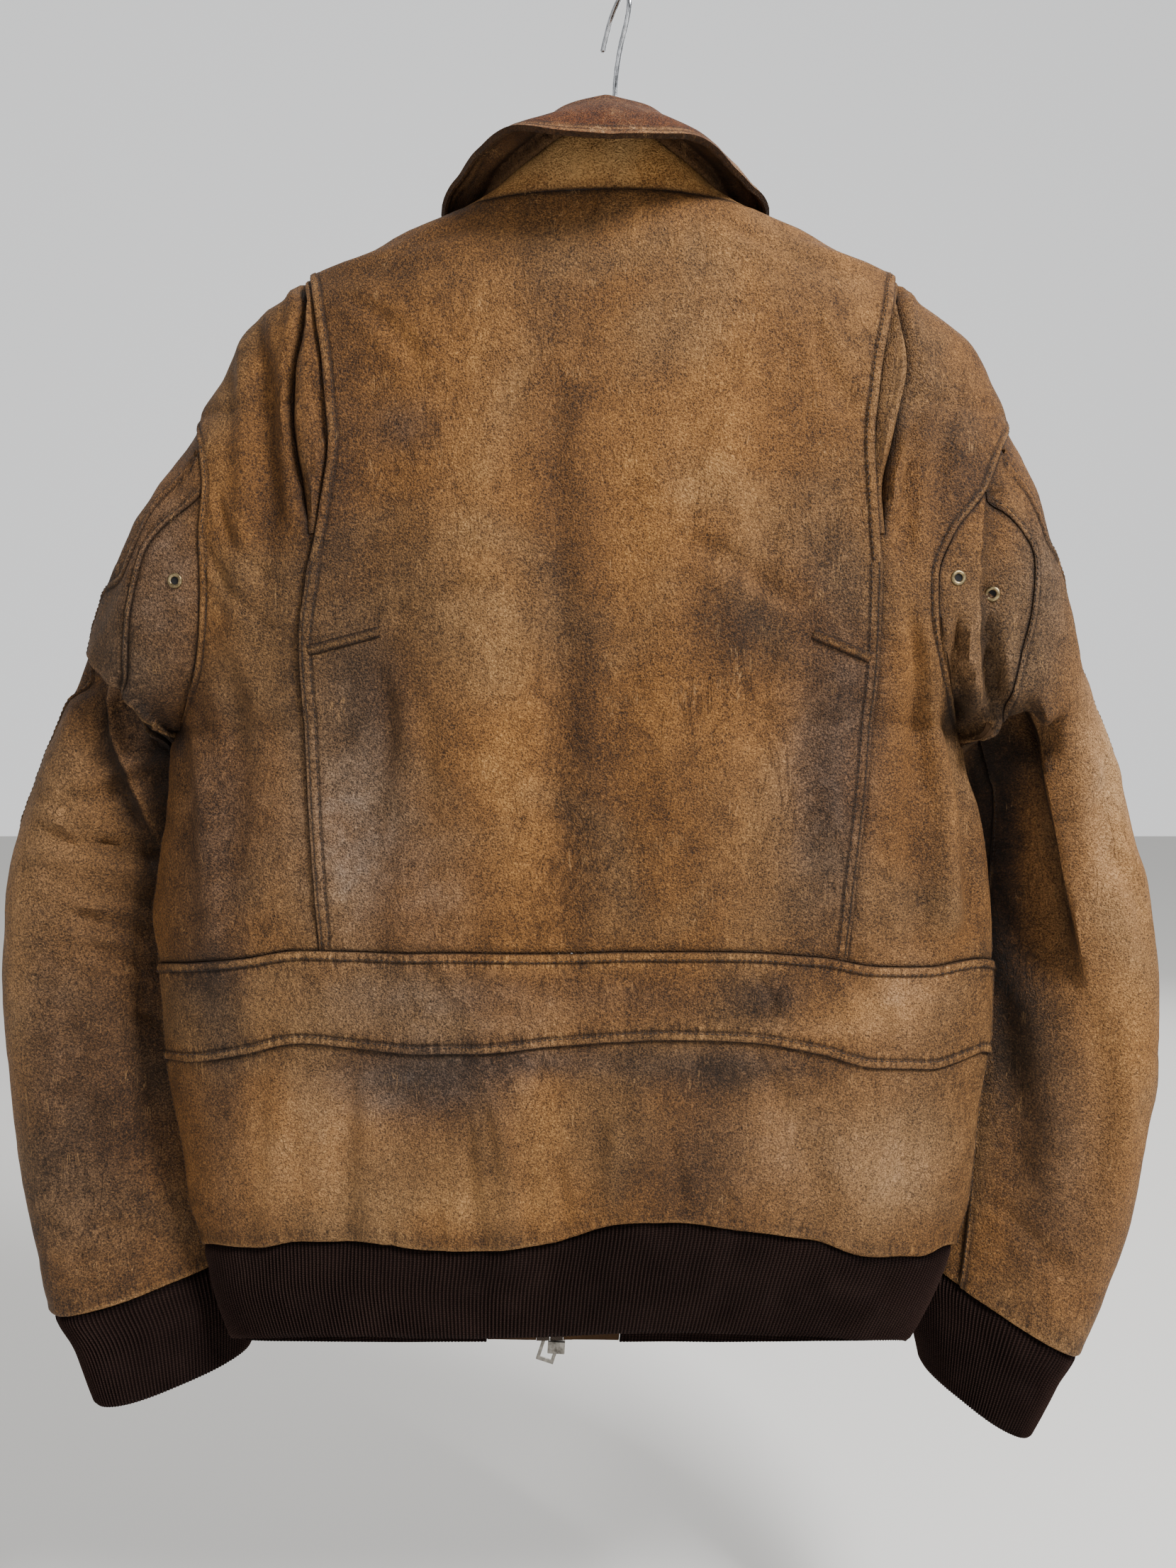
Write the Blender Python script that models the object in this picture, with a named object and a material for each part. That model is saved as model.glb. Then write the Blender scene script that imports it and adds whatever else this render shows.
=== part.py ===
"""Worn leather flight jacket with a bi-swing back, hung on a wire-hook hanger.

Metres, +Z up.  The jacket's back faces -Y, its zipped front +Y, and +X is the wearer's right.
The origin is the inner top of the hook's bend.  Every cloth piece is cut from one shared skin of
points, so that seams run along the same points and stay SEAM_GAP apart.
"""

import math

import bmesh
import bpy
import numpy as np
from mathutils import Matrix, Vector
from mathutils.bvhtree import BVHTree

MM = 0.001

# ---------------------------------------------------------------- driving sizes
SEAM_GAP = 0.3 * MM          # between neighbouring sewn pieces
LEATHER = 1.5 * MM           # wall of one layer of leather
COLLAR_LEATHER = 2.6 * MM    # the collar leaf is two layers
KNIT = 2.4 * MM              # ribbed knit
ZIP_WALL = 1.2 * MM          # zip tape with its chain
LAP = 7 * MM                 # width of a lapped, stitched edge
ZIP_BAND = 8 * MM            # tape and chain that show beside each front edge
HOOK_WIRE = 3.0 * MM         # wire diameter
HOOK_TURN = 63.0             # the hook's plane, degrees round from the shoulders' line
HANGER_RADIUS = 5.0 * MM     # round hanger arm
REST_GAP = 0.4 * MM          # between the hanger and the cloth that rests on it
EYELET_RADIUS = 4.3 * MM
EYELET_HOLE = 2.2 * MM
EYELET_HEIGHT = 1.0 * MM
DATUM = Vector((-0.0115, 0.009, 0.015))   # from the tables' own datum to the hook's inner top


def table(header, *rows):
    """A short table: a header of column names and one row of millimetres for each section."""
    names = header.split()
    return {name: np.array([row[i] for row in rows], float) for i, name in enumerate(names)}


def look_up(data, name, key):
    """Smooth reading of one column at a key of the first column, with no overshoot."""
    keys = next(iter(data.values()))
    values = data[name]
    if keys[0] > keys[-1]:
        keys, values = keys[::-1], values[::-1]
    key = min(max(key, keys[0]), keys[-1])
    i = int(min(max(np.searchsorted(keys, key) - 1, 0), len(keys) - 2))
    slopes = np.diff(values) / np.diff(keys)

    def tangent(k):
        before = slopes[max(k - 1, 0)]
        after = slopes[min(k, len(slopes) - 1)]
        return 2 * before * after / (before + after) if before * after > 0 else 0.0

    step = keys[i + 1] - keys[i]
    u = (key - keys[i]) / step
    return float((2 * u**3 - 3 * u**2 + 1) * values[i] + (u**3 - 2 * u**2 + u) * step * tangent(i)
                 + (3 * u**2 - 2 * u**3) * values[i + 1] + (u**3 - u**2) * step * tangent(i + 1))


# ---------------------------------------------------------------- torso
# Sections of the hanging body: height at its sides, side edges, depth of back and front at their
# middle, and how much a section tips down towards the front.
BODY = table(
    "z      left  right  back  front  tip",
    (-140,   -90,    93,  -50,    40, 0.00),
    (-152,  -121,   123,  -53,    46, 0.00),
    (-163,  -142,   143,  -55,    48, 0.00),
    (-172,  -166,   166,  -57,    50, 0.00),
    (-182,  -178,   175,  -58,    51, 0.00),
    (-196,  -201,   196,  -60,    52, 0.00),
    (-212,  -213,   216,  -61,    53, 0.00),
    (-230,  -221,   226,  -62,    54, 0.00),
    (-252,  -234,   235,  -62,    55, 0.00),
    (-275,  -226,   222,  -63,    56, 0.00),
    (-300,  -222,   210,  -64,    56, 0.00),
    (-325,  -223,   191,  -65,    56, 0.00),
    (-348,  -222,   183,  -65,    55, 0.00),
    (-370,  -223,   184,  -65,    54, 0.02),
    (-392,  -227,   190,  -64,    53, 0.04),
    (-412,  -235,   197,  -63,    52, 0.06),
    (-432,  -247,   206,  -62,    51, 0.08),
    (-455,  -254,   213,  -61,    50, 0.10),
    (-482,  -258,   223,  -60,    49, 0.14),
    (-512,  -264,   228,  -58,    48, 0.20),
    (-542,  -267,   231,  -57,    46, 0.27),
    (-570,  -264,   232,  -55,    45, 0.32),
    (-598,  -262,   232,  -54,    44, 0.35),
    (-626,  -260,   231,  -53,    43, 0.37),
    (-656,  -256,   227,  -51,    42, 0.40),
    (-686,  -252,   224,  -49,    40, 0.43),
    (-716,  -249,   221,  -46,    38, 0.46),
    (-742,  -241,   213,  -44,    36, 0.50),
    (-772,  -235,   200,  -43,    35, 0.52),
    (-802,  -226,   186,  -41,    34, 0.54),
)
ROWS = [int(z) for z in BODY["z"]]
PLEAT_TOP = -172      # row where the pleats start at the shoulder ridge
SHOULDER = -252       # row of the shoulder point, top of the armhole
ARMPIT = -432
DART = -392           # row of the pleats' foot
BELT_TOP = -570
BELT_BOTTOM = -626
HEM = -742
FRONT_NECK = -212     # row of the neckline's lowest point

# Raised back edges of the action pleats, and the leaf-shaped inner fold beside each.
PLEATS = table(
    "z      left_edge  right_edge  left_fold  right_fold",
    (-172,      -166,        166,      -166,        166),
    (-182,      -163,        163,      -169,        168),
    (-196,      -159,        159,      -165,        163),
    (-212,      -156,        155,      -166,        164),
    (-230,      -153,        151,      -169,        166),
    (-252,      -151,        148,      -170,        163),
    (-275,      -149,        146,      -168,        157),
    (-300,      -152,        147,      -163,        151.5),
    (-325,      -156,        149,      -160,        153),
    (-348,      -161,        151,      -165,        155),
    (-392,      -166,        151,      -170,        155),
    (-432,      -164,        149,      -168,        153),
    (-482,      -163,        145,      -167,        149),
    (-570,      -159,        137,      -163,        141),
    (-802,      -150,        128,      -154,        132),
)
FOLD_END = -325       # row where the inner fold runs out under the raised edge

# The neckline of each front, from the shoulder down to the top of the zip line.
NECKLINE = table(
    "z      left  right",
    (-152,   -84,   87),
    (-163,   -76,   79),
    (-172,   -68,   71),
    (-182,   -59,   62),
    (-196,   -41,   44),
    (-212,    -7,   10),
)
ZIP_TOP_X = 1.5       # middle of the front opening at FRONT_NECK, millimetres
ZIP_FOOT_X = -33.0    # and at the foot of the waistband, where the jacket hangs askew
ZIP_SLIT = 1.0        # between the two chains

# Depth of the armhole's edge on the back and on the front of the body.
ARMHOLE = table(
    "z      back_left  front_left  back_right  front_right",
    (-252,          0,          0,          0,           0),
    (-275,        -34,         30,        -36,          30),
    (-300,        -43,         38,        -46,          38),
    (-325,        -47,         41,        -51,          41),
    (-348,        -48,         42,        -52,          42),
    (-370,        -46,         40,        -50,          40),
    (-392,        -40,         35,        -44,          35),
    (-412,        -28,         25,        -32,          25),
    (-432,          0,          0,          0,           0),
)

# The largest folds of the body: soft ridges (height > 0) and troughs, top to bottom.
BODY_FOLDS = table(
    "face  x_top  z_top  x_end  z_end  width  height",
    (-1,   -120,  -250,  -135,  -560,    26,    -4.0),
    (-1,    -85,  -230,   -90,  -560,    24,     2.5),
    (-1,    105,  -260,   100,  -560,    26,    -4.0),
    (-1,     60,  -240,    62,  -560,    26,     2.5),
    (-1,    -20,  -300,   -24,  -730,    22,    -2.0),
    (-1,   -200,  -280,  -205,  -400,    12,     4.0),
    (-1,   -186,  -230,  -195,  -330,    10,    -3.5),
    (-1,    176,  -250,   168,  -330,    10,    -3.5),
    (-1,    190,  -440,   196,  -540,    14,     4.0),
    (-1,    172,  -400,   176,  -560,    12,    -3.0),
    (-1,   -222,  -450,  -228,  -560,    16,     3.0),
    (-1,    -60,  -640,   -56,  -742,    10,     2.5),
    (-1,     20,  -650,    16,  -742,    12,     2.5),
    (-1,    120,  -650,   116,  -742,    12,    -2.0),
    (-1,   -150,  -650,  -150,  -742,    12,    -2.0),
    (1,    -150,  -280,  -160,  -700,    22,     4.0),
    (1,    -100,  -300,  -105,  -720,    20,    -4.0),
    (1,     140,  -280,   130,  -700,    22,     4.0),
    (1,      85,  -300,    75,  -720,    20,    -4.0),
)


# How far the belt's two seams and the hem stand above their rows across the back.
SEAM_WAVES = table(
    "x      belt_top  belt_bottom  hem",
    (-262,       -2,          -3,    0),
    (-235,       -4,          -7,   -2),
    (-205,       -3,          -4,   -5),
    (-172,        1,           2,   -2),
    (-140,        0,          -1,   -2),
    (-100,       -2,          -5,   -7),
    (-70,        -2,          -5,   -8),
    (-30,        -2,          -1,   -3),
    (10,         -1,           2,    8),
    (40,         -1,           3,    9),
    (80,         -1,           2,    4),
    (120,        -3,          -4,   -1),
    (155,        -8,         -12,  -11),
    (187,        -7,         -12,  -10),
    (205,        -3,          -7,   -3),
    (222,         0,           0,    0),
)
WAVES_START = -490    # rows above this one are level


def front_edge(z, side):
    """x of a front's leather edge: the neckline, then the zip line, in millimetres."""
    if z > FRONT_NECK:
        return look_up(NECKLINE, "left" if side < 0 else "right", z)
    down = (FRONT_NECK - z) / (FRONT_NECK - ROWS[-1])
    middle = ZIP_TOP_X + (ZIP_FOOT_X - ZIP_TOP_X) * down
    return middle + side * (ZIP_BAND / MM + 0.5 * ZIP_SLIT)


def smooth(value):
    """Smooth step from 0 to 1."""
    value = min(max(value, 0.0), 1.0)
    return value * value * (3 - 2 * value)


def wave_height(x, z):
    """Height of a place on the back over its row, in millimetres."""
    stops = [WAVES_START, BELT_TOP, BELT_BOTTOM, HEM, ROWS[-1]]
    hem = look_up(SEAM_WAVES, "hem", x)
    heights = [0.0, look_up(SEAM_WAVES, "belt_top", x), look_up(SEAM_WAVES, "belt_bottom", x),
               hem, 0.2 * hem]
    for i in range(len(stops) - 1):
        if stops[i] >= z >= stops[i + 1]:
            share = smooth((stops[i] - z) / (stops[i] - stops[i + 1]))
            return heights[i] + (heights[i + 1] - heights[i]) * share
    return 0.0


def fold_height(face, x, z):
    """Sum of the body's folds at a place, in millimetres outwards."""
    total = 0.0
    for i, fold_face in enumerate(BODY_FOLDS["face"]):
        if fold_face != face:
            continue
        top = BODY_FOLDS["z_top"][i]
        end = BODY_FOLDS["z_end"][i]
        u = (z - top) / (end - top)
        if u < -0.2 or u > 1.2:
            continue
        line = BODY_FOLDS["x_top"][i] * (1 - u) + BODY_FOLDS["x_end"][i] * u
        across = math.exp(-((x - line) / BODY_FOLDS["width"][i]) ** 2)
        along = smooth((u + 0.2) / 0.4) * smooth((1.2 - u) / 0.3)
        total += BODY_FOLDS["height"][i] * across * along
    return total


def body_point(face, z, x):
    """Point of the body's back (face -1) or front (face 1), in millimetres."""
    left = look_up(BODY, "left", z)
    right = look_up(BODY, "right", z)
    middle = 0.5 * (left + right)
    half = 0.5 * (right - left)
    across = min(max((x - middle) / half, -1.0), 1.0)
    depth = look_up(BODY, "back" if face < 0 else "front", z)
    edge = 0.0
    flat = 0.5
    if ARMPIT < z < SHOULDER:
        name = "back_" if face < 0 else "front_"
        side = "left" if across < 0 else "right"
        edge = look_up(ARMHOLE, name + side, z)
        flat = 0.5 + 0.5 * smooth(4 * min(z - ARMPIT, SHOULDER - z) / (SHOULDER - ARMPIT))
    rise = (1 - abs(across) ** 2.6) ** flat
    y = edge + (depth - edge) * rise + face * fold_height(face, x, z) * min(1.0, 3 * rise)
    lift = wave_height(x, z) if face < 0 else 0.0
    return np.array([x, y, z - look_up(BODY, "tip", z) * y + lift])


# ---------------------------------------------------------------- sleeves
# Rings of each sleeve, from the armhole to the end of the cuff: its outer and inner (underarm)
# points, half its depth, the bulge of the underarm fold (minus below its lip, where the sleeve
# tucks in), and where its long lines lie in degrees from the outer point over the back: the middle
# of the cap, the back seam, the inner seam, the gusset's front edge and a line up the front.
SLEEVE_LEFT = table(
    "ring  out_x  out_z  in_x  in_z  out_y  in_y  depth  bulge  cap  back  inner  g_front  front",
    (0,    -234,  -252, -247, -432,     0,    0,    45,     0,    0,   36,    58,     302,  320),
    (1,    -257,  -291, -250, -432,     0,    2,    43,     1,   -2,   58,    90,     292,  312),
    (2,    -274,  -322, -253, -433,     1,    7,    42,     3,  -12,   52,    94,     278,  302),
    (3,    -288,  -350, -254, -434,     2,   14,    41,     5,  -24,   18,    93,     262,  290),
    (4,    -301,  -376, -254, -435,     2,   22,    40,     7,  -36,    0,    88,     244,  278),
    (5,    -306,  -387, -254, -450,     2,   30,    38,   -10,  -40,   -4,   134,     240,  274),
    (6,    -323,  -428, -254, -476,     0,   46,    37,   -13,  -48,  -12,   136,     234,  266),
    (7,    -342,  -476, -253, -511,    -1,   62,    36,    -9,  -54,  -20,   132,     230,  260),
    (8,    -355,  -530, -244, -554,    -2,   73,    36,    -2,  -58,  -26,   130,     226,  256),
    (9,    -359,  -580, -239, -596,    -2,   77,    36,     0,  -60,  -28,   130,     224,  254),
    (10,   -356,  -632, -236, -638,    -3,   77,    36,     0,  -60,  -30,   128,     222,  252),
    (11,   -350,  -684, -233, -680,    -5,   73,    35,     0,  -60,  -30,   127,     220,  250),
    (12,   -341,  -734, -230, -720,    -8,   65,    33,     0,  -60,  -30,   126,     218,  250),
    (13,   -329,  -780, -227, -759,   -12,   53,    31,     0,  -60,  -30,   125,     218,  250),
    (14,   -315,  -804, -224, -784,   -12,   45,    27,     0,  -60,  -30,   125,     218,  250),
    (15,   -305,  -836, -225, -822,   -12,   38,    25,     0,  -60,  -30,   125,     218,  250),
)
SLEEVE_RIGHT = table(
    "ring  out_x  out_z  in_x  in_z  out_y  in_y  depth  bulge  cap  back  inner  g_front  front",
    (0,     235,  -252,  206, -432,     0,    0,    45,     0,    0,   36,    55,     302,  320),
    (1,     252,  -295,  210, -433,     0,    2,    44,     3,   -2,   54,    95,     292,  312),
    (2,     265,  -335,  212, -435,     1,    7,    43,     7,  -16,   14,   118,     278,  302),
    (3,     277,  -372,  213, -436,     2,   14,    42,    11,  -28,    0,   116,     262,  290),
    (4,     289,  -406,  214, -438,     2,   22,    41,    15,  -40,   -8,   108,     244,  278),
    (5,     293,  -416,  216, -452,     2,   30,    38,   -12,  -44,  -12,   128,     240,  274),
    (6,     305,  -448,  219, -480,     0,   46,    37,   -18,  -50,  -18,   118,     234,  266),
    (7,     316,  -493,  220, -517,    -1,   63,    36,   -16,  -54,  -24,   112,     230,  260),
    (8,     327,  -540,  217, -560,    -2,   76,    36,   -11,  -58,  -26,   108,     226,  256),
    (9,     333,  -588,  212, -602,    -2,   80,    36,    -6,  -60,  -28,   105,     224,  254),
    (10,    333,  -636,  208, -645,    -3,   80,    36,    -3,  -60,  -30,   104,     222,  252),
    (11,    326,  -684,  203, -688,    -5,   76,    35,     0,  -60,  -30,   102,     220,  250),
    (12,    313,  -740,  197, -724,    -8,   68,    33,     0,  -60,  -30,   100,     218,  250),
    (13,    285,  -806,  194, -758,   -12,   56,    31,     0,  -60,  -30,    97,     218,  250),
    (14,    273,  -824,  199, -788,   -12,   48,    27,     0,  -60,  -30,    97,     218,  250),
    (15,    257,  -858,  208, -836,   -12,   42,    24,     0,  -60,  -30,    97,     218,  250),
)
ROUNDNESS = 2.3       # superellipse power of a sleeve's ring
LIP_RING = 4
BULGE_MIDDLE = 126    # degrees round a ring to the middle of the underarm fold
BULGE_WIDTH = 44
CUFF_RING = 13
LAST_RING = 15
BACK_LINES = (1.25, 1.5, 1.75)   # extra long lines between the back seam and the inner seam


def sleeve_ring_angle(data, ring, line, start_angles):
    """Angle of one of the sleeve's long lines on a ring, in degrees.

    Lines 0 to 15 start at the armhole's 16 points.  Line 1 is the back seam and line 2 the
    gusset's edge and inner seam.  A fractional line between them starts with the back seam.
    """
    cap = look_up(data, "cap", ring)
    stops = [0, 1, 2, 8, 12, 13, 16]
    angles = [cap, look_up(data, "back", ring), look_up(data, "inner", ring), 180.0,
              look_up(data, "g_front", ring), look_up(data, "front", ring), 360.0 + cap]
    if line != int(line):
        before = sleeve_ring_angle(data, ring, int(line), start_angles)
        after = sleeve_ring_angle(data, ring, int(line) + 1, start_angles)
        return before + (after - before) * (line - int(line))
    regular = float(np.interp(line, stops, angles))
    return regular + (start_angles[int(line)] - regular) * smooth(1 - ring / 3)


def sleeve_point(data, ring, angle):
    """Point of a sleeve at an angle (degrees) around a ring, in millimetres."""
    outer = np.array([look_up(data, "out_" + axis, ring) for axis in "xyz"])
    inner = np.array([look_up(data, "in_" + axis, ring) for axis in "xyz"])
    centre = 0.5 * (outer + inner)
    reach = 0.5 * (outer - inner)
    long_axis = reach / np.linalg.norm(reach)
    back = np.array([0.0, -1.0, 0.0])
    back = back - back.dot(long_axis) * long_axis
    back /= np.linalg.norm(back)
    turn = math.radians(angle)
    power = 2 / ROUNDNESS
    along = math.copysign(abs(math.cos(turn)) ** power, math.cos(turn))
    across = math.copysign(abs(math.sin(turn)) ** power, math.sin(turn))
    window = math.exp(-((angle - BULGE_MIDDLE) / BULGE_WIDTH) ** 2)
    swell = look_up(data, "bulge", ring) * window
    return centre + reach * along + back * (look_up(data, "depth", ring) * across + swell)


# ---------------------------------------------------------------- collar
# Cross-sections of the collar, from the centre back (0) past the shoulder (0.5) to the front end
# (1).  Each is out from and up over the neck seam: stand, crest and leaf edge, and the leaf's
# sideways spread.
COLLAR = table(
    "t      stand_out  stand_up  crest_out  crest_up  leaf_out  leaf_up  spread",
    (0.00,         0,       34,          2,       45,       38,        8,      0),
    (0.08,        -2,       31,          0,       41,       37,       10,      0),
    (0.16,        -6,       22,         -4,       30,       29,       15,      0),
    (0.25,       -12,       14,        -11,       21,       12,       13,      0),
    (0.35,       -18,        9,        -18,       14,        1,       11,      0),
    (0.45,       -20,        8,        -20,       13,        2,        5,      0),
    (0.56,       -14,       10,        -13,       16,        4,        2,      0),
    (0.66,        -8,       13,         -6,       20,       14,       -6,      4),
    (0.80,        -2,       16,          0,       23,       18,      -20,     14),
    (0.92,         0,       18,          3,       25,       16,      -28,     26),
    (1.00,         1,       18,          4,       25,       13,      -36,     40),
)
COLLAR_LEAN = 5       # the leaf stands higher on the wearer's left of the centre back
CREST_WIDTH = 7       # the collar's thickness over its crest, millimetres


def collar_section(t, base, outward, side):
    """The eight points across the collar at one place of the neck seam, in millimetres."""
    read = {name: look_up(COLLAR, name, t) for name in COLLAR}
    up = np.array([0.0, 0.0, 1.0])
    stand = base + outward * read["stand_out"] + up * read["stand_up"]
    middle_stand = base + outward * (0.5 * read["stand_out"] + 1) + up * 0.45 * read["stand_up"]
    crest = base + outward * read["crest_out"] + up * read["crest_up"]
    turn = crest + outward * CREST_WIDTH - up * 0.11 * read["crest_up"]
    lean = -side * COLLAR_LEAN * math.exp(-((t - 0.25) / 0.13) ** 2)
    edge = base + outward * read["leaf_out"] + up * (read["leaf_up"] + lean)
    edge = edge + np.array([side * read["spread"], 0.0, 0.0])
    middle = 0.5 * (turn + edge) + outward * 2 + up * 2
    lap = 0.25 * middle + 0.75 * edge
    return [base, middle_stand, stand, crest, turn, middle, lap, edge]


# ---------------------------------------------------------------- the shared skin
class Skin:
    """Shared points of the garment, and the faces that each sewn piece takes from them."""

    def __init__(self):
        self.points = []
        self.pieces = {}
        self.lines = {}

    def add(self, point):
        self.points.append(Vector([value * MM for value in point]) + DATUM)
        return len(self.points) - 1

    def face(self, piece, *corners):
        ring = [c for i, c in enumerate(corners) if c != corners[i - 1]]
        if len(ring) > 2:
            self.pieces.setdefault(piece, []).append(ring)

    def strip(self, piece, lower, upper):
        """Quads between two lines of points; the outside is on the left of going up."""
        for i in range(len(lower) - 1):
            self.face(piece, lower[i], lower[i + 1], upper[i + 1], upper[i])

    def normals(self):
        total = [Vector((0, 0, 0)) for _ in self.points]
        for faces in self.pieces.values():
            for ring in faces:
                corners = [self.points[i] for i in ring]
                normal = Vector((0, 0, 0))
                for i in range(1, len(corners) - 1):
                    normal += (corners[i] - corners[0]).cross(corners[i + 1] - corners[0])
                normal.normalize()
                for k, i in enumerate(ring):
                    before = corners[k - 1] - corners[k]
                    after = corners[(k + 1) % len(ring)] - corners[k]
                    total[i] += normal * before.angle(after, 0.0)
        return [normal.normalized() for normal in total]


CENTRE_CELLS = 8
FRONT_SHARES = (0, 0.17, 0.38, 0.60, 0.80, 0.94, 1)    # columns from a front's edge to its side
SIDE_SHARES = (0.36, 0.68, 0.90, 1)                    # columns from the pleat to the side


def side_columns(z, side):
    """x of the columns between the raised pleat edge and the body's edge, pleat first."""
    edge = look_up(BODY, "left" if side < 0 else "right", z)
    name = "left_" if side < 0 else "right_"
    pleat = look_up(PLEATS, name + "edge", z)
    fold = look_up(PLEATS, name + "fold", z)
    return [pleat, fold, *(fold + (edge - fold) * share for share in SIDE_SHARES)]


def centre_columns(z):
    """x of the columns of the centre back, from its left raised edge to its right one."""
    left = look_up(PLEATS, "left_edge", z) if z <= PLEAT_TOP else look_up(BODY, "left", z)
    right = look_up(PLEATS, "right_edge", z) if z <= PLEAT_TOP else look_up(BODY, "right", z)
    lap = LAP / MM
    inside = np.linspace(left + lap, right - lap, CENTRE_CELLS + 1)
    return [left, *inside, right]


def build_body(skin):
    """Adds the body's points.  Returns the lines of point numbers that its neighbours need."""
    ridge = {-1: {}, 1: {}}
    back = {}
    front = {-1: {}, 1: {}}
    zip_edge = {-1: {}, 1: {}}
    for z in ROWS:
        centre = [skin.add(body_point(-1, z, x)) for x in centre_columns(z)]
        wings = {-1: [centre[0]], 1: [centre[-1]]}
        if z < PLEAT_TOP:
            for side in (-1, 1):
                wings[side] += [skin.add(body_point(-1, z, x)) for x in side_columns(z, side)[1:]]
                if z > BELT_TOP:
                    skin.lines[wings[side][0]] = "edge"
                    if z > FOLD_END:
                        skin.lines[wings[side][1]] = "fold"
        back[z] = {"centre": centre, "wings": wings}
        for side in (-1, 1):
            name = "left" if side < 0 else "right"
            ridge[side][z] = wings[side][-1]
            if z == ROWS[0]:
                front[side][z] = [wings[side][-1]] * len(FRONT_SHARES)
                continue
            edge_x = look_up(BODY, name, z)
            inner_x = front_edge(z, side)
            line = [skin.add(body_point(1, z, inner_x + (edge_x - inner_x) * share))
                    for share in FRONT_SHARES[:-1]]
            if ARMPIT < z < SHOULDER:
                line.append(skin.add(body_point(1, z, edge_x)))
            else:
                line.append(wings[side][-1])
            front[side][z] = line
            if z <= FRONT_NECK:
                zip_edge[side][z] = skin.add(body_point(1, z, inner_x - side * ZIP_BAND / MM))
    return ridge, back, front, zip_edge


def cut_body(skin, back, front, zip_edge):
    """Deals the body's cells out to its pieces."""
    for upper, lower in zip(ROWS[:-1], ROWS[1:]):
        if lower >= BELT_TOP:
            skin.strip("back_centre", back[lower]["centre"], back[upper]["centre"])
        else:
            whole = {z: back[z]["wings"][-1][:0:-1] + back[z]["centre"] + back[z]["wings"][1][1:]
                     for z in (upper, lower)}
            piece = "back_belt" if lower >= BELT_BOTTOM else "back_lower"
            piece = "waistband" if lower < HEM else piece
            skin.strip(piece, whole[lower], whole[upper])
        for side in (-1, 1):
            name = "left" if side < 0 else "right"
            low, high = back[lower]["wings"][side], back[upper]["wings"][side]
            if len(high) == 1:
                high = high * len(low)
            if lower >= BELT_TOP and len(low) > 1:
                for i in range(len(low) - 1):
                    inner_fold = i == 0 and lower >= FOLD_END
                    piece = ("pleat_" if inner_fold else "back_side_") + name
                    quad = (low[i], low[i + 1], high[i + 1], high[i])
                    skin.face(piece, *(quad if side > 0 else quad[::-1]))
            low, high = front[side][lower], front[side][upper]
            for i in range(len(FRONT_SHARES) - 1):
                piece = "front_" + name
                if lower < HEM:
                    piece = "hem_tab_" + name if i == 0 else "waistband"
                quad = (low[i], high[i], high[i + 1], low[i + 1])
                skin.face(piece, *(quad if side > 0 else quad[::-1]))
            if upper <= FRONT_NECK:
                quad = (zip_edge[side][lower], zip_edge[side][upper], high[0], low[0])
                skin.face("zip_tape_" + name, *(quad if side > 0 else quad[::-1]))


def build_sleeve(skin, side, back, front):
    """One sleeve with its gusset and cuff, from the armhole's own points."""
    data = SLEEVE_LEFT if side < 0 else SLEEVE_RIGHT
    name = "left" if side < 0 else "right"
    rows = [z for z in ROWS if ARMPIT < z < SHOULDER]
    ring = [back[SHOULDER]["wings"][side][-1]]
    ring += [back[z]["wings"][side][-1] for z in rows]
    ring.append(back[ARMPIT]["wings"][side][-1])
    ring += [front[side][z][-1] for z in reversed(rows)]
    heights = [SHOULDER, *rows, ARMPIT, *reversed(rows)]
    middle = 0.5 * (SHOULDER + ARMPIT)
    half = 0.5 * (SHOULDER - ARMPIT)
    start = [math.degrees(math.acos((z - middle) / half)) for z in heights]
    start = [a if i <= len(rows) + 1 else 360 - a for i, a in enumerate(start)]
    lines = [0, 1, *BACK_LINES, *range(2, len(ring))]
    rings = [[ring[int(line)] for line in lines]]
    marks = sorted([*range(LAST_RING + 1), 12.5])
    for mark in marks[1:]:
        angles = [sleeve_ring_angle(data, mark, line, start) for line in lines]
        rings.append([skin.add(sleeve_point(data, mark, angle)) for angle in angles])
    for k in range(len(marks) - 1):
        for j, line in enumerate(lines):
            after = (j + 1) % len(lines)
            if marks[k] >= CUFF_RING:
                piece = "cuff_" + name
            elif 2 <= line < 12 and marks[k] < LIP_RING:
                piece = "gusset_" + name
            elif 1 <= line < 2:
                piece = "sleeve_upper_" + name
            else:
                piece = "sleeve_under_" + name
            quad = (rings[k][j], rings[k][after], rings[k + 1][after], rings[k + 1][j])
            skin.face(piece, *(quad if side > 0 else quad[::-1]))
    return rings


def build_collar(skin, back, front):
    """Stand and leaf around the neck seam."""
    rows = [z for z in ROWS if FRONT_NECK <= z < ROWS[0]]
    base = [front[-1][z][0] for z in reversed(rows)]
    base += back[ROWS[0]]["centre"]
    base += [front[1][z][0] for z in rows]
    places = [np.array(skin.points[i] - DATUM) / MM for i in base]
    axis = np.array([1.5, 0.0, 0.0])
    lengths = np.concatenate([[0], np.cumsum([np.linalg.norm(b - a)
                                              for a, b in zip(places, places[1:])])])
    crest_middle = 0.5 * lengths[-1]
    lines = []
    for i, place in enumerate(places):
        side = -1 if lengths[i] < crest_middle else 1
        t = abs(lengths[i] - crest_middle) / crest_middle
        outward = (place - axis) * np.array([0.55, 1.6, 0.0])
        outward /= np.linalg.norm(outward)
        section = collar_section(t, place, outward, side)
        lines.append([base[i]] + [skin.add(point) for point in section[1:]])
    for i in range(len(lines) - 1):
        for k in range(len(lines[0]) - 1):
            piece = "collar_stand" if k < 2 else "collar_leaf"
            skin.face(piece, lines[i][k], lines[i + 1][k], lines[i + 1][k + 1], lines[i][k + 1])
    return lines


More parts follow.
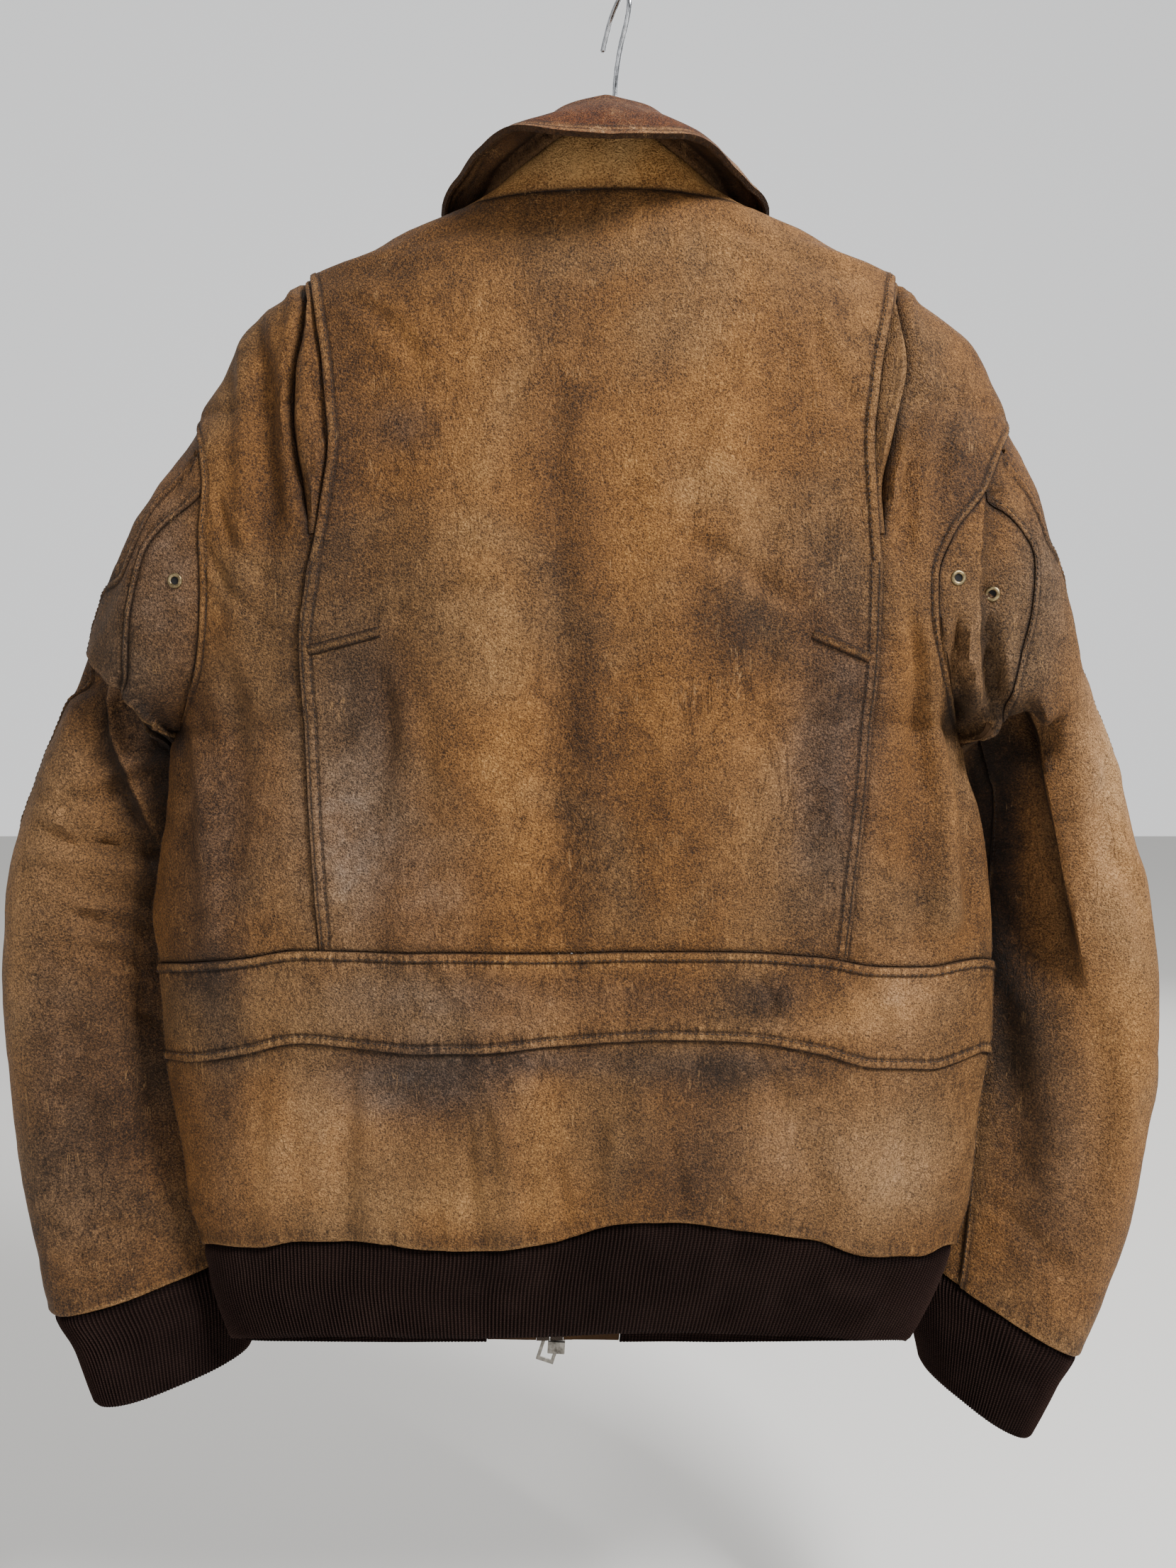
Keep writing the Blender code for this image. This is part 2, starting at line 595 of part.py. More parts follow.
# ---------------------------------------------------------------- solids
def make_object(name, verts, faces, material, parent):
    mesh = bpy.data.meshes.new(name)
    mesh.from_pydata([tuple(v) for v in verts], [], [tuple(f) for f in faces])
    mesh.update()
    obj = bpy.data.objects.new(name, mesh)
    bpy.context.scene.collection.objects.link(obj)
    mesh.materials.append(material)
    obj.parent = parent
    return obj


# How far a piece's outside stands proud of the skin, all over and along its own stitched lines.
PIECE_LIFT = {"back_belt": 1.0, "waistband": -0.8, "cuff": -0.8, "hem_tab": 0.4, "zip_tape": -0.6}
LINE_LIFT = {("back_centre", "edge"): 2.0, ("pleat", "edge"): -0.6, ("pleat", "fold"): 1.5,
             ("back_side", "edge"): -0.4, ("back_side", "fold"): -0.3}


def lift_of(name, line):
    """Outward lift of a piece at a point on a named line, or on none."""
    family = name.removesuffix("_left").removesuffix("_right")
    return LINE_LIFT.get((family, line), PIECE_LIFT.get(family, 0.0)) * MM


def wall_solid(name, skin, normals, wall, material, parent):
    """A closed wall on one piece's faces, drawn in by half the seam gap all round."""
    faces = skin.pieces[name]
    half_edges = set()
    for ring in faces:
        for i in range(len(ring)):
            half_edges.add((ring[i], ring[(i + 1) % len(ring)]))
    boundary = [(a, b) for a, b in half_edges if (b, a) not in half_edges]
    inward = {}
    for a, b in boundary:
        edge = skin.points[b] - skin.points[a]
        for end in (a, b):
            way = normals[end].cross(edge)
            way.normalize()
            inward.setdefault(end, []).append(way)
    used = sorted({i for ring in faces for i in ring})
    number = {old: new for new, old in enumerate(used)}
    outer = []
    inner = []
    for i in used:
        point = skin.points[i].copy()
        ways = inward.get(i, [])
        if ways:
            total = ways[0] + ways[-1] if len(ways) < 3 else sum(ways, Vector((0, 0, 0)))
            spread = max(0.45, 1 + ways[0].dot(ways[-1])) if len(ways) == 2 else 1.0
            point += total * (0.5 * SEAM_GAP / spread)
        lift = lift_of(name, skin.lines.get(i))
        outer.append(point + normals[i] * lift)
        inner.append(point + normals[i] * (lift - wall))
    count = len(used)
    solid = [[number[i] for i in ring] for ring in faces]
    solid += [[number[i] + count for i in reversed(ring)] for ring in faces]
    for a, b in sorted(boundary):
        first, last = number[a], number[b]
        if a < b:
            solid += [[last, first, last + count], [first, first + count, last + count]]
        else:
            solid += [[last, first, first + count], [last, first + count, last + count]]
    return make_object(name, outer + inner, solid, material, parent)


def tube(name, path, radii, sides, material, parent):
    """A round bar along a list of points, with a radius for each and flat ends."""
    points = [Vector(p) for p in path]
    verts = []
    frame_up = Vector((0, 1, 0))
    for i, point in enumerate(points):
        before = points[max(i - 1, 0)]
        after = points[min(i + 1, len(points) - 1)]
        tangent = (after - before).normalized()
        first = (frame_up - tangent * frame_up.dot(tangent)).normalized()
        second = tangent.cross(first)
        for k in range(sides):
            turn = 2 * math.pi * k / sides
            verts.append(point + (first * math.cos(turn) + second * math.sin(turn)) * radii[i])
    faces = []
    for i in range(len(points) - 1):
        for k in range(sides):
            a = i * sides + k
            b = i * sides + (k + 1) % sides
            faces.append((a, b, b + sides, a + sides))
    faces.append(tuple(reversed(range(sides))))
    last = (len(points) - 1) * sides
    faces.append(tuple(range(last, last + sides)))
    obj = make_object(name, verts, faces, material, parent)
    obj.data.shade_smooth()
    obj.data.set_sharp_from_angle(angle=math.radians(40))
    return obj


def make_material(name, colour, roughness, metallic):
    material = bpy.data.materials.new(name)
    material.use_nodes = True
    shader = material.node_tree.nodes["Principled BSDF"]
    shader.inputs["Base Color"].default_value = (*colour, 1.0)
    shader.inputs["Roughness"].default_value = roughness
    shader.inputs["Metallic"].default_value = metallic
    material.diffuse_color = (*colour, 1.0)
    return material


# ---------------------------------------------------------------- hanger and hook
# The hook's wire in its own plane: distance out from the stem, and height.
HOOK = table(
    "out  z",
    (0, -114.1),
    (0,    -90),
    (0,    -66),
    (2,    -53),
    (7,    -41),
    (14,   -31),
    (17,   -23),
    (15,   -16),
    (10, -13.5),
    (3,    -15),
    (-5,   -20),
    (-11,  -27),
    (-15,  -33),
)
STEM_X = 7            # the stem's place along the shoulders' line
# The hanger bar between the neck's sides, below its top at the stem.
HANGER_NECK = table(
    "x      z",
    (-80, -150),
    (-45, -136),
    (-15, -123),
    (7,   -119),
    (30,  -123),
    (52,  -136),
    (84,  -150),
)


def smooth_path(points, steps):
    """Catmull-Rom curve through a list of points."""
    ends = [2 * points[0] - points[1], *points, 2 * points[-1] - points[-2]]
    path = []
    for i in range(1, len(ends) - 2):
        a, b, c, d = ends[i - 1:i + 3]
        for k in range(steps):
            u = k / steps
            path.append(0.5 * (2 * b + (c - a) * u + (2 * a - 5 * b + 4 * c - d) * u * u
                               + (3 * b - a - 3 * c + d) * u**3))
    return [*path, points[-1]]


def build_hook(material, parent):
    turn = math.radians(HOOK_TURN)
    points = []
    for out, z in zip(HOOK["out"], HOOK["z"]):
        place = Vector((STEM_X + out * math.cos(turn), -out * math.sin(turn), z))
        points.append(place * MM + DATUM)
    path = smooth_path(points, 2)
    tube("hook", path, [0.5 * HOOK_WIRE] * len(path), 8, material, parent)


def build_hanger(skin, normals, ridge, material, parent):
    """A plain round hanger just under the shoulder ridges."""
    rows = [z for z in ROWS if -214 <= z <= -150]
    drop = LEATHER + REST_GAP + HANGER_RADIUS
    arms = {side: [skin.points[ridge[side][z]] - normals[ridge[side][z]] * drop for z in rows]
            for side in (-1, 1)}
    neck = [Vector((x, 0, z)) * MM + DATUM for x, z in zip(HANGER_NECK["x"], HANGER_NECK["z"])]
    path = [*reversed(arms[-1]), *neck, *arms[1]]
    for point in path:
        point.y = DATUM.y
    radii = [HANGER_RADIUS] * len(path)
    radii[0] = radii[-1] = 0.6 * HANGER_RADIUS
    tube("hanger", path, radii, 10, material, parent)


# ---------------------------------------------------------------- what lies on the cloth
def surface_tree(skin, normals, name):
    """The outside of one piece, with both diagonals of each cell, for laying small things on it."""
    faces = []
    for ring in skin.pieces[name]:
        faces += [[ring[0], ring[1], ring[2]], [ring[0], ring[2], ring[-1]]]
        faces += [[ring[0], ring[1], ring[-1]], [ring[1], ring[2], ring[-1]]]
    lifted = [p + n * lift_of(name, skin.lines.get(i))
              for i, (p, n) in enumerate(zip(skin.points, normals))]
    return BVHTree.FromPolygons(lifted, faces)


def cast(tree, x, z):
    """Where a line from behind the jacket, at a table's x and z, meets a piece."""
    start = Vector((x * MM, -0.5, z * MM)) + DATUM
    place, normal, _, _ = tree.ray_cast(start, Vector((0, 1, 0)))
    return place, normal if normal.y < 0 else -normal


# Welts at the feet of the pleats, lying on the centre back.
DARTS = table(
    "side  x_outer  z_outer  x_inner  z_inner",
    (-1,      -161,     -388,     -122,     -378),
    (1,        146,     -392,      114,     -379),
)
DART_WIDTH = 5.0
DART_WALL = 0.9 * MM
DART_STEPS = 6


def build_dart(tree, row, material, parent):
    side = DARTS["side"][row]
    start = Vector((DARTS["x_outer"][row], DARTS["z_outer"][row]))
    end = Vector((DARTS["x_inner"][row], DARTS["z_inner"][row]))
    across = Vector((-(end - start).y, (end - start).x)).normalized() * 0.5 * DART_WIDTH
    verts = []
    for layer in (REST_GAP + DART_WALL, REST_GAP):
        for i in range(DART_STEPS + 1):
            for way in (-1, 1):
                flat = start.lerp(end, i / DART_STEPS) + across * way
                place, _ = cast(tree, flat.x, flat.y)
                verts.append(place - Vector((0, layer, 0)))
    mesh = bmesh.new()
    for vert in verts:
        mesh.verts.new(vert)
    mesh.verts.ensure_lookup_table()
    count = 2 * (DART_STEPS + 1)
    ring = [0, *range(1, count, 2), *range(count - 2, 0, -2)]
    for i in range(0, count - 2, 2):
        mesh.faces.new([mesh.verts[k] for k in (i, i + 1, i + 3, i + 2)])
        mesh.faces.new([mesh.verts[k + count] for k in (i + 2, i + 3, i + 1, i)])
    for i, k in enumerate(ring):
        after = ring[(i + 1) % len(ring)]
        mesh.faces.new([mesh.verts[n] for n in (after, k, k + count, after + count)])
    bmesh.ops.recalc_face_normals(mesh, faces=mesh.faces)
    name = "dart_left" if side < 0 else "dart_right"
    data = bpy.data.meshes.new(name)
    mesh.to_mesh(data)
    mesh.free()
    obj = bpy.data.objects.new(name, data)
    bpy.context.scene.collection.objects.link(obj)
    data.materials.append(material)
    obj.parent = parent


# Vent eyelets in the gussets.
EYELETS = (("eyelet_left", "gusset_left", -236, -349),
           ("eyelet_right_a", "gusset_right", 194, -348),
           ("eyelet_right_b", "gusset_right", 213, -356))
EYELET_SIDES = 14
EYELET_REACH = 10 * MM      # how far out the leather under an eyelet is looked for


def build_eyelet(tree, name, x, z, material, parent):
    """A flanged ring seated on the leather, turned to face along it."""
    place, normal = cast(tree, x, z)
    turn = normal.to_track_quat("Z", "Y").to_matrix().to_4x4()
    frame = Matrix.Translation(place) @ turn
    highest = 0.0
    for i in range(3 * EYELET_SIDES):
        angle = 2 * math.pi * i / EYELET_SIDES
        radius = EYELET_RADIUS * (1, 0.8, 0.6)[i % 3]
        rim = frame @ Vector((radius * math.cos(angle), radius * math.sin(angle), 0))
        hit, _, _, distance = tree.ray_cast(rim + normal * EYELET_REACH, -normal)
        if hit is not None:
            highest = max(highest, EYELET_REACH - distance)
    base = highest + REST_GAP
    profile = ((EYELET_HOLE, 0.0), (EYELET_RADIUS, 0.0), (0.8 * EYELET_RADIUS, EYELET_HEIGHT),
               (EYELET_HOLE, 0.7 * EYELET_HEIGHT))
    verts = []
    for i in range(EYELET_SIDES):
        angle = 2 * math.pi * i / EYELET_SIDES
        for radius, height in profile:
            verts.append(frame @ Vector((radius * math.cos(angle), radius * math.sin(angle),
                                         base + height)))
    size = len(profile)
    faces = []
    for i in range(EYELET_SIDES):
        after = (i + 1) % EYELET_SIDES
        for k in range(size):
            nxt = (k + 1) % size
            faces.append((i * size + k, after * size + k, after * size + nxt, i * size + nxt))
    obj = make_object(name, verts, faces, material, parent)
    obj.data.shade_smooth()
    obj.data.set_sharp_from_angle(angle=math.radians(40))


# ---------------------------------------------------------------- zip hardware
SLIDER = Vector((9.0, 3.4, 13.0)) * MM       # width, depth and height of the slider's body
BOX = Vector((11.0, 4.6, 8.0)) * MM          # the retaining box at the zip's foot
EAR = Vector((1.2, 3.2, 4.0)) * MM           # each of the slider's two ears
PULL_AXIS_OUT = 1.7 * MM                     # pull's axis in front of the slider's body
PULL_BARREL = 1.2 * MM                       # radius of the pull's barrel
PULL_BARREL_LENGTH = 4.2 * MM
PULL_WALL = 1.5 * MM
PULL_TILT = math.radians(15)                 # the pull hangs towards the wearer's left
PULL_OUTLINE = table(
    "x     z_from_axis",
    (2.0,    -0.8),
    (2.0,   -10.0),
    (5.8,   -12.5),
    (5.8,   -27.5),
)
PULL_WINDOW = table(
    "x     z_from_axis",
    (0.8,    -3.0),
    (0.8,    -9.0),
    (3.7,   -14.5),
    (3.7,   -25.3),
)


def add_box(mesh, low, high):
    """A plain box between two corners, added to a bmesh."""
    made = bmesh.ops.create_cube(mesh, size=1.0)["verts"]
    for vert in made:
        vert.co = Vector([low[k] + (high[k] - low[k]) * (vert.co[k] + 0.5) for k in range(3)])
    return made


def finish_mesh(mesh, name, material, parent, frame):
    mesh.transform(frame)
    bmesh.ops.recalc_face_normals(mesh, faces=mesh.faces)
    data = bpy.data.meshes.new(name)
    mesh.to_mesh(data)
    mesh.free()
    obj = bpy.data.objects.new(name, data)
    bpy.context.scene.collection.objects.link(obj)
    data.materials.append(material)
    obj.parent = parent
    return obj


def union(obj, other):
    """Joins a second object into the first with an exact Boolean, applied."""
    modifier = obj.modifiers.new("union", "BOOLEAN")
    modifier.operation = "UNION"
    modifier.object = other
    graph = bpy.context.evaluated_depsgraph_get()
    joined = bpy.data.meshes.new_from_object(obj.evaluated_get(graph))
    obj.modifiers.clear()
    obj.data = joined
    bpy.data.objects.remove(other)


def build_zip(zip_edge, front, skin, material, parent):
    """Slider, retaining box and pull at the foot of the wearer's right-hand chain."""
    foot = ROWS[-1]
    corner = 0.5 * (skin.points[zip_edge[1][foot]] + skin.points[front[1][foot][0]])
    upper = 0.5 * (skin.points[zip_edge[1][ROWS[-2]]] + skin.points[front[1][ROWS[-2]][0]])
    up = (upper - corner).normalized()
    right = Vector((1, 0, 0))
    out = right.cross(up)
    out = out if out.y > 0 else -out
    right = out.cross(up)
    frame = Matrix((right, out, up)).transposed().to_4x4()
    frame.translation = corner

    mesh = bmesh.new()
    add_box(mesh, (-0.5 * BOX.x, -0.6 * BOX.y, -BOX.z - 0.4 * MM),
            (0.5 * BOX.x, 0.4 * BOX.y, -0.4 * MM))
    finish_mesh(mesh, "zip_box", material, parent, frame)

    base = 0.5 * MM
    bottom = 1.0 * MM
    middle = bottom + 0.62 * SLIDER.z
    mesh = bmesh.new()
    add_box(mesh, (-0.5 * SLIDER.x, base, bottom),
            (0.5 * SLIDER.x, base + SLIDER.y, bottom + SLIDER.z))
    body = finish_mesh(mesh, "zip_slider", material, parent, frame)
    axis_y = base + SLIDER.y + PULL_AXIS_OUT
    half = 0.5 * PULL_BARREL_LENGTH + 0.3 * MM
    tilt = Matrix.Translation((0, axis_y, middle)) @ Matrix.Rotation(PULL_TILT, 4, "Y")
    for way in (-1, 1):
        mesh = bmesh.new()
        inner, outer = sorted((way * half, way * (half + EAR.x)))
        add_box(mesh, (inner, -PULL_AXIS_OUT - 0.5 * MM, -0.5 * EAR.z),
                (outer, EAR.y - PULL_AXIS_OUT, 0.5 * EAR.z))
        union(body, finish_mesh(mesh, "ear", material, parent, frame @ tilt))
    return frame @ tilt


def build_pull(material, parent):
    """The pull: a barrel on the hinge's axis and a flat frame with a window."""
    tube_mesh = bmesh.new()
    bmesh.ops.create_cone(tube_mesh, cap_ends=True, segments=10, radius1=PULL_BARREL,
                          radius2=PULL_BARREL, depth=PULL_BARREL_LENGTH,
                          matrix=Matrix.Rotation(math.radians(90), 4, "Y"))
    obj = finish_mesh(tube_mesh, "zip_pull", material, parent, Matrix.Identity(4))
    outline = list(zip(PULL_OUTLINE["x"], PULL_OUTLINE["z_from_axis"]))
    window = list(zip(PULL_WINDOW["x"], PULL_WINDOW["z_from_axis"]))
    outline = [(x, z) for x, z in outline] + [(-x, z) for x, z in reversed(outline)]
    window = [(x, z) for x, z in window] + [(-x, z) for x, z in reversed(window)]
    mesh = bmesh.new()
    layers = []
    for y in (-0.5 * PULL_WALL, 0.5 * PULL_WALL):
        layers.append([[mesh.verts.new((x * MM, y, z * MM)) for x, z in loop]
                       for loop in (outline, window)])
    count = len(outline)
    for i in range(count):
        k = (i + 1) % count
        for outer, inner in layers:
            mesh.faces.new((outer[i], outer[k], inner[k], inner[i]))
        for loop in (0, 1):
            near, far = layers[0][loop], layers[1][loop]
            mesh.faces.new((near[i], near[k], far[k], far[i]))
    union(obj, finish_mesh(mesh, "frame", material, parent, Matrix.Identity(4)))


# ---------------------------------------------------------------- assembly
def main():
    for obj in list(bpy.data.objects):
        bpy.data.objects.remove(obj)

    leather = make_material("worn_leather", (0.21, 0.10, 0.035), 0.6, 0.0)
    collar_leather = make_material("collar_leather", (0.18, 0.07, 0.022), 0.55, 0.0)
    knit = make_material("ribbed_knit", (0.02, 0.011, 0.009), 0.95, 0.0)
    zip_metal = make_material("zip_metal", (0.16, 0.15, 0.14), 0.4, 1.0)
    brass = make_material("eyelet_brass", (0.32, 0.27, 0.17), 0.45, 1.0)
    chrome = make_material("hook_chrome", (0.7, 0.7, 0.72), 0.15, 1.0)
    wood = make_material("hanger_wood", (0.45, 0.30, 0.17), 0.5, 0.0)

    root = bpy.data.objects.new("jacket_frame", None)
    bpy.context.scene.collection.objects.link(root)

    skin = Skin()
    ridge, back, front, zip_edge = build_body(skin)
    cut_body(skin, back, front, zip_edge)
    for side in (-1, 1):
        build_sleeve(skin, side, back, front)
    build_collar(skin, back, front)
    normals = skin.normals()
    for name in sorted(skin.pieces):
        material, wall = leather, LEATHER
        if name.startswith(("waistband", "cuff")):
            material, wall = knit, KNIT
        if name.startswith("zip"):
            material, wall = zip_metal, ZIP_WALL
        if name == "collar_leaf":
            material, wall = collar_leather, COLLAR_LEATHER
        wall_solid(name, skin, normals, wall, material, root)

    centre = surface_tree(skin, normals, "back_centre")
    for row in range(len(DARTS["side"])):
        build_dart(centre, row, leather, root)
    for name, piece, x, z in EYELETS:
        build_eyelet(surface_tree(skin, normals, piece), name, x, z, brass, root)
    build_hook(chrome, root)
    build_hanger(skin, normals, ridge, wood, root)
    pull_frame = build_zip(zip_edge, front, skin, zip_metal, root)
    swing = bpy.data.objects.new("pull_axis", None)
    bpy.context.scene.collection.objects.link(swing)
    swing.matrix_world = pull_frame
    build_pull(zip_metal, swing)


main()
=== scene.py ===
"""Looks of the worn leather flight jacket: fine cloth shells, stitching, knit, zip and finishes.

Metres, +Z up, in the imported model's frame.  The back faces -Y and +X is the wearer's right.  The
cloth follows the same tables of sections as the solids, in millimetres from the tables' own datum,
and is cut from one welded skin of points, so that neighbouring pieces share their seams.
"""
import math

import bmesh
import bpy
import numpy as np
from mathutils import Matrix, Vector
from mathutils.bvhtree import BVHTree
from mathutils.kdtree import KDTree


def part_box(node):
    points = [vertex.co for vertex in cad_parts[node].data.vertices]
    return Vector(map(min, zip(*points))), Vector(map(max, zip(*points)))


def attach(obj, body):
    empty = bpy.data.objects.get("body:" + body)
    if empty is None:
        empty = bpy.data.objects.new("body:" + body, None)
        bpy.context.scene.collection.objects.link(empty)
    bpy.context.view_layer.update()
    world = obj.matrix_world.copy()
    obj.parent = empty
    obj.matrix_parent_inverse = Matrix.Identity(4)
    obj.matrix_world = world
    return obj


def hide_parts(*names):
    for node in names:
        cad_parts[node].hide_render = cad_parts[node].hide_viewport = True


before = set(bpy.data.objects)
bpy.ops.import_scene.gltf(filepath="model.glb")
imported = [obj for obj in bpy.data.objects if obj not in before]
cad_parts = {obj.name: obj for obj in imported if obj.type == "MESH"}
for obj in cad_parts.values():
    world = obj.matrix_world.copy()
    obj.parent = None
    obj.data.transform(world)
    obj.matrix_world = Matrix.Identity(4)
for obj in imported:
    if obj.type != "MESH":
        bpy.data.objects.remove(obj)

MM = 0.001
SIDES = ((-1, "left"), (1, "right"))

# ---------------------------------------------------------------- driving sizes
SEAM_GAP = 0.3 * MM          # between neighbouring sewn pieces
LEATHER = 1.5 * MM           # wall of one layer of leather
COLLAR_LEATHER = 2.6 * MM    # the collar leaf is two layers
KNIT = 2.4 * MM              # ribbed knit
ZIP_WALL = 1.2 * MM          # zip tape
ZIP_BAND = 8                 # mm of tape and chain that show beside each front edge
HOOK_WIRE = 3.0 * MM         # wire diameter
HOOK_TURN = 63.0             # the hook's plane, degrees round from the shoulders' line
HANGER_RADIUS = 5.0 * MM     # round hanger arm
REST_GAP = 0.4 * MM          # between the hanger and the cloth that rests on it
DATUM = np.array([-0.0115, 0.009, 0.015])   # from the tables' datum to the frame's origin
CELL = 3.2                   # mm between the points of the fine cloth


def table(header, *rows):
    """A short table: a header of column names and one row of millimetres for each section."""
    names = header.split()
    return {name: np.array([row[i] for row in rows], float) for i, name in enumerate(names)}


def placed(header, *blocks):
    """A table of rows that lie on one group of the skin and on one face: back -1, front 1."""
    rows = [(group, face, *row) for group, face, block in blocks for row in block]
    return table("group face " + header, *rows)


def look_up(data, name, key):
    """Smooth reading of one column at keys of the first column, with no overshoot."""
    keys = next(iter(data.values()))
    values = data[name]
    if keys[0] > keys[-1]:
        keys, values = keys[::-1], values[::-1]
    key = np.clip(np.asarray(key, float), keys[0], keys[-1])
    i = np.clip(np.searchsorted(keys, key) - 1, 0, len(keys) - 2)
    slopes = np.diff(values) / np.diff(keys)
    before = np.concatenate([slopes[:1], slopes])
    after = np.concatenate([slopes, slopes[-1:]])
    same_way = before * after > 0
    total = np.where(same_way, before + after, 1.0)
    tangents = np.where(same_way, 2 * before * after / total, 0.0)
    step = keys[i + 1] - keys[i]
    u = (key - keys[i]) / step
    return ((2 * u**3 - 3 * u**2 + 1) * values[i] + (u**3 - 2 * u**2 + u) * step * tangents[i]
            + (3 * u**2 - 2 * u**3) * values[i + 1] + (u**3 - u**2) * step * tangents[i + 1])


def smooth(value):
    """Smooth step from 0 to 1."""
    value = np.clip(value, 0.0, 1.0)
    return value * value * (3 - 2 * value)


def bell(value, middle, width):
    """A soft bell that is 1 at its middle."""
    return np.exp(-((value - middle) / width) ** 2)


def lengths_along(points):
    """Distance of each point from the first, along the line through them."""
    return np.concatenate([[0], np.cumsum(np.linalg.norm(np.diff(points, axis=0), axis=1))])


def grid_cells(ids):
    """The four corners of each cell of a grid of point numbers."""
    quads = np.stack([ids[:-1, :-1], ids[1:, :-1], ids[1:, 1:], ids[:-1, 1:]], axis=-1)
    return quads.reshape(-1, 4)


def row_at(rows, z):
    """The place of a height among falling rows."""
    return int(np.searchsorted(-rows, -z))


def curve_between(a, b, c, d, u):
    """Catmull-Rom curve from b (u = 0) to c (u = 1)."""
    return 0.5 * (2 * b + (c - a) * u + (2 * a - 5 * b + 4 * c - d) * u * u
                  + (3 * b - a - 3 * c + d) * u**3)


# ---------------------------------------------------------------- torso
# Sections of the hanging body: height at its sides, side edges, depth of back and front at their
# middle, and how much a section tips down towards the front.
BODY = table(
    "z left right back front tip",
    (-140, -90, 93, -50, 40, 0),
    (-152, -121, 123, -53, 46, 0),
    (-163, -142, 143, -55, 48, 0),
    (-172, -166, 166, -57, 50, 0),
    (-182, -178, 175, -58, 51, 0),
    (-196, -201, 196, -60, 52, 0),
    (-212, -213, 216, -61, 53, 0),
    (-230, -221, 226, -62, 54, 0),
    (-252, -234, 235, -62, 55, 0),
    (-275, -226, 222, -63, 56, 0),
    (-300, -222, 210, -64, 56, 0),
    (-325, -223, 191, -65, 56, 0),
    (-348, -222, 183, -65, 55, 0),
    (-370, -223, 184, -65, 54, 0.02),
    (-392, -227, 190, -64, 53, 0.04),
    (-412, -235, 197, -63, 52, 0.06),
    (-432, -247, 206, -62, 51, 0.08),
    (-455, -254, 213, -61, 50, 0.1),
    (-482, -258, 223, -60, 49, 0.14),
    (-512, -264, 228, -58, 48, 0.2),
    (-542, -267, 231, -57, 46, 0.27),
    (-570, -264, 232, -55, 45, 0.32),
    (-598, -262, 232, -54, 44, 0.35),
    (-626, -260, 231, -53, 43, 0.37),
    (-656, -256, 227, -51, 42, 0.4),
    (-686, -252, 224, -49, 40, 0.43),
    (-716, -249, 221, -46, 38, 0.46),
    (-742, -241, 213, -44, 36, 0.5),
    (-772, -235, 200, -43, 35, 0.52),
    (-802, -226, 186, -41, 34, 0.54),
)
ROWS = [int(z) for z in BODY["z"]]
PLEAT_TOP = -172      # row where the pleats start at the shoulder ridge
SHOULDER = -252       # row of the shoulder point, top of the armhole
ARMPIT = -432
BELT_TOP = -570
BELT_BOTTOM = -626
HEM = -742
FRONT_NECK = -212     # row of the neckline's lowest point

# Raised back edges of the action pleats, and the leaf-shaped inner fold beside each.
PLEATS = table(
    "z left_edge right_edge left_fold right_fold",
    (-172, -166, 166, -166, 166),
    (-182, -163, 163, -169, 168),
    (-196, -159, 159, -165, 163),
    (-212, -156, 155, -166, 164),
    (-230, -153, 151, -169, 166),
    (-252, -151, 148, -170, 163),
    (-275, -149, 146, -168, 157),
    (-300, -152, 147, -163, 151.5),
    (-325, -156, 149, -160, 153),
    (-348, -161, 151, -165, 155),
    (-392, -166, 151, -170, 155),
    (-432, -164, 149, -168, 153),
    (-482, -163, 145, -167, 149),
    (-570, -159, 137, -163, 141),
    (-802, -150, 128, -154, 132),
)
FOLD_END = -325       # row where the inner fold runs out under the raised edge

# The neckline of each front, from the shoulder down to the top of the zip line.
NECKLINE = table(
    "z left right",
    (-140, -90, 93),
    (-152, -84, 87),
    (-163, -76, 79),
    (-172, -68, 71),
    (-182, -59, 62),
    (-196, -41, 44),
    (-212, -7, 10),
)
ZIP_TOP_X = 1.5       # middle of the front opening at FRONT_NECK, millimetres
ZIP_FOOT_X = -33.0    # and at the foot of the waistband, where the jacket hangs askew
ZIP_SLIT = 1.0        # between the two chains

# Depth of the armhole's edge on the back and on the front of the body.
ARMHOLE = table(
    "z back_left front_left back_right front_right",
    (-252, 0, 0, 0, 0),
    (-275, -34, 30, -36, 30),
    (-300, -43, 38, -46, 38),
    (-325, -47, 41, -51, 41),
    (-348, -48, 42, -52, 42),
    (-370, -46, 40, -50, 40),
    (-392, -40, 35, -44, 35),
    (-412, -28, 25, -32, 25),
    (-432, 0, 0, 0, 0),
)

# The largest folds of the body: soft ridges (height > 0) and troughs, top to bottom.
BODY_FOLDS = table(
    "face x_top z_top x_end z_end width height",
    (-1, -120, -250, -135, -560, 26, -4),
    (-1, -85, -230, -90, -560, 24, 2.5),
    (-1, 105, -260, 100, -560, 26, -4),
    (-1, 60, -240, 62, -560, 26, 2.5),
    (-1, -20, -300, -24, -730, 22, -2),
    (-1, -200, -280, -205, -400, 12, 4),
    (-1, -186, -230, -195, -330, 10, -3.5),
    (-1, 176, -250, 168, -330, 10, -3.5),
    (-1, 190, -440, 196, -540, 14, 4),
    (-1, 172, -400, 176, -560, 12, -3),
    (-1, -222, -450, -228, -560, 16, 3),
    (-1, -60, -640, -56, -742, 10, 2.5),
    (-1, 20, -650, 16, -742, 12, 2.5),
    (-1, 120, -650, 116, -742, 12, -2),
    (-1, -150, -650, -150, -742, 12, -2),
    (1, -150, -280, -160, -700, 22, 4),
    (1, -100, -300, -105, -720, 20, -4),
    (1, 140, -280, 130, -700, 22, 4),
    (1, 85, -300, 75, -720, 20, -4),
)

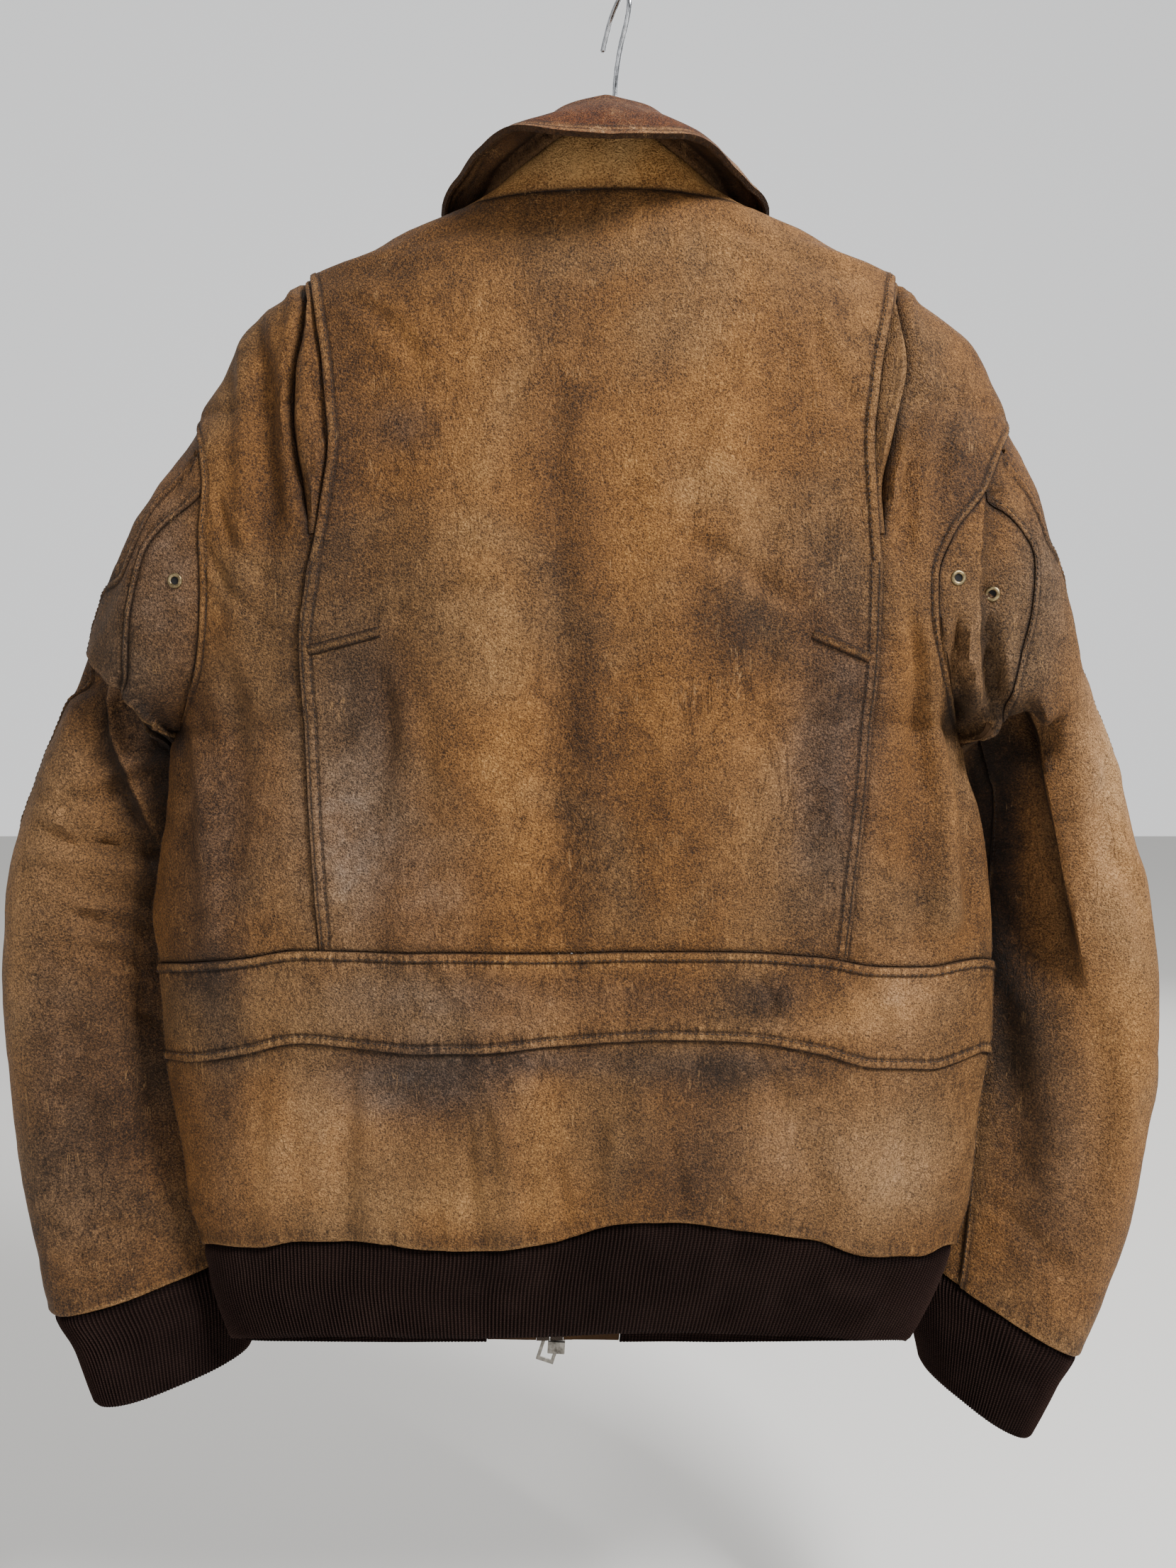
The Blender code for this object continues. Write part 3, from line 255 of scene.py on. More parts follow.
# How far the belt's two seams and the hem stand above their rows across the back.
SEAM_WAVES = table(
    "x belt_top belt_bottom hem",
    (-262, -2, -3, 0),
    (-235, -4, -7, -2),
    (-205, -3, -4, -5),
    (-172, 1, 2, -2),
    (-140, 0, -1, -2),
    (-100, -2, -5, -7),
    (-70, -2, -5, -8),
    (-30, -2, -1, -3),
    (10, -1, 2, 8),
    (40, -1, 3, 9),
    (80, -1, 2, 4),
    (120, -3, -4, -1),
    (155, -8, -12, -11),
    (187, -7, -12, -10),
    (205, -3, -7, -3),
    (222, 0, 0, 0),
)
WAVES_START = -490    # rows above this one are level


def front_edge(z, side):
    """x of a front's leather edge: the neckline, then the zip line, in millimetres."""
    down = (FRONT_NECK - z) / (FRONT_NECK - ROWS[-1])
    middle = ZIP_TOP_X + (ZIP_FOOT_X - ZIP_TOP_X) * down
    neck = look_up(NECKLINE, "left" if side < 0 else "right", z)
    return np.where(z > FRONT_NECK, neck, middle + side * (ZIP_BAND + 0.5 * ZIP_SLIT))


def wave_height(x, z):
    """Height of places on the back over their rows, in millimetres."""
    stops = [WAVES_START, BELT_TOP, BELT_BOTTOM, HEM, ROWS[-1]]
    hem = look_up(SEAM_WAVES, "hem", x)
    heights = [0 * hem, look_up(SEAM_WAVES, "belt_top", x), look_up(SEAM_WAVES, "belt_bottom", x),
               hem, 0.2 * hem]
    total = np.where(z <= stops[-1], heights[-1], 0.0)
    for i in range(len(stops) - 1):
        share = smooth((stops[i] - z) / (stops[i] - stops[i + 1]))
        height = heights[i] + (heights[i + 1] - heights[i]) * share
        total = np.where((z <= stops[i]) & (z > stops[i + 1]), height, total)
    return total


def fold_height(face, x, z):
    """Sum of the body's folds, in millimetres outwards."""
    total = np.zeros_like(x)
    for i in np.flatnonzero(BODY_FOLDS["face"] == face):
        top, end = BODY_FOLDS["z_top"][i], BODY_FOLDS["z_end"][i]
        u = (z - top) / (end - top)
        line = BODY_FOLDS["x_top"][i] * (1 - u) + BODY_FOLDS["x_end"][i] * u
        across = bell(x, line, BODY_FOLDS["width"][i])
        along = smooth((u + 0.2) / 0.4) * smooth((1.2 - u) / 0.3)
        total += BODY_FOLDS["height"][i] * across * along
    return total


def body_points(face, z, x):
    """Points of the body's back (face -1) or front (face 1), in millimetres."""
    z, x = np.broadcast_arrays(np.asarray(z, float), np.asarray(x, float))
    left, right = look_up(BODY, "left", z), look_up(BODY, "right", z)
    across = np.clip((x - 0.5 * (left + right)) / (0.5 * (right - left)), -1.0, 1.0)
    depth = look_up(BODY, "back" if face < 0 else "front", z)
    name = "back_" if face < 0 else "front_"
    edge = np.where(across < 0, look_up(ARMHOLE, name + "left", z),
                    look_up(ARMHOLE, name + "right", z))
    level = np.minimum(z - ARMPIT, SHOULDER - z) / (SHOULDER - ARMPIT)
    rise = (1 - np.abs(across) ** 2.6) ** (0.5 + 0.5 * smooth(4 * level))
    y = edge + (depth - edge) * rise + face * fold_height(face, x, z) * np.minimum(1.0, 3 * rise)
    lift = wave_height(x, z) if face < 0 else 0.0
    return np.stack([x, y, z - look_up(BODY, "tip", z) * y + lift], axis=-1)


# ---------------------------------------------------------------- sleeves
# Rings of each sleeve, from the armhole to the end of the cuff: its outer and inner (underarm)
# points, half its depth, the bulge of the underarm fold (minus below its lip, where the sleeve
# tucks in), and where its long lines lie in degrees from the outer point over the back: the middle
# of the cap, the back seam, the inner seam, the gusset's front edge and a line up the front.
SLEEVE_LEFT = table(
    "ring out_x out_z in_x in_z out_y in_y depth bulge cap back inner g_front front",
    (0, -234, -252, -247, -432, 0, 0, 45, 0, 0, 36, 58, 302, 320),
    (1, -257, -291, -250, -432, 0, 2, 43, 1, -2, 58, 90, 292, 312),
    (2, -274, -322, -253, -433, 1, 7, 42, 3, -12, 52, 94, 278, 302),
    (3, -288, -350, -254, -434, 2, 14, 41, 5, -24, 18, 93, 262, 290),
    (4, -301, -376, -254, -435, 2, 22, 40, 7, -36, 0, 88, 244, 278),
    (5, -306, -387, -254, -450, 2, 30, 38, -10, -40, -4, 134, 240, 274),
    (6, -323, -428, -254, -476, 0, 46, 37, -13, -48, -12, 136, 234, 266),
    (7, -342, -476, -253, -511, -1, 62, 36, -9, -54, -20, 132, 230, 260),
    (8, -355, -530, -244, -554, -2, 73, 36, -2, -58, -26, 130, 226, 256),
    (9, -359, -580, -239, -596, -2, 77, 36, 0, -60, -28, 130, 224, 254),
    (10, -356, -632, -236, -638, -3, 77, 36, 0, -60, -30, 128, 222, 252),
    (11, -350, -684, -233, -680, -5, 73, 35, 0, -60, -30, 127, 220, 250),
    (12, -341, -734, -230, -720, -8, 65, 33, 0, -60, -30, 126, 218, 250),
    (13, -329, -780, -227, -759, -12, 53, 31, 0, -60, -30, 125, 218, 250),
    (14, -315, -804, -224, -784, -12, 45, 27, 0, -60, -30, 125, 218, 250),
    (15, -305, -836, -225, -822, -12, 38, 25, 0, -60, -30, 125, 218, 250),
)
SLEEVE_RIGHT = table(
    "ring out_x out_z in_x in_z out_y in_y depth bulge cap back inner g_front front",
    (0, 235, -252, 206, -432, 0, 0, 45, 0, 0, 36, 55, 302, 320),
    (1, 252, -295, 210, -433, 0, 2, 44, 3, -2, 54, 95, 292, 312),
    (2, 265, -335, 212, -435, 1, 7, 43, 7, -16, 14, 118, 278, 302),
    (3, 277, -372, 213, -436, 2, 14, 42, 11, -28, 0, 116, 262, 290),
    (4, 289, -406, 214, -438, 2, 22, 41, 15, -40, -8, 108, 244, 278),
    (5, 293, -416, 216, -452, 2, 30, 38, -12, -44, -12, 128, 240, 274),
    (6, 305, -448, 219, -480, 0, 46, 37, -18, -50, -18, 118, 234, 266),
    (7, 316, -493, 220, -517, -1, 63, 36, -16, -54, -24, 112, 230, 260),
    (8, 327, -540, 217, -560, -2, 76, 36, -11, -58, -26, 108, 226, 256),
    (9, 333, -588, 212, -602, -2, 80, 36, -6, -60, -28, 105, 224, 254),
    (10, 333, -636, 208, -645, -3, 80, 36, -3, -60, -30, 104, 222, 252),
    (11, 326, -684, 203, -688, -5, 76, 35, 0, -60, -30, 102, 220, 250),
    (12, 313, -740, 197, -724, -8, 68, 33, 0, -60, -30, 100, 218, 250),
    (13, 285, -806, 194, -758, -12, 56, 31, 0, -60, -30, 97, 218, 250),
    (14, 273, -824, 199, -788, -12, 48, 27, 0, -60, -30, 97, 218, 250),
    (15, 257, -858, 208, -836, -12, 42, 24, 0, -60, -30, 97, 218, 250),
)
ROUNDNESS = 2.3       # superellipse power of a sleeve's ring
LIP_RING = 4
BULGE_MIDDLE = 126    # degrees round a ring to the middle of the underarm fold
BULGE_WIDTH = 44
CUFF_RING = 13
BACK_SEAM_Z = -275    # armhole rows where the sleeve's back seam and inner seam start
INNER_SEAM_Z = -300
ANGLE_LINES = [0, 1, 2, 8, 12, 13, 16]    # sleeve lines whose angles the tables give


def line_angle(data, ring, line, start):
    """Angle of whole sleeve lines on rings, in degrees, from their angle at the armhole."""
    cap = look_up(data, "cap", ring)
    angles = [cap, look_up(data, "back", ring), look_up(data, "inner", ring), 180.0 + 0 * cap,
              look_up(data, "g_front", ring), look_up(data, "front", ring), 360.0 + cap]
    regular = 0 * ring
    for i in range(len(ANGLE_LINES) - 1):
        first, last = ANGLE_LINES[i], ANGLE_LINES[i + 1]
        share = (line - first) / (last - first)
        inside = (line >= first) & (line <= last)
        regular = np.where(inside, angles[i] + (angles[i + 1] - angles[i]) * share, regular)
    return regular + (start - regular) * smooth(1 - ring / 3)


def sleeve_points(data, ring, angle):
    """Points of a sleeve at angles (degrees) around rings, in millimetres."""
    outer = np.stack([look_up(data, "out_" + axis, ring) for axis in "xyz"], axis=-1)
    inner = np.stack([look_up(data, "in_" + axis, ring) for axis in "xyz"], axis=-1)
    centre = 0.5 * (outer + inner)
    reach = 0.5 * (outer - inner)
    long_axis = reach / np.linalg.norm(reach, axis=-1, keepdims=True)
    back = np.array([0.0, -1.0, 0.0]) + long_axis[..., 1:2] * long_axis
    back /= np.linalg.norm(back, axis=-1, keepdims=True)
    turn = np.radians(angle)
    power = 2 / ROUNDNESS
    along = np.sign(np.cos(turn)) * np.abs(np.cos(turn)) ** power
    across = np.sign(np.sin(turn)) * np.abs(np.sin(turn)) ** power
    swell = look_up(data, "bulge", ring) * bell(angle, BULGE_MIDDLE, BULGE_WIDTH)
    out = look_up(data, "depth", ring) * across + swell
    return centre + reach * along[..., None] + back * out[..., None]


# ---------------------------------------------------------------- collar
# Cross-sections of the collar, from the centre back (0) past the shoulder (0.5) to the front end
# (1).  Each is out from and up over the neck seam: stand, crest and leaf edge, and the leaf's
# sideways spread.
COLLAR = table(
    "t stand_out stand_up crest_out crest_up leaf_out leaf_up spread",
    (0, 0, 34, 2, 45, 38, 8, 0),
    (0.08, -2, 31, 0, 41, 37, 10, 0),
    (0.16, -6, 22, -4, 30, 29, 15, 0),
    (0.25, -12, 14, -11, 21, 12, 13, 0),
    (0.35, -18, 9, -18, 14, 1, 11, 0),
    (0.45, -20, 8, -20, 13, 2, 5, 0),
    (0.56, -14, 10, -13, 16, 4, 2, 0),
    (0.66, -8, 13, -6, 20, 14, -6, 4),
    (0.8, -2, 16, 0, 23, 18, -20, 14),
    (0.92, 0, 18, 3, 25, 16, -28, 26),
    (1, 1, 18, 4, 25, 13, -36, 40),
)
COLLAR_LEAN = 5       # the leaf stands higher on the wearer's left of the centre back
CREST_WIDTH = 7       # the collar's thickness over its crest, millimetres
LEAF_START = 2        # section point where the leaf begins
COLLAR_STEPS = (6, 6, 6, 5, 6, 7)     # cells between the section's points, up to the lap


def collar_sections(t, base, outward, side):
    """The eight points across the collar at places of the neck seam, in millimetres."""
    read = {name: look_up(COLLAR, name, t)[:, None] for name in COLLAR}
    up = np.array([[0.0, 0.0, 1.0]])
    stand = base + outward * read["stand_out"] + up * read["stand_up"]
    middle_stand = base + outward * (0.5 * read["stand_out"] + 1) + up * 0.45 * read["stand_up"]
    crest = base + outward * read["crest_out"] + up * read["crest_up"]
    turn = crest + outward * CREST_WIDTH - up * 0.11 * read["crest_up"]
    lean = -side * COLLAR_LEAN * bell(read["t"], 0.25, 0.13)
    edge = base + outward * read["leaf_out"] + up * (read["leaf_up"] + lean)
    edge = edge + side * read["spread"] * np.array([[1.0, 0.0, 0.0]])
    middle = 0.5 * (turn + edge) + outward * 2 + up * 2
    lap = 0.25 * middle + 0.75 * edge
    return np.stack([base, middle_stand, stand, crest, turn, middle, lap, edge], axis=1)


# ---------------------------------------------------------------- the shared skin
WELD = 0.01 * MM      # points closer than this are one
LAP_STEPS = np.array([0.8, 2.0, 3.2, 4.4, 5.3, 6.0, 6.8, 8.0])   # mm from a sewn edge


def split_cells(quads):
    """Whole cells, and the triangles left where two corners of a cell are in one place."""
    same = quads == np.roll(quads, 1, axis=1)
    doubles = same.sum(axis=1)
    triangles = quads[doubles == 1][~same[doubles == 1]].reshape(-1, 3)
    return quads[doubles == 0], triangles


def surface_normals(points, cells):
    """Averaged normals of points that whole cells and triangles share."""
    total = np.zeros_like(points)
    for faces in cells:
        if len(faces) == 0:
            continue
        one = points[faces[:, 2]] - points[faces[:, 0]]
        other = points[faces[:, -1]] - points[faces[:, 1]]
        normal = np.cross(one, other)
        normal /= np.maximum(np.linalg.norm(normal, axis=1, keepdims=True), 1e-15)
        for k in range(faces.shape[1]):
            np.add.at(total, faces[:, k], normal)
    return total / np.maximum(np.linalg.norm(total, axis=1, keepdims=True), 1e-15)


class Skin:
    """Points of the garment in rows and columns, and the cells that each sewn piece takes."""

    def __init__(self):
        self.blocks = []
        self.groups = []
        self.count = 0
        self.cells = {}
        self.lines = {}

    def add(self, points, group):
        """Adds a grid of table points.  Returns the grid of their numbers."""
        shape = points.shape[:-1]
        size = int(np.prod(shape))
        ids = np.arange(self.count, self.count + size).reshape(shape)
        self.blocks.append(points.reshape(-1, 3) * MM + DATUM)
        self.groups.append(np.full(size, group))
        self.count += size
        return ids

    def cut(self, piece, ids, flip=False):
        """Gives a grid's cells to a piece.  The outside is to the left of down, then across."""
        quads = grid_cells(ids)
        self.cells.setdefault(piece, []).append(quads[:, ::-1] if flip else quads)

    def weld(self):
        """Makes one point of those in the same place, and works out the normals."""
        points = np.concatenate(self.blocks)
        keys = np.round(points / WELD).astype(np.int64)
        _, first, new = np.unique(keys, axis=0, return_index=True, return_inverse=True)
        new = new.ravel()
        self.points = points[first]
        self.group = np.concatenate(self.groups)[first]
        self.cells = {piece: split_cells(new[np.concatenate(quads)])
                      for piece, quads in self.cells.items()}
        self.lines = {name: new[ids] for name, ids in self.lines.items()}
        self.refresh()

    def refresh(self):
        """Works out the normals from the points."""
        parts = [faces for cells in self.cells.values() for faces in cells]
        quads = np.concatenate([faces for faces in parts if faces.shape[1] == 4])
        triangles = np.concatenate([faces for faces in parts if faces.shape[1] == 3])
        self.normals = surface_normals(self.points, (quads, triangles))


def fine_rows():
    """Heights of the fine rows, from the top down, with every table row among them."""
    marks = set(float(z) for z in ROWS)
    for upper, lower in zip(ROWS[:-1], ROWS[1:]):
        count = max(1, round((upper - lower) / CELL))
        marks.update(np.round(np.linspace(upper, lower, count + 1), 3))
    for seam in (BELT_TOP, BELT_BOTTOM, HEM):
        marks = {z for z in marks if z == seam or abs(z - seam) > LAP_STEPS[-1]}
        marks.update(seam + LAP_STEPS)
        marks.update(seam - LAP_STEPS)
    near = BACK_SEAM_Z + LAP_STEPS[:5]
    marks = {z for z in marks if z == BACK_SEAM_Z or not 0 < z - BACK_SEAM_Z < LAP_STEPS[5]}
    marks.update(near)
    return np.array(sorted(marks, reverse=True))


def edge_columns(left, right):
    """x of columns between two sewn edges, close together beside them; one row for each height."""
    left, right = left[:, None], right[:, None]
    inner_left, inner_right = left + LAP_STEPS[-1], right - LAP_STEPS[-1]
    count = round(float(np.max(inner_right - inner_left)) / CELL)
    share = np.linspace(0, 1, count + 1)[None, :]
    return np.hstack([left, left + LAP_STEPS[None, :-1], inner_left + (inner_right - inner_left)
                      * share, right - LAP_STEPS[None, -2::-1], right])


def build_body(skin, rows):
    """Back, fronts and zip tapes.  Returns the armhole edges' points by side and face."""
    pleat_row, fold_row, belt, foot, hem, shoulder, armpit, neck = (row_at(rows, z) for z in (
        PLEAT_TOP, FOLD_END, BELT_TOP, BELT_BOTTOM, HEM, SHOULDER, ARMPIT, FRONT_NECK))
    top = rows >= PLEAT_TOP
    left = np.where(top, look_up(BODY, "left", rows), look_up(PLEATS, "left_edge", rows))
    right = np.where(top, look_up(BODY, "right", rows), look_up(PLEATS, "right_edge", rows))
    centre_x = edge_columns(left, right)
    centre = skin.add(body_points(-1, rows[:, None], centre_x), 0)
    armhole = {}
    wings = {}
    inner_share = np.linspace(0, 1, 7)[None, :]
    side_share = 1 - (1 - np.linspace(0, 1, 27)[None, 1:]) ** 2
    for side, name in SIDES:
        edge = look_up(BODY, name, rows)[:, None]
        pleat = (left if side < 0 else right)[:, None]
        fold = np.where(top[:, None], edge, look_up(PLEATS, name + "_fold", rows)[:, None])
        x = np.hstack([pleat + (fold - pleat) * inner_share, fold + (edge - fold) * side_share])
        wings[side] = skin.add(body_points(-1, rows[:, None], x), 0)
        fold_column = inner_share.size - 1
        flip = side < 0
        folded = wings[side][pleat_row:fold_row + 1]
        skin.cut("pleat_" + name, folded[:, :fold_column + 1], flip)
        skin.cut("back_side_" + name, folded[:, fold_column:], flip)
        skin.cut("back_side_" + name, wings[side][fold_row:belt + 1], flip)
        skin.lines["pleat_" + name] = wings[side][pleat_row:belt + 1, 0]
        skin.lines["fold_" + name] = folded[:, fold_column]
        skin.lines["ridge_" + name] = wings[side][:shoulder + 1, -1]
    skin.cut("back_centre", centre[:belt + 1])
    whole = np.hstack([wings[-1][:, :0:-1], centre, wings[1][:, 1:]])
    skin.cut("back_belt", whole[belt:foot + 1])
    skin.cut("back_lower", whole[foot:hem + 1])
    skin.lines["belt_top"] = whole[belt]
    skin.lines["belt_bottom"] = whole[foot]
    skin.lines["hem_back"] = whole[hem]
    skin.lines["neck_back"] = centre[0]

    tab = int(np.searchsorted(FRONT_STEPS, TAB_SHARE))
    for side, name in SIDES:
        inner = front_edge(rows, side)[:, None]
        edge = look_up(BODY, name, rows)[:, None]
        x = inner + (edge - inner) * FRONT_STEPS[None, :]
        front = skin.add(body_points(1, rows[:, None], x), 0)
        flip = side > 0
        skin.cut("front_" + name, front[:hem + 1], flip)
        skin.cut("hem_tab_" + name, front[hem:, :tab + 1], flip)
        band = ZIP_BAND * np.linspace(0, 1, 5)[None, :]
        tape_x = inner[neck:] - side * ZIP_BAND + side * band
        tape = skin.add(body_points(1, rows[neck:, None], tape_x), 0)
        skin.cut("zip_tape_" + name, tape, flip)
        skin.lines["zip_" + name] = front[neck:, 0]
        skin.lines["chain_" + name] = tape[:, 0]
        skin.lines["neck_front_" + name] = front[:neck + 1, 0]
        skin.lines["hem_front_" + name] = front[hem]
        skin.lines["side_" + name] = wings[side][armpit:hem + 1, -1]
        armhole[side] = (wings[side][shoulder:armpit + 1, -1], front[shoulder:armpit + 1, -1])
        skin.lines["armhole_" + name] = np.concatenate([armhole[side][0], armhole[side][1][::-1]])
    return armhole


TAB_SHARE = 0.17      # of the front's width, the leather tab beside the zip in the knit
FRONT_STEPS = np.unique(np.round(np.concatenate([
    np.linspace(0, 0.06, 8), np.linspace(0.06, TAB_SHARE, 6),
    TAB_SHARE + (1 - TAB_SHARE) * (1 - (1 - np.linspace(0, 1, 44)) ** 1.6)]), 5))
FAN_SHARE = 0.9       # share of the sleeve's back strip that starts at one armhole point
FAN_STEPS = np.concatenate([[0.006, 0.014, 0.022, 0.03, 0.036, 0.042, 0.05],
                            np.linspace(0.06, FAN_SHARE, 34)])


def sleeve_lines(rows):
    """Long lines of a sleeve: armhole height, face, whole line before it, and share after it."""
    back = rows[(rows <= SHOULDER) & (rows >= ARMPIT)]
    lines = []
    table_rows = [z for z in ROWS if ARMPIT <= z <= SHOULDER]
    for z in back:
        line = float(np.interp(-z, [-row for row in table_rows], range(len(table_rows))))
        if BACK_SEAM_Z > z > INNER_SEAM_Z:
            share = FAN_SHARE + (1 - FAN_SHARE) * (line - 1)
            lines.append((z, -1, 1, share))
        else:
            lines.append((z, -1, line, 0.0))
        if z == BACK_SEAM_Z:
            lines += [(z, -1, 1, share) for share in FAN_STEPS]
    for z in back[::-1][1:-1]:
        line = 16 - float(np.interp(-z, [-row for row in table_rows], range(len(table_rows))))
        lines.append((z, 1, line, 0.0))
    return lines


def build_sleeve(skin, side, rows, armhole):
    """One leather sleeve with its gusset."""
    data = SLEEVE_LEFT if side < 0 else SLEEVE_RIGHT
    name = "left" if side < 0 else "right"
    lines = sleeve_lines(rows)
    z, face, whole, share = np.array(lines, float).T
    half = 0.5 * (SHOULDER - ARMPIT)

    def start_angle(height, way):
        turn = np.degrees(np.arccos(np.clip((height - ARMPIT - half) / half, -1, 1)))
        return np.where(way < 0, turn, 360 - turn)

    near = np.array([0.02, 0.045, 0.08, 0.115, 0.15, 0.19])
    rings = np.concatenate([[0.0], near, np.arange(0.25, LIP_RING - 0.15, 0.1),
                            LIP_RING - near[::-1], [LIP_RING],
                            LIP_RING + np.arange(0.1, CUFF_RING - LIP_RING - 0.2, 0.1),
                            CUFF_RING - near[::-1], [CUFF_RING]])[:, None]
    first = line_angle(data, rings, whole[None, :], start_angle(z, face)[None, :])
    one = line_angle(data, rings, 1 + 0 * whole[None, :], start_angle(BACK_SEAM_Z, -1))
    two = line_angle(data, rings, 2 + 0 * whole[None, :], start_angle(INNER_SEAM_Z, -1))
    angle = np.where(share > 0, one + (two - one) * share, first)
    points = sleeve_points(data, rings + 0 * angle, angle)
    back_ids, front_ids = armhole[side]
    blocks = np.concatenate(skin.blocks)
    heights = rows[(rows <= SHOULDER) & (rows >= ARMPIT)]
    order = {height: i for i, height in enumerate(heights)}
    edge_ids = np.array([(back_ids if f < 0 else front_ids)[order[h]] for h, f in zip(z, face)])
    edge = (blocks[edge_ids] - DATUM) / MM
    points = points + (edge - points[0])[None, :, :] * (1 - smooth(rings))[:, :, None]
    ids = skin.add(points, 1 if side < 0 else 2)
    ids = np.hstack([ids, ids[:, :1]])
    flip = side > 0
    lip = int(np.searchsorted(rings[:, 0], LIP_RING))
    back_seam = int(np.flatnonzero((whole == 1) & (share == 0))[0])
    inner_seam = int(np.flatnonzero(whole == 2)[0])
    gusset_end = int(np.flatnonzero(whole == 12)[0])
    skin.cut("sleeve_upper_" + name, ids[:, back_seam:inner_seam + 1], flip)
    skin.cut("gusset_" + name, ids[:lip + 1, inner_seam:gusset_end + 1], flip)
    skin.cut("sleeve_under_" + name, ids[:, :back_seam + 1], flip)
    skin.cut("sleeve_under_" + name, ids[lip:, inner_seam:gusset_end + 1], flip)
    skin.cut("sleeve_under_" + name, ids[:, gusset_end:], flip)
    skin.lines["back_seam_" + name] = ids[:, back_seam]
    skin.lines["inner_seam_" + name] = ids[:, inner_seam]
    skin.lines["gusset_front_" + name] = ids[:lip + 1, gusset_end]
    skin.lines["lip_" + name] = ids[lip, inner_seam:gusset_end + 1]
    skin.lines["cuff_" + name] = ids[-1]


def build_collar(skin):
    """Stand and leaf around the neck seam."""
    points = np.concatenate(skin.blocks)
    base_ids = np.concatenate([skin.lines["neck_front_left"][::-1][:-1],
                               skin.lines["neck_back"], skin.lines["neck_front_right"][1:]])
    places = (points[base_ids] - DATUM) / MM
    lengths = lengths_along(places)
    middle = 0.5 * lengths[-1]
    side = np.where(lengths < middle, -1.0, 1.0)[:, None]
    t = np.abs(lengths - middle) / middle
    axis = np.array([[1.5, 0.0, 0.0]])
    outward = (places - axis) * np.array([[0.55, 1.6, 0.0]])
    outward /= np.linalg.norm(outward, axis=1, keepdims=True)
    sections = collar_sections(t, places, outward, side)
    columns = [sections[:, 0]]
    for k, count in enumerate(COLLAR_STEPS):
        a = sections[:, max(k - 1, 0)]
        b, c = sections[:, k], sections[:, k + 1]
        d = sections[:, min(k + 2, 7)]
        for step in range(1, count + 1):
            columns.append(curve_between(a, b, c, d, step / count))
    lap, edge = sections[:, 6], sections[:, 7]
    width = np.maximum(np.linalg.norm(edge - lap, axis=1, keepdims=True), 1e-6)
    for step in LAP_STEPS[-2::-1]:
        columns.append(edge + (lap - edge) * np.minimum(1, step / np.maximum(width, LAP_STEPS[-1])))
    columns.append(edge)
    grid = np.stack(columns, axis=1)
    ids = skin.add(grid, 3)
    crest = sum(COLLAR_STEPS[:LEAF_START])
    skin.cut("collar_stand", ids[:, :crest + 1])
    skin.cut("collar_leaf", ids[:, crest:])
    skin.lines["neck"] = ids[:, 0]
    skin.lines["stand_top"] = ids[:, crest]
    skin.lines["leaf_edge"] = np.concatenate([ids[0, crest:-1], ids[:, -1], ids[-1, crest:-1][::-1]])


# ---------------------------------------------------------------- folds and wear
def soft_noise(points, size, seed):
    """Smooth noise from -1 to 1, in lumps of a given size in metres."""
    place = points / size
    cell = np.floor(place).astype(np.int64)
    u = place - cell
    u = u * u * (3 - 2 * u)
    total = np.zeros(len(points))
    for corner in range(8):
        bits = np.array([corner & 1, corner >> 1 & 1, corner >> 2 & 1])
        key = (cell + bits) @ np.array([73856093, 19349663, 83492791]) + seed * 2654435761
        key = (key ^ (key >> 13)) * 1274126177
        key = (key ^ (key >> 16)) & 0xFFFFFF
        weight = np.prod(np.where(bits == 1, u, 1 - u), axis=1)
        total += weight * (key / 0x7FFFFF - 1.0)
    return total
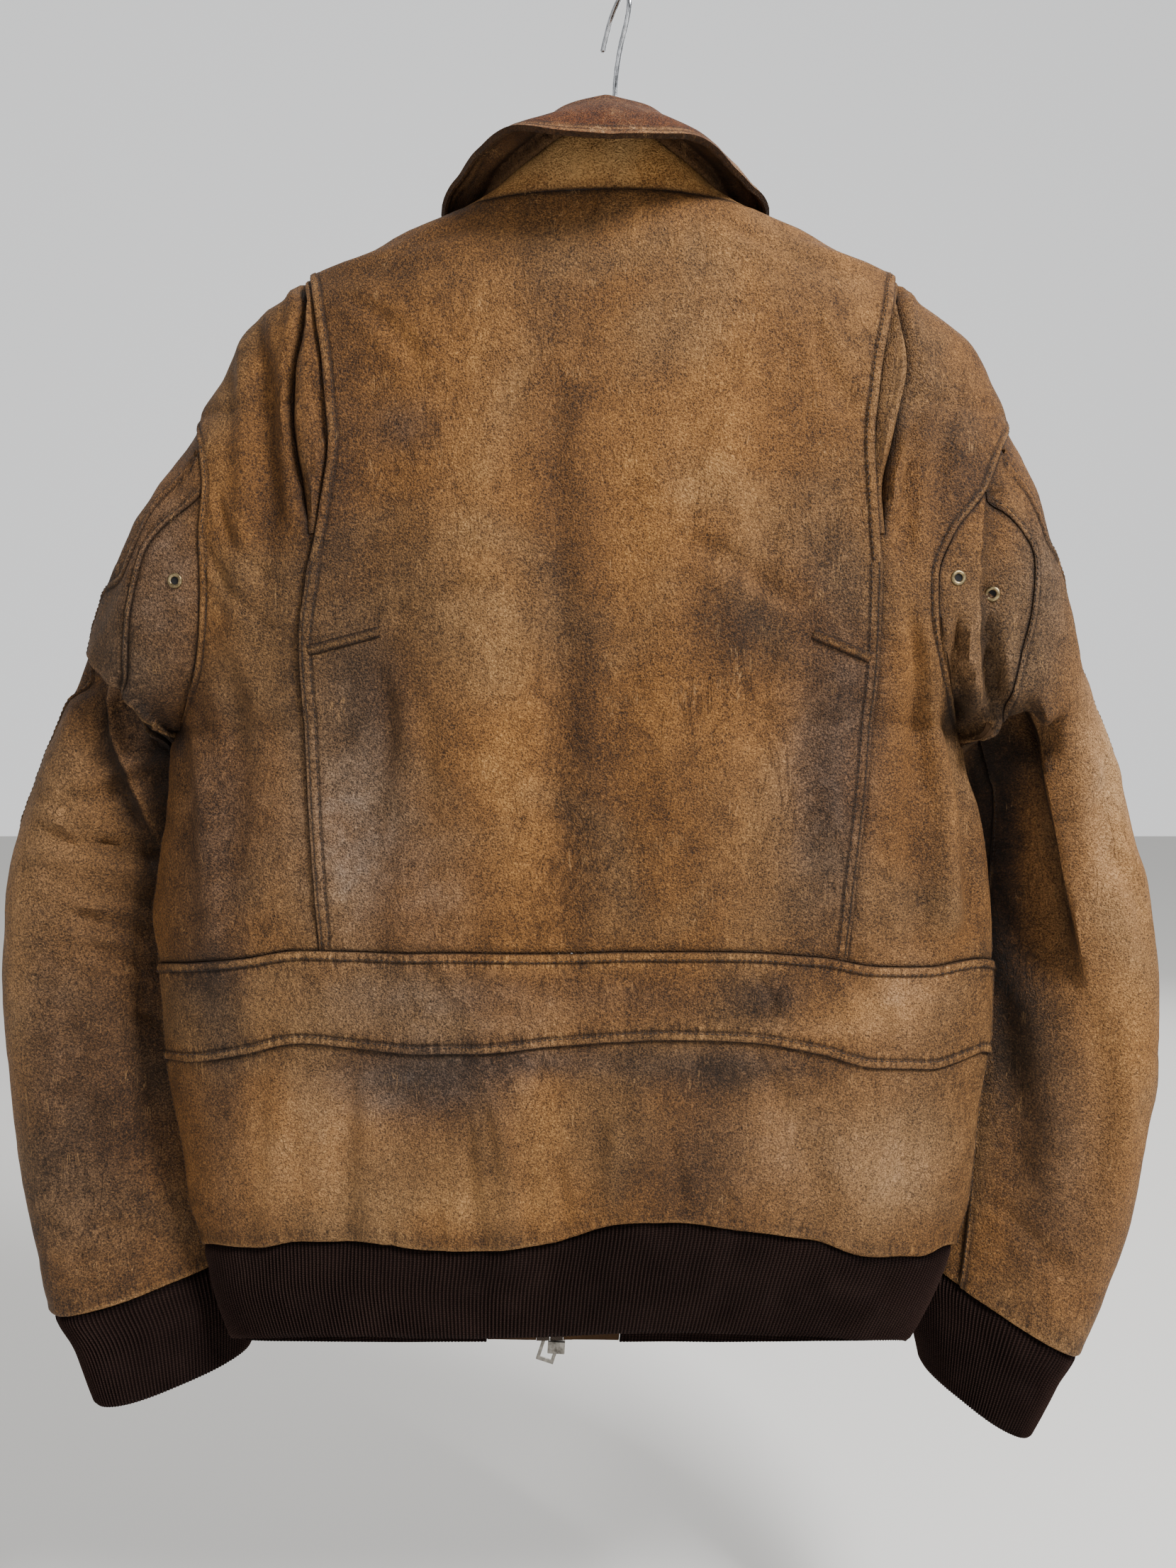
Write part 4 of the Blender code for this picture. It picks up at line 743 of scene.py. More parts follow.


# Creases pressed into the cloth: soft troughs (depth > 0) and ridges, bowed sideways.
# Group 0 is the body, 1 the left sleeve and 2 the right sleeve; face -1 is the back.
CREASES = placed(
    "x0 z0 x1 z1 bow width depth",
    (0, -1, (
        # under the neck seam and across the shoulders
        (-4, -141, -6, -158, 1, 1.6, 0.9), (-11, -142, -9, -154, -1, 1.6, 0.7),
        (4, -142, 6, -151, 1, 1.4, -0.6), (-120, -176, -60, -156, 3, 4, 0.7),
        (64, -156, 130, -182, -3, 4.5, 0.8), (-140, -196, -98, -238, 5, 5, 0.9),
        (112, -206, 136, -262, -4, 5, 0.9),
        # drag lines at the feet of the pleats
        (-60, -352, -118, -376, -3, 5, 1.2), (44, -330, 112, -376, 6, 7, 1.2),
        (72, -352, 112, -372, -2, 4.5, -0.7), (-120, -402, -128, -470, 5, 7, 1.4),
        (118, -404, 112, -500, -5, 9, 1.8),
        # long soft drapes down the back
        (-27, -240, -24, -548, 2, 9, 0.9), (-58, -220, -62, -540, -3, 14, -0.9),
        (26, -250, 34, -520, 4, 13, -0.8), (86, -300, 78, -545, 5, 10, 1),
        (-100, -420, -96, -550, 3, 8, 0.9),
        # side panels
        (-196, -200, -180, -330, 6, 6, 1.6), (-206, -214, -196, -352, 4, 5, -1.4),
        (-213, -300, -180, -352, -6, 3.5, 0.9), (-218, -330, -176, -380, -5, 3, 0.7),
        (-205, -400, -212, -520, 4, 8, 1.5), (-234, -430, -222, -548, 4, 6, -1.3),
        (168, -214, 163, -322, 3, 4, 1.4), (181, -226, 172, -340, -3, 5, -1.5),
        (196, -236, 184, -300, -4, 6, 1.2), (168, -370, 177, -470, 4, 5, 1.8),
        (186, -420, 196, -552, 5, 6, -2.2), (204, -452, 214, -556, 3, 5, 1.8),
        (158, -474, 170, -560, 3, 5, -1.2),
        # the belt, buckled at its right, and the skirt under it
        (84, -566, 96, -592, 3, 3, 1), (104, -572, 90, -596, -2, 2.5, 0.9),
        (-98, -562, -88, -602, 3, 6, 0.8), (140, -570, 160, -612, 3, 6, 1.1),
        (-60, -640, -52, -722, 3, 5, -1.3), (-76, -650, -70, -724, -2, 5, 1.2),
        (6, -644, 2, -706, 2, 6, -1.1), (36, -660, 44, -706, 3, 4, 0.8),
        (-26, -676, -20, -720, 1, 4, 0.9), (92, -620, 130, -726, 5, 9, 1.2),
        (-140, -622, -146, -730, -3, 7, 1.2), (-186, -630, -196, -736, 3, 6, -1.2),
        (166, -628, 176, -736, 3, 6, 1.3), (-124, -700, -120, -727, 0, 2.2, 0.6),
        (-94, -702, -92, -728, 0, 2.4, 0.6), (-44, -700, -42, -724, 0, 2.2, 0.5),
        (70, -690, 72, -714, 0, 2.4, 0.6), (112, -698, 114, -722, 0, 2.4, 0.6),
        (146, -704, 150, -732, 0, 2.6, 0.7),
    )),
    (0, 1, (
        # the fronts
        (-130, -230, -60, -300, 8, 7, 1.5), (126, -236, 60, -310, -8, 7, 1.5),
        (-190, -400, -120, -440, 8, 7, 1.6), (170, -400, 110, -450, -8, 7, 1.6),
        (-205, -440, -150, -520, 8, 8, -1.8), (190, -450, 140, -530, -8, 8, -1.8),
        (-120, -560, -130, -730, 5, 9, 1.6), (90, -560, 84, -730, -5, 9, 1.6),
        (-200, -600, -190, -735, 5, 7, -1.5), (180, -600, 170, -735, -5, 7, -1.5),
    )),
    (1, -1, (
        # left sleeve, seen from behind: pulls at the armhole, elbow wrinkles, long folds
        (-262, -300, -300, -372, 4, 4, -1.2), (-270, -400, -306, -440, 5, 5, 2),
        (-262, -424, -300, -470, 6, 6, -2.2), (-264, -452, -318, -474, 4, 6, 2),
        (-256, -470, -290, -520, 5, 6, -2), (-330, -486, -276, -504, -5, 5, 1.8),
        (-338, -506, -268, -518, 5, 5.5, -1.6), (-326, -522, -262, -530, -4, 4, 1.5),
        (-318, -540, -258, -548, -4, 4.5, 1.5), (-336, -556, -282, -556, 4, 4, -1),
        (-306, -560, -256, -574, -3, 4, 1.2), (-268, -540, -258, -640, 3, 8, -2.2),
        (-280, -580, -276, -700, 5, 9, 1.8), (-322, -590, -312, -720, 8, 12, 1.8),
        (-330, -640, -290, -690, 6, 7, 1.2), (-246, -640, -240, -720, 2, 5, -1.5),
        (-300, -726, -262, -742, 3, 5, 1.4), (-322, -744, -280, -756, -2, 4, -1),
        (-340, -530, -300, -544, 3, 3, 1.4), (-344, -570, -298, -562, -3, 3, 1.2),
        (-300, -500, -262, -512, 3, 3, 1.6), (-336, -470, -300, -492, 3, 3.4, 1.3),
        (-282, -600, -256, -616, -3, 3, 1.3),
    )),
    (2, -1, (
        # right sleeve, seen from behind: bunched folds at the gusset, deep recess under its lip
        (196, -368, 204, -414, -4, 3.8, 2.6), (204, -374, 211, -418, -4, 3.8, -2.6),
        (188, -400, 206, -424, -3, 3.2, 2.2), (216, -376, 226, -424, -4, 3.8, 1.6),
        (190, -392, 198, -426, -3, 3.8, -1.4), (224, -340, 226, -400, -4, 5, -1.2),
        (266, -330, 282, -400, 4, 5, 1.3), (296, -452, 300, -520, -6, 8, 1.6),
        (284, -440, 300, -470, 4, 5, 1), (296, -500, 322, -560, 6, 6, 1.4),
        (246, -590, 250, -720, 4, 9, 2.2), (290, -600, 286, -720, 6, 11, 1.8),
        (310, -640, 290, -740, 5, 8, -1.2), (240, -720, 276, -760, 3, 5, 1.4),
    )),
    (1, 1, (
        # fronts of both sleeves
        (-330, -500, -262, -530, 6, 7, 2.4), (-336, -530, -256, -556, 5, 7, -2.2),
        (-330, -560, -262, -580, -4, 7, 2.2), (-280, -400, -250, -470, 4, 6, 2),
        (-300, -640, -290, -730, 6, 9, 1.6),
    )),
    (2, 1, (
        (250, -520, 312, -540, 6, 7, 2.4), (244, -548, 310, -566, 5, 7, -2.2),
        (250, -580, 300, -590, -4, 7, 2.2), (230, -420, 260, -480, 4, 6, 2),
        (270, -650, 262, -740, 6, 9, 1.6),
    )),
)
CREASE_STRENGTH = 1.8


def in_table_mm(points):
    """x and z of points in the tables' millimetres."""
    places = (points - DATUM) / MM
    return places[:, 0], places[:, 2]


def rows_of(data):
    """The rows of a table, one dictionary for each."""
    return [{name: data[name][i] for name in data} for i in range(len(data["group"]))]


def beside_line(row, x, z):
    """Share along a bowed line from its start, and millimetres off it, for each place."""
    way = np.array([row["x1"] - row["x0"], row["z1"] - row["z0"]])
    length = np.linalg.norm(way)
    way /= length
    dx, dz = x - row["x0"], z - row["z0"]
    u = (dx * way[0] + dz * way[1]) / length
    return u, dz * way[0] - dx * way[1] - 4 * row["bow"] * u * (1 - u)


def crease_height(points, normals, group):
    """Sum of the listed creases at points, in metres outwards."""
    x, z = in_table_mm(points)
    total = np.zeros(len(points))
    for row in rows_of(CREASES):
        u, off = beside_line(row, x, z)
        near = (u > -0.2) & (u < 1.2) & (group == row["group"])
        near &= normals[:, 1] * row["face"] > -0.1
        u, off = u[near], off[near]
        across = np.abs(off) / (row["width"] * (0.7 + 0.5 * np.clip(u, 0, 1)))
        shape = np.exp(-across**2) - 0.35 * np.exp(-(across - 2) ** 2)
        taper = smooth((u + 0.15) / 0.35) * smooth((1.15 - u) / 0.35)
        facing = smooth(np.abs(normals[near, 1]) * 3)
        total[near] -= row["depth"] * MM * shape * taper * facing
    return CREASE_STRENGTH * total


# Fold edges where the cloth drops steeply on one side (+1 or -1) of a line and slowly comes back.
# Behind each edge the leather's finish also paints a shadow, with a painted highlight along the edge.
DROPS = table(
    "group face x0 z0 x1 z1 bow side depth edge reach fade",
    (2, -1, 248, -424, 286, -580, 2, -1, 19, 4, 16, 26),
    (2, -1, 222, -431, 260, -422, -3, -1, 14, 4, 9, 24),
    (2, -1, 210, -298, 207, -356, -1, 1, 4, 4, 4, 10),
    (2, -1, 207, -350, 216, -424, -2, 1, 5, 4, 4, 12),
    (1, -1, -294, -394, -269, -510, 0, -1, 8, 3, 8, 24),
    (1, -1, -304, -388, -262, -425, 3, -1, 10, 3, 9, 22),
)


def drop_height(points, normals, group):
    """Sum of the fold edges' drops, in metres outwards, and how far and how surely each point lies
    behind its nearest edge, in millimetres and from 0 to 1, which the leather's finish turns into a
    painted shadow behind the edge and a painted highlight along it."""
    x, z = in_table_mm(points)
    total = np.zeros(len(points))
    folds = np.tile([-30.0, 0.0], (len(points), 1))
    for row in rows_of(DROPS):
        u, off = beside_line(row, x, z)
        off = row["side"] * off
        shape = smooth(off / row["edge"]) * (1 - smooth((off - row["reach"]) / row["fade"]))
        lip = np.exp(-((off + 2.5) / 3.5) ** 2)
        taper = smooth((u + 0.12) / 0.2) * smooth((1.1 - u) / 0.4)
        own = (group == row["group"]) * smooth(normals[:, 1] * row["face"] * 2.5)
        total += (0.10 * lip - shape) * row["depth"] * MM * taper * own
        nearer = (np.abs(off) < np.abs(folds[:, 0])) & (taper * own > 0.02)
        folds[nearer, 0] = off[nearer]
        folds[nearer, 1] = (taper * own * min(1, row["depth"] / 6))[nearer]
    return total, folds


def ripple_height(points, group):
    """Small uneven undulations of old leather, in metres outwards."""
    sleeve = np.where((group == 1) | (group == 2), 2.1, 1.35)
    sleeve = np.where(group == 3, 0.6, sleeve)
    return sleeve * MM * (0.50 * soft_noise(points, 0.045, 1) + 0.32 * soft_noise(points, 0.021, 2)
                          + 0.17 * soft_noise(points, 0.010, 3) + 0.07 * soft_noise(points, 0.005, 4))


# Soft marks on the leather: lighter (tone > 0) or darker stretches, grey soiled patches and pale
# scuffs.  Group 3 is the collar.  Some darker stretches are painted shade, in the recesses at the
# armpits, under the sleeves' lips and over the left sleeve, and the lighter stretch on the collar's
# stand is painted light where the leaf shades it.
MARKS = placed(
    "x z width height tone grey scuff",
    (0, -1, (
        (-24, -330, 15, 130, -0.07, 0.05, 0), (-12, -460, 18, 110, -0.12, 0.05, 0),
        (-46, -470, 16, 90, 0.08, 0, 0), (50, -252, 40, 70, 0.04, 0, 0), (91, -500, 20, 60, 0.1, 0, 0),
        (77, -383, 22, 26, -0.08, 0, 0), (139, -410, 16, 30, -0.08, 0.3, 0),
        (-129, -410, 22, 36, -0.12, 0.3, 0), (174, -410, 12, 50, 0.14, 0, 0),
        (190, -500, 20, 40, -0.16, 0.1, 0), (206, -380, 14, 60, -0.12, 0.1, 0),
        (-187, -686, 30, 22, 0.12, 0.1, 0.2), (-150, -650, 40, 26, 0.22, 0.2, 0.1),
        (-46, -644, 30, 30, 0.12, 0, 0), (105, -665, 30, 24, 0.06, 0.3, 0.2),
        (170, -686, 34, 26, 0.12, 0.25, 0.4), (30, -690, 30, 22, -0.14, 0, 0),
        (71, -624, 50, 12, -0.18, 0.2, 0), (-225, -576, 20, 20, -0.2, 0.2, 0),
        (-108, -579, 34, 12, 0.12, 0.2, 0.1), (30, -580, 40, 14, -0.08, 0.1, 0),
        (174, -578, 30, 16, 0.12, 0.25, 0.2), (-60, -340, 22, 170, 0.13, 0, 0),
        (56, -262, 52, 90, 0.07, 0, 0), (20, -330, 26, 120, 0.08, 0, 0), (52, -480, 40, 80, 0.02, 0, 0),
        (-145, -300, 20, 90, -0.16, 0.1, 0), (-108, -268, 16, 14, -0.16, 0.35, 0),
        (-134, -488, 26, 56, 0.08, 0.85, 0), (-92, -520, 20, 40, 0.06, 0.35, 0),
        (124, -466, 24, 64, -0.1, 0.7, 0), (122, -360, 22, 50, -0.14, 0.2, 0),
        (72, -372, 26, 30, -0.16, 0.1, 0), (-104, -628, 44, 18, -0.16, 0.9, 0),
        (-40, -616, 40, 8, -0.14, 0.5, 0), (60, -616, 60, 8, -0.1, 0.3, 0),
        (60, -668, 30, 40, -0.12, 0.2, 0), (-20, -670, 50, 40, 0.1, 0, 0),
        (140, -680, 60, 50, 0, 0.2, 0.5), (-160, -690, 50, 40, 0.06, 0.1, 0.3),
        (92, -580, 20, 12, -0.3, 0.3, 0), (-80, -580, 90, 14, -0.08, 0.35, 0),
        (-218, -480, 24, 70, -0.12, 0.35, 0), (-182, -300, 18, 80, -0.06, 0, 0),
        (196, -300, 18, 70, -0.14, 0.1, 0), (196, -480, 10, 60, 0.1, 0, 0.2),
        (90, -170, 90, 30, 0.02, 0, 0.2), (-120, -180, 50, 26, -0.08, 0, 0.1),
        # painted shade in the recesses at both armpits
        (201, -422, 7, 12, -0.45, 0.2, 0), (-246, -436, 6, 10, -0.3, 0.2, 0),
        (-90, -596, 70, 8, 0.08, 0.2, 0.2), (120, -598, 40, 6, 0.1, 0.2, 0.2),
        (-20, -560, 60, 6, 0.08, 0, 0.2), (-80, -620, 60, 40, -0.1, 0.1, 0),
        (-30, -585, 30, 12, 0.1, 0, 0.1), (150, -590, 30, 14, 0.12, 0, 0.4),
        (-190, -585, 40, 14, 0.06, 0, 0.2), (-70, -700, 60, 16, 0.14, 0, 0.3),
        (-218, -600, 14, 120, -0.1, 0.25, 0), (170, -600, 20, 60, 0.06, 0.2, 0.2),
        (-170, -470, 30, 60, 0.06, 0.2, 0),
    )),
    (0, 1, (
        (0, -480, 300, 300, -0.04, 0.1, 0.1), (-110, -400, 40, 120, 0.1, 0, 0),
        (110, -420, 40, 120, 0.1, 0, 0), (-120, -640, 60, 60, -0.08, 0.3, 0),
        (120, -640, 60, 60, -0.08, 0.3, 0),
    )),
    (1, -1, (
        # painted shade: the dark marks at x -258 to -262 by the body and below the lip, and the broad
        # one over the whole sleeve
        (-330, -600, 30, 120, 0, 0.3, 0.1), (-258, -446, 12, 34, -0.16, 0.1, 0),
        (-300, -560, 90, 240, -0.14, 0.1, 0), (-258, -480, 12, 60, -0.22, 0, 0),
        (-244, -350, 22, 50, -0.04, 0.8, 0.2), (-276, -420, 20, 50, -0.1, 0.3, 0),
        (-320, -500, 40, 60, 0.08, 0, 0.4), (-262, -560, 20, 80, -0.18, 0.1, 0),
        (-350, -590, 12, 120, 0.12, 0, 0.5), (-300, -680, 40, 70, -0.12, 0.15, 0),
    )),
    (1, 1, (
        (-300, -560, 200, 300, -0.02, 0.1, 0.2),
    )),
    (2, -1, (
        # painted shade: the dark marks at x 203 to 250, in the recess under the lip
        (284, -438, 18, 60, 0.12, 0.25, 0.3), (298, -510, 20, 70, 0.1, 0.25, 0.3),
        (262, -640, 20, 90, -0.12, 0.1, 0), (203, -420, 8, 12, -0.45, 0.2, 0),
        (236, -470, 16, 40, -0.3, 0, 0), (232, -500, 16, 90, -0.25, 0, 0),
        (250, -444, 12, 10, -0.3, 0, 0), (246, -540, 14, 80, -0.34, 0, 0),
        (222, -390, 24, 36, -0.1, 0.45, 0.4), (246, -350, 14, 40, -0.12, 0.55, 0.2),
        (312, -560, 26, 150, 0.14, 0, 0.4), (244, -560, 16, 150, -0.12, 0, 0),
        (278, -690, 26, 70, -0.06, 0.3, 0.2), (300, -440, 16, 50, 0.1, 0, 0.4),
    )),
    (2, 1, (
        (300, -560, 200, 300, -0.02, 0.1, 0.2),
    )),
    (3, -1, (
        # painted light: the lighter stretch on the stand, which the leaf shades
        (0, -118, 140, 30, 0.42, 0, 0), (0, -62, 70, 16, -0.04, 0, 0.3),
    )),
)


def paint_marks(points, normals, group):
    """Tone, scuff, darkness and grey of points, each about 0 to 1; some tone marks are painted shade
    and one is painted light.
    """
    x, z = in_table_mm(points)
    look = np.zeros((len(points), 4))
    look[:, 0] = 0.5
    for row in rows_of(MARKS):
        share = np.exp(-((x - row["x"]) / row["width"]) ** 2 - ((z - row["z"]) / row["height"]) ** 2)
        share = np.where(group == row["group"], share, 0.0)
        share = share * smooth(0.5 + 2 * normals[:, 1] * row["face"])
        look[:, 0] += row["tone"] * share
        look[:, 3] += row["grey"] * share
        look[:, 1] += row["scuff"] * share
    look[:, 0] += np.where(group == 3, 0.04, 0.0)
    return look


# ---------------------------------------------------------------- sewn edges
class Seam:
    """A sewn line: its points a millimetre apart, and how far others lie from it and along it."""

    def __init__(self, points):
        steps = np.linalg.norm(np.diff(points, axis=0), axis=1)
        keep = np.concatenate([[True], steps > 1e-6])
        points = points[keep]
        lengths = lengths_along(points)
        self.length = lengths[-1]
        count = max(2, round(self.length / MM) + 1)
        self.along = np.linspace(0, self.length, count)
        self.points = np.stack([np.interp(self.along, lengths, points[:, k]) for k in range(3)], 1)
        way = np.gradient(self.points, axis=0)
        self.ways = way / np.linalg.norm(way, axis=1, keepdims=True)
        self.tree = KDTree(count)
        for i, point in enumerate(self.points):
            self.tree.insert(point, i)
        self.tree.balance()

    def measure(self, points, reach):
        """Distance from the seam, no more than reach, and place along it, in metres."""
        distance = np.full(len(points), reach)
        along = np.zeros(len(points))
        low, high = self.points.min(axis=0) - reach, self.points.max(axis=0) + reach
        for i in np.flatnonzero(np.all((points > low) & (points < high), axis=1)):
            _, k, gap = self.tree.find(points[i])
            if gap < reach:
                offset = float((points[i] - self.points[k]) @ self.ways[k])
                at_end = (k == 0 and offset < 0) or (k == len(self.points) - 1 and offset > 0)
                distance[i] = gap if at_end else math.sqrt(max(gap * gap - offset * offset, 0))
                along[i] = self.along[k] + offset
        return distance, along


STITCH_PITCH = 3.1 * MM
STITCH_LINE = 5.4            # mm from a broad lapped edge to its stitches
NARROW_LINE = 4.0            # and from a narrow one to its groove
NARROW_STITCHES = 3.3        # where the narrow one's thread lies
DOUBLE_ROWS = (2.1, 6.6)     # the two rows below the pleats' welts, mm from the edge
PLEAT_DEPTH = 196 * MM       # along a pleat's edge from its top to its welt
REACH = 16 * MM              # how far a seam changes the leather beside it
DEEPEST_GROOVE = 0.8 * MM    # limits of the seams' summed relief
HIGHEST_ROLL = 1.9 * MM
HARD_EDGE = math.radians(62)     # faces that meet more sharply than this keep a hard edge


def lumpy(line, seed, large, small):
    """About 1 and uneven along a seam.  Each kind of lump is a strength and a size in metres."""
    return (1 + large[0] * soft_noise(line, large[1], seed)
            + small[0] * soft_noise(line, small[1], seed + 7))


def stitch_groove(d, line, row, seed):
    """Height in mm and darkness of one sewn row: a groove with small puckers on both sides."""
    pull = 0.5 + 0.5 * np.cos(2 * math.pi * line[:, 0] / STITCH_PITCH)
    uneven = 0.6 + 0.5 * soft_noise(line, 0.007, seed + 5)
    groove = bell(d, row, 0.75) * (0.8 + 0.3 * pull)
    pucker = np.exp(-((d - row - 2.0) / 1.9) ** 2) + 0.8 * np.exp(-((d - row + 1.9) / 1.3) ** 2)
    return 0.42 * pucker * (pull - 0.45) * uneven - 0.5 * groove, 0.95 * bell(d, row, 0.8)


# Each edge form takes d, the distance from the seam in mm, line, the place along it in metres as points
# on one axis, and a seed.  It gives the height in metres, the wear and the darkness.  The darkness is
# dark seam lines and stitch rows, and in some forms painted shade.
def lapped(d, line, seed, row=STITCH_LINE, rise=0.5):
    """The upper leather beside its turned and stitched edge."""
    lumps = lumpy(line, seed, (0.35, 0.011), (0.30, 0.004))
    edge = smooth(d / 1.4 + 0.1) * (1 - smooth((d - row + 1.2) / 1.5)) * lumps
    sewn, dark = stitch_groove(d, line, row, seed)
    height = MM * (rise * edge + sewn + 0.12)
    height = np.where(d < REACH / MM, height * (1 - smooth((d - 9) / 6)), 0.0)
    # The pale band on the raised bead is wear and also a painted highlight on the bead.
    patchy = 0.30 + 0.50 * soft_noise(line, 0.017, seed + 3)
    wear = 0.8 * np.exp(-((d - 0.42 * row) / (0.3 * row)) ** 2) * np.clip(patchy, 0, 1)
    return height, wear, dark + 0.9 * np.exp(-(d / 0.5) ** 2)


def narrow(d, line, seed):
    """A narrow lapped edge, as along the sleeves."""
    return lapped(d, line, seed, NARROW_LINE, 0.75)


def pleat_edge(d, line, seed):
    """The centre back's edge: one row beside the pleat, two close rows below its welt."""
    above = lapped(d, line, seed)
    low = MM * 0.3 * smooth(d / 1.4 + 0.1) * (1 - smooth((d - 8) / 4))
    dark = 0.9 * np.exp(-(d / 0.5) ** 2)
    for row in DOUBLE_ROWS:
        sewn, shade = stitch_groove(d, line, row, seed + int(row))
        low = low + 0.7 * MM * sewn
        dark = np.maximum(dark, shade)
    share = smooth((line[:, 0] - PLEAT_DEPTH) / (6 * MM) + 0.5)
    return tuple(a * (1 - share) + b * share for a, b in zip(above, (low, 0.4 * above[1], dark)))


def rolled(d, line, seed):
    """The soft fold of a pleat: a rounded roll with small creases across it, and a line of painted
    shade along the fold.
    """
    lumps = lumpy(line, seed, (0.5, 0.014), (0.35, 0.006))
    height = MM * (1.1 * smooth(d / 3) * (1 - smooth((d - 3) / 8)) * lumps - 0.5 * np.exp(-d))
    return height, 0.25 * bell(d, 3, 3) * lumps, 0.7 * np.exp(-(d / 0.9) ** 2)


def turned(d, line, seed):
    """An upper edge that is only turned under, such as the skirt's over the knit."""
    lumps = lumpy(line, seed, (0.5, 0.012), (0.3, 0.005))
    height = MM * (0.8 * smooth(d / 2.2) * (1 - smooth((d - 2) / 7)) * lumps - 0.5 * np.exp(-d))
    wear = bell(d, 0.9, 1.5) * (0.55 + 0.6 * soft_noise(line, 0.018, seed + 3))
    dark = 0.3 * bell(d, 6, 3)
    return height, wear, dark


def welted(d, line, seed):
    """The collar leaf's edge: a cracked double welt with a dark line between."""
    lumps = lumpy(line, seed, (0.3, 0.006), (0.3, 0.003))
    beads = bell(d, 1.7, 1.3) + bell(d, 5.2, 1.4)
    lines = bell(d, 3.5, 0.5) + bell(d, 7.3, 0.6)
    height = MM * (0.8 * beads * lumps - 0.5 * lines)
    wear = beads * (0.75 + 0.5 * soft_noise(line, 0.02, seed + 3))
    return height, np.clip(wear, 0, 1), 0.9 * lines


def overhung(d, line, seed):
    """The leather below a lip: a slight dip darkened with painted shade."""
    uneven = 0.4 * MM * soft_noise(line, 0.01, seed) * bell(d, 5, 4)
    height = -0.6 * MM * np.exp(-(d / 3) ** 2) + uneven
    return height, 0 * d, 0.95 * np.exp(-(d / 3.0) ** 2) + 0.55 * np.exp(-(d / 11) ** 2)


def underneath(d, line, seed):
    """The leather that runs in under a neighbour's edge, with a dark joint line and a band of painted
    shade beside it.
    """
    uneven = 0.35 * MM * soft_noise(line, 0.008, seed) * bell(d, 4, 3)
    height = -0.45 * MM * np.exp(-(d / 2.2) ** 2) + uneven
    return height, 0 * d, 0.9 * np.exp(-(d / 1.0) ** 2) + 0.3 * np.exp(-(d / 4) ** 2)


# Sewn lines: pieces over, how their edge is made, pieces under, and the stitches' distance from it
# in mm.  A star stands for left, then right.
SEAM_KINDS = (
    ("pleat_*", "back_centre", pleat_edge, "pleat_* back_side_*", STITCH_LINE),
    ("fold_*", "pleat_*", rolled, "back_side_*", None),
    ("belt_top", "back_belt", lapped, "back_centre back_side_left back_side_right", STITCH_LINE),
    ("belt_bottom", "back_belt", lapped, "back_lower", STITCH_LINE),
    ("side_*", "back_side_* back_belt back_lower", narrow, "front_*", NARROW_STITCHES),
    ("hem_back", "back_lower", turned, "", None),
    ("hem_front_*", "front_* hem_tab_*", turned, "", None),
    ("ridge_*", "front_*", lapped, "back_centre back_side_*", STITCH_LINE),
    ("armhole_*", "back_side_* front_*", narrow, "sleeve_under_* sleeve_upper_* gusset_*",
     NARROW_STITCHES),
    ("back_seam_*", "sleeve_upper_*", narrow, "sleeve_under_*", NARROW_STITCHES),
    ("inner_seam_*", "sleeve_upper_*", narrow, "gusset_* sleeve_under_*", NARROW_STITCHES),
    ("lip_*", "gusset_*", turned, "", None),
    ("lip_*", "sleeve_under_*", overhung, "", None),
    ("gusset_front_*", "sleeve_under_*", narrow, "gusset_*", NARROW_STITCHES),
    ("cuff_*", "sleeve_under_* sleeve_upper_*", turned, "", None),
    ("zip_*", "front_* hem_tab_*", lapped, "", STITCH_LINE),
    ("leaf_edge", "collar_leaf", welted, "", None),
    ("stand_top", "collar_leaf", turned, "collar_stand", None),
    ("neck", "", None, "collar_stand back_centre front_left front_right", None),
)


def list_seams():
    """Each sewn line on its own: name, pieces over, edge form, pieces under and stitch distance."""
    seams = []
    for line, over, form, under, stitches in SEAM_KINDS:
        for side in ("left", "right") if "*" in line else ("",):
            names = [text.replace("*", side) for text in (line, over, under)]
            seams.append((names[0], names[1].split(), form, names[2].split(), stitches))
    return seams


SEWN = list_seams()
PIECE_LIFT = {"back_belt": 1.0, "hem_tab": 0.4, "zip_tape": -0.6}    # mm out of the skin
EDGE_RISE = 1.6       # the centre back's edge stands this far out of the skin, mm
EDGE_FADE = 9.0       # and settles over this width, mm
ROLL_RISE = 3.4       # the pleat's rounded fold
ROLL_WIDTH = 7.0
CREASE_DROP = 2.6     # the crease where it goes in under the side panel
SECOND_ROLL = 2.6     # the side panel's own roll beside that crease
SECOND_PLACE = 7.0


PULLS = {lapped: 1.0, pleat_edge: 0.45, turned: 0.7, underneath: 0.25}   # how far edges gather


def family(name):
    """A piece's name without its side."""
    return name.removesuffix("_left").removesuffix("_right")


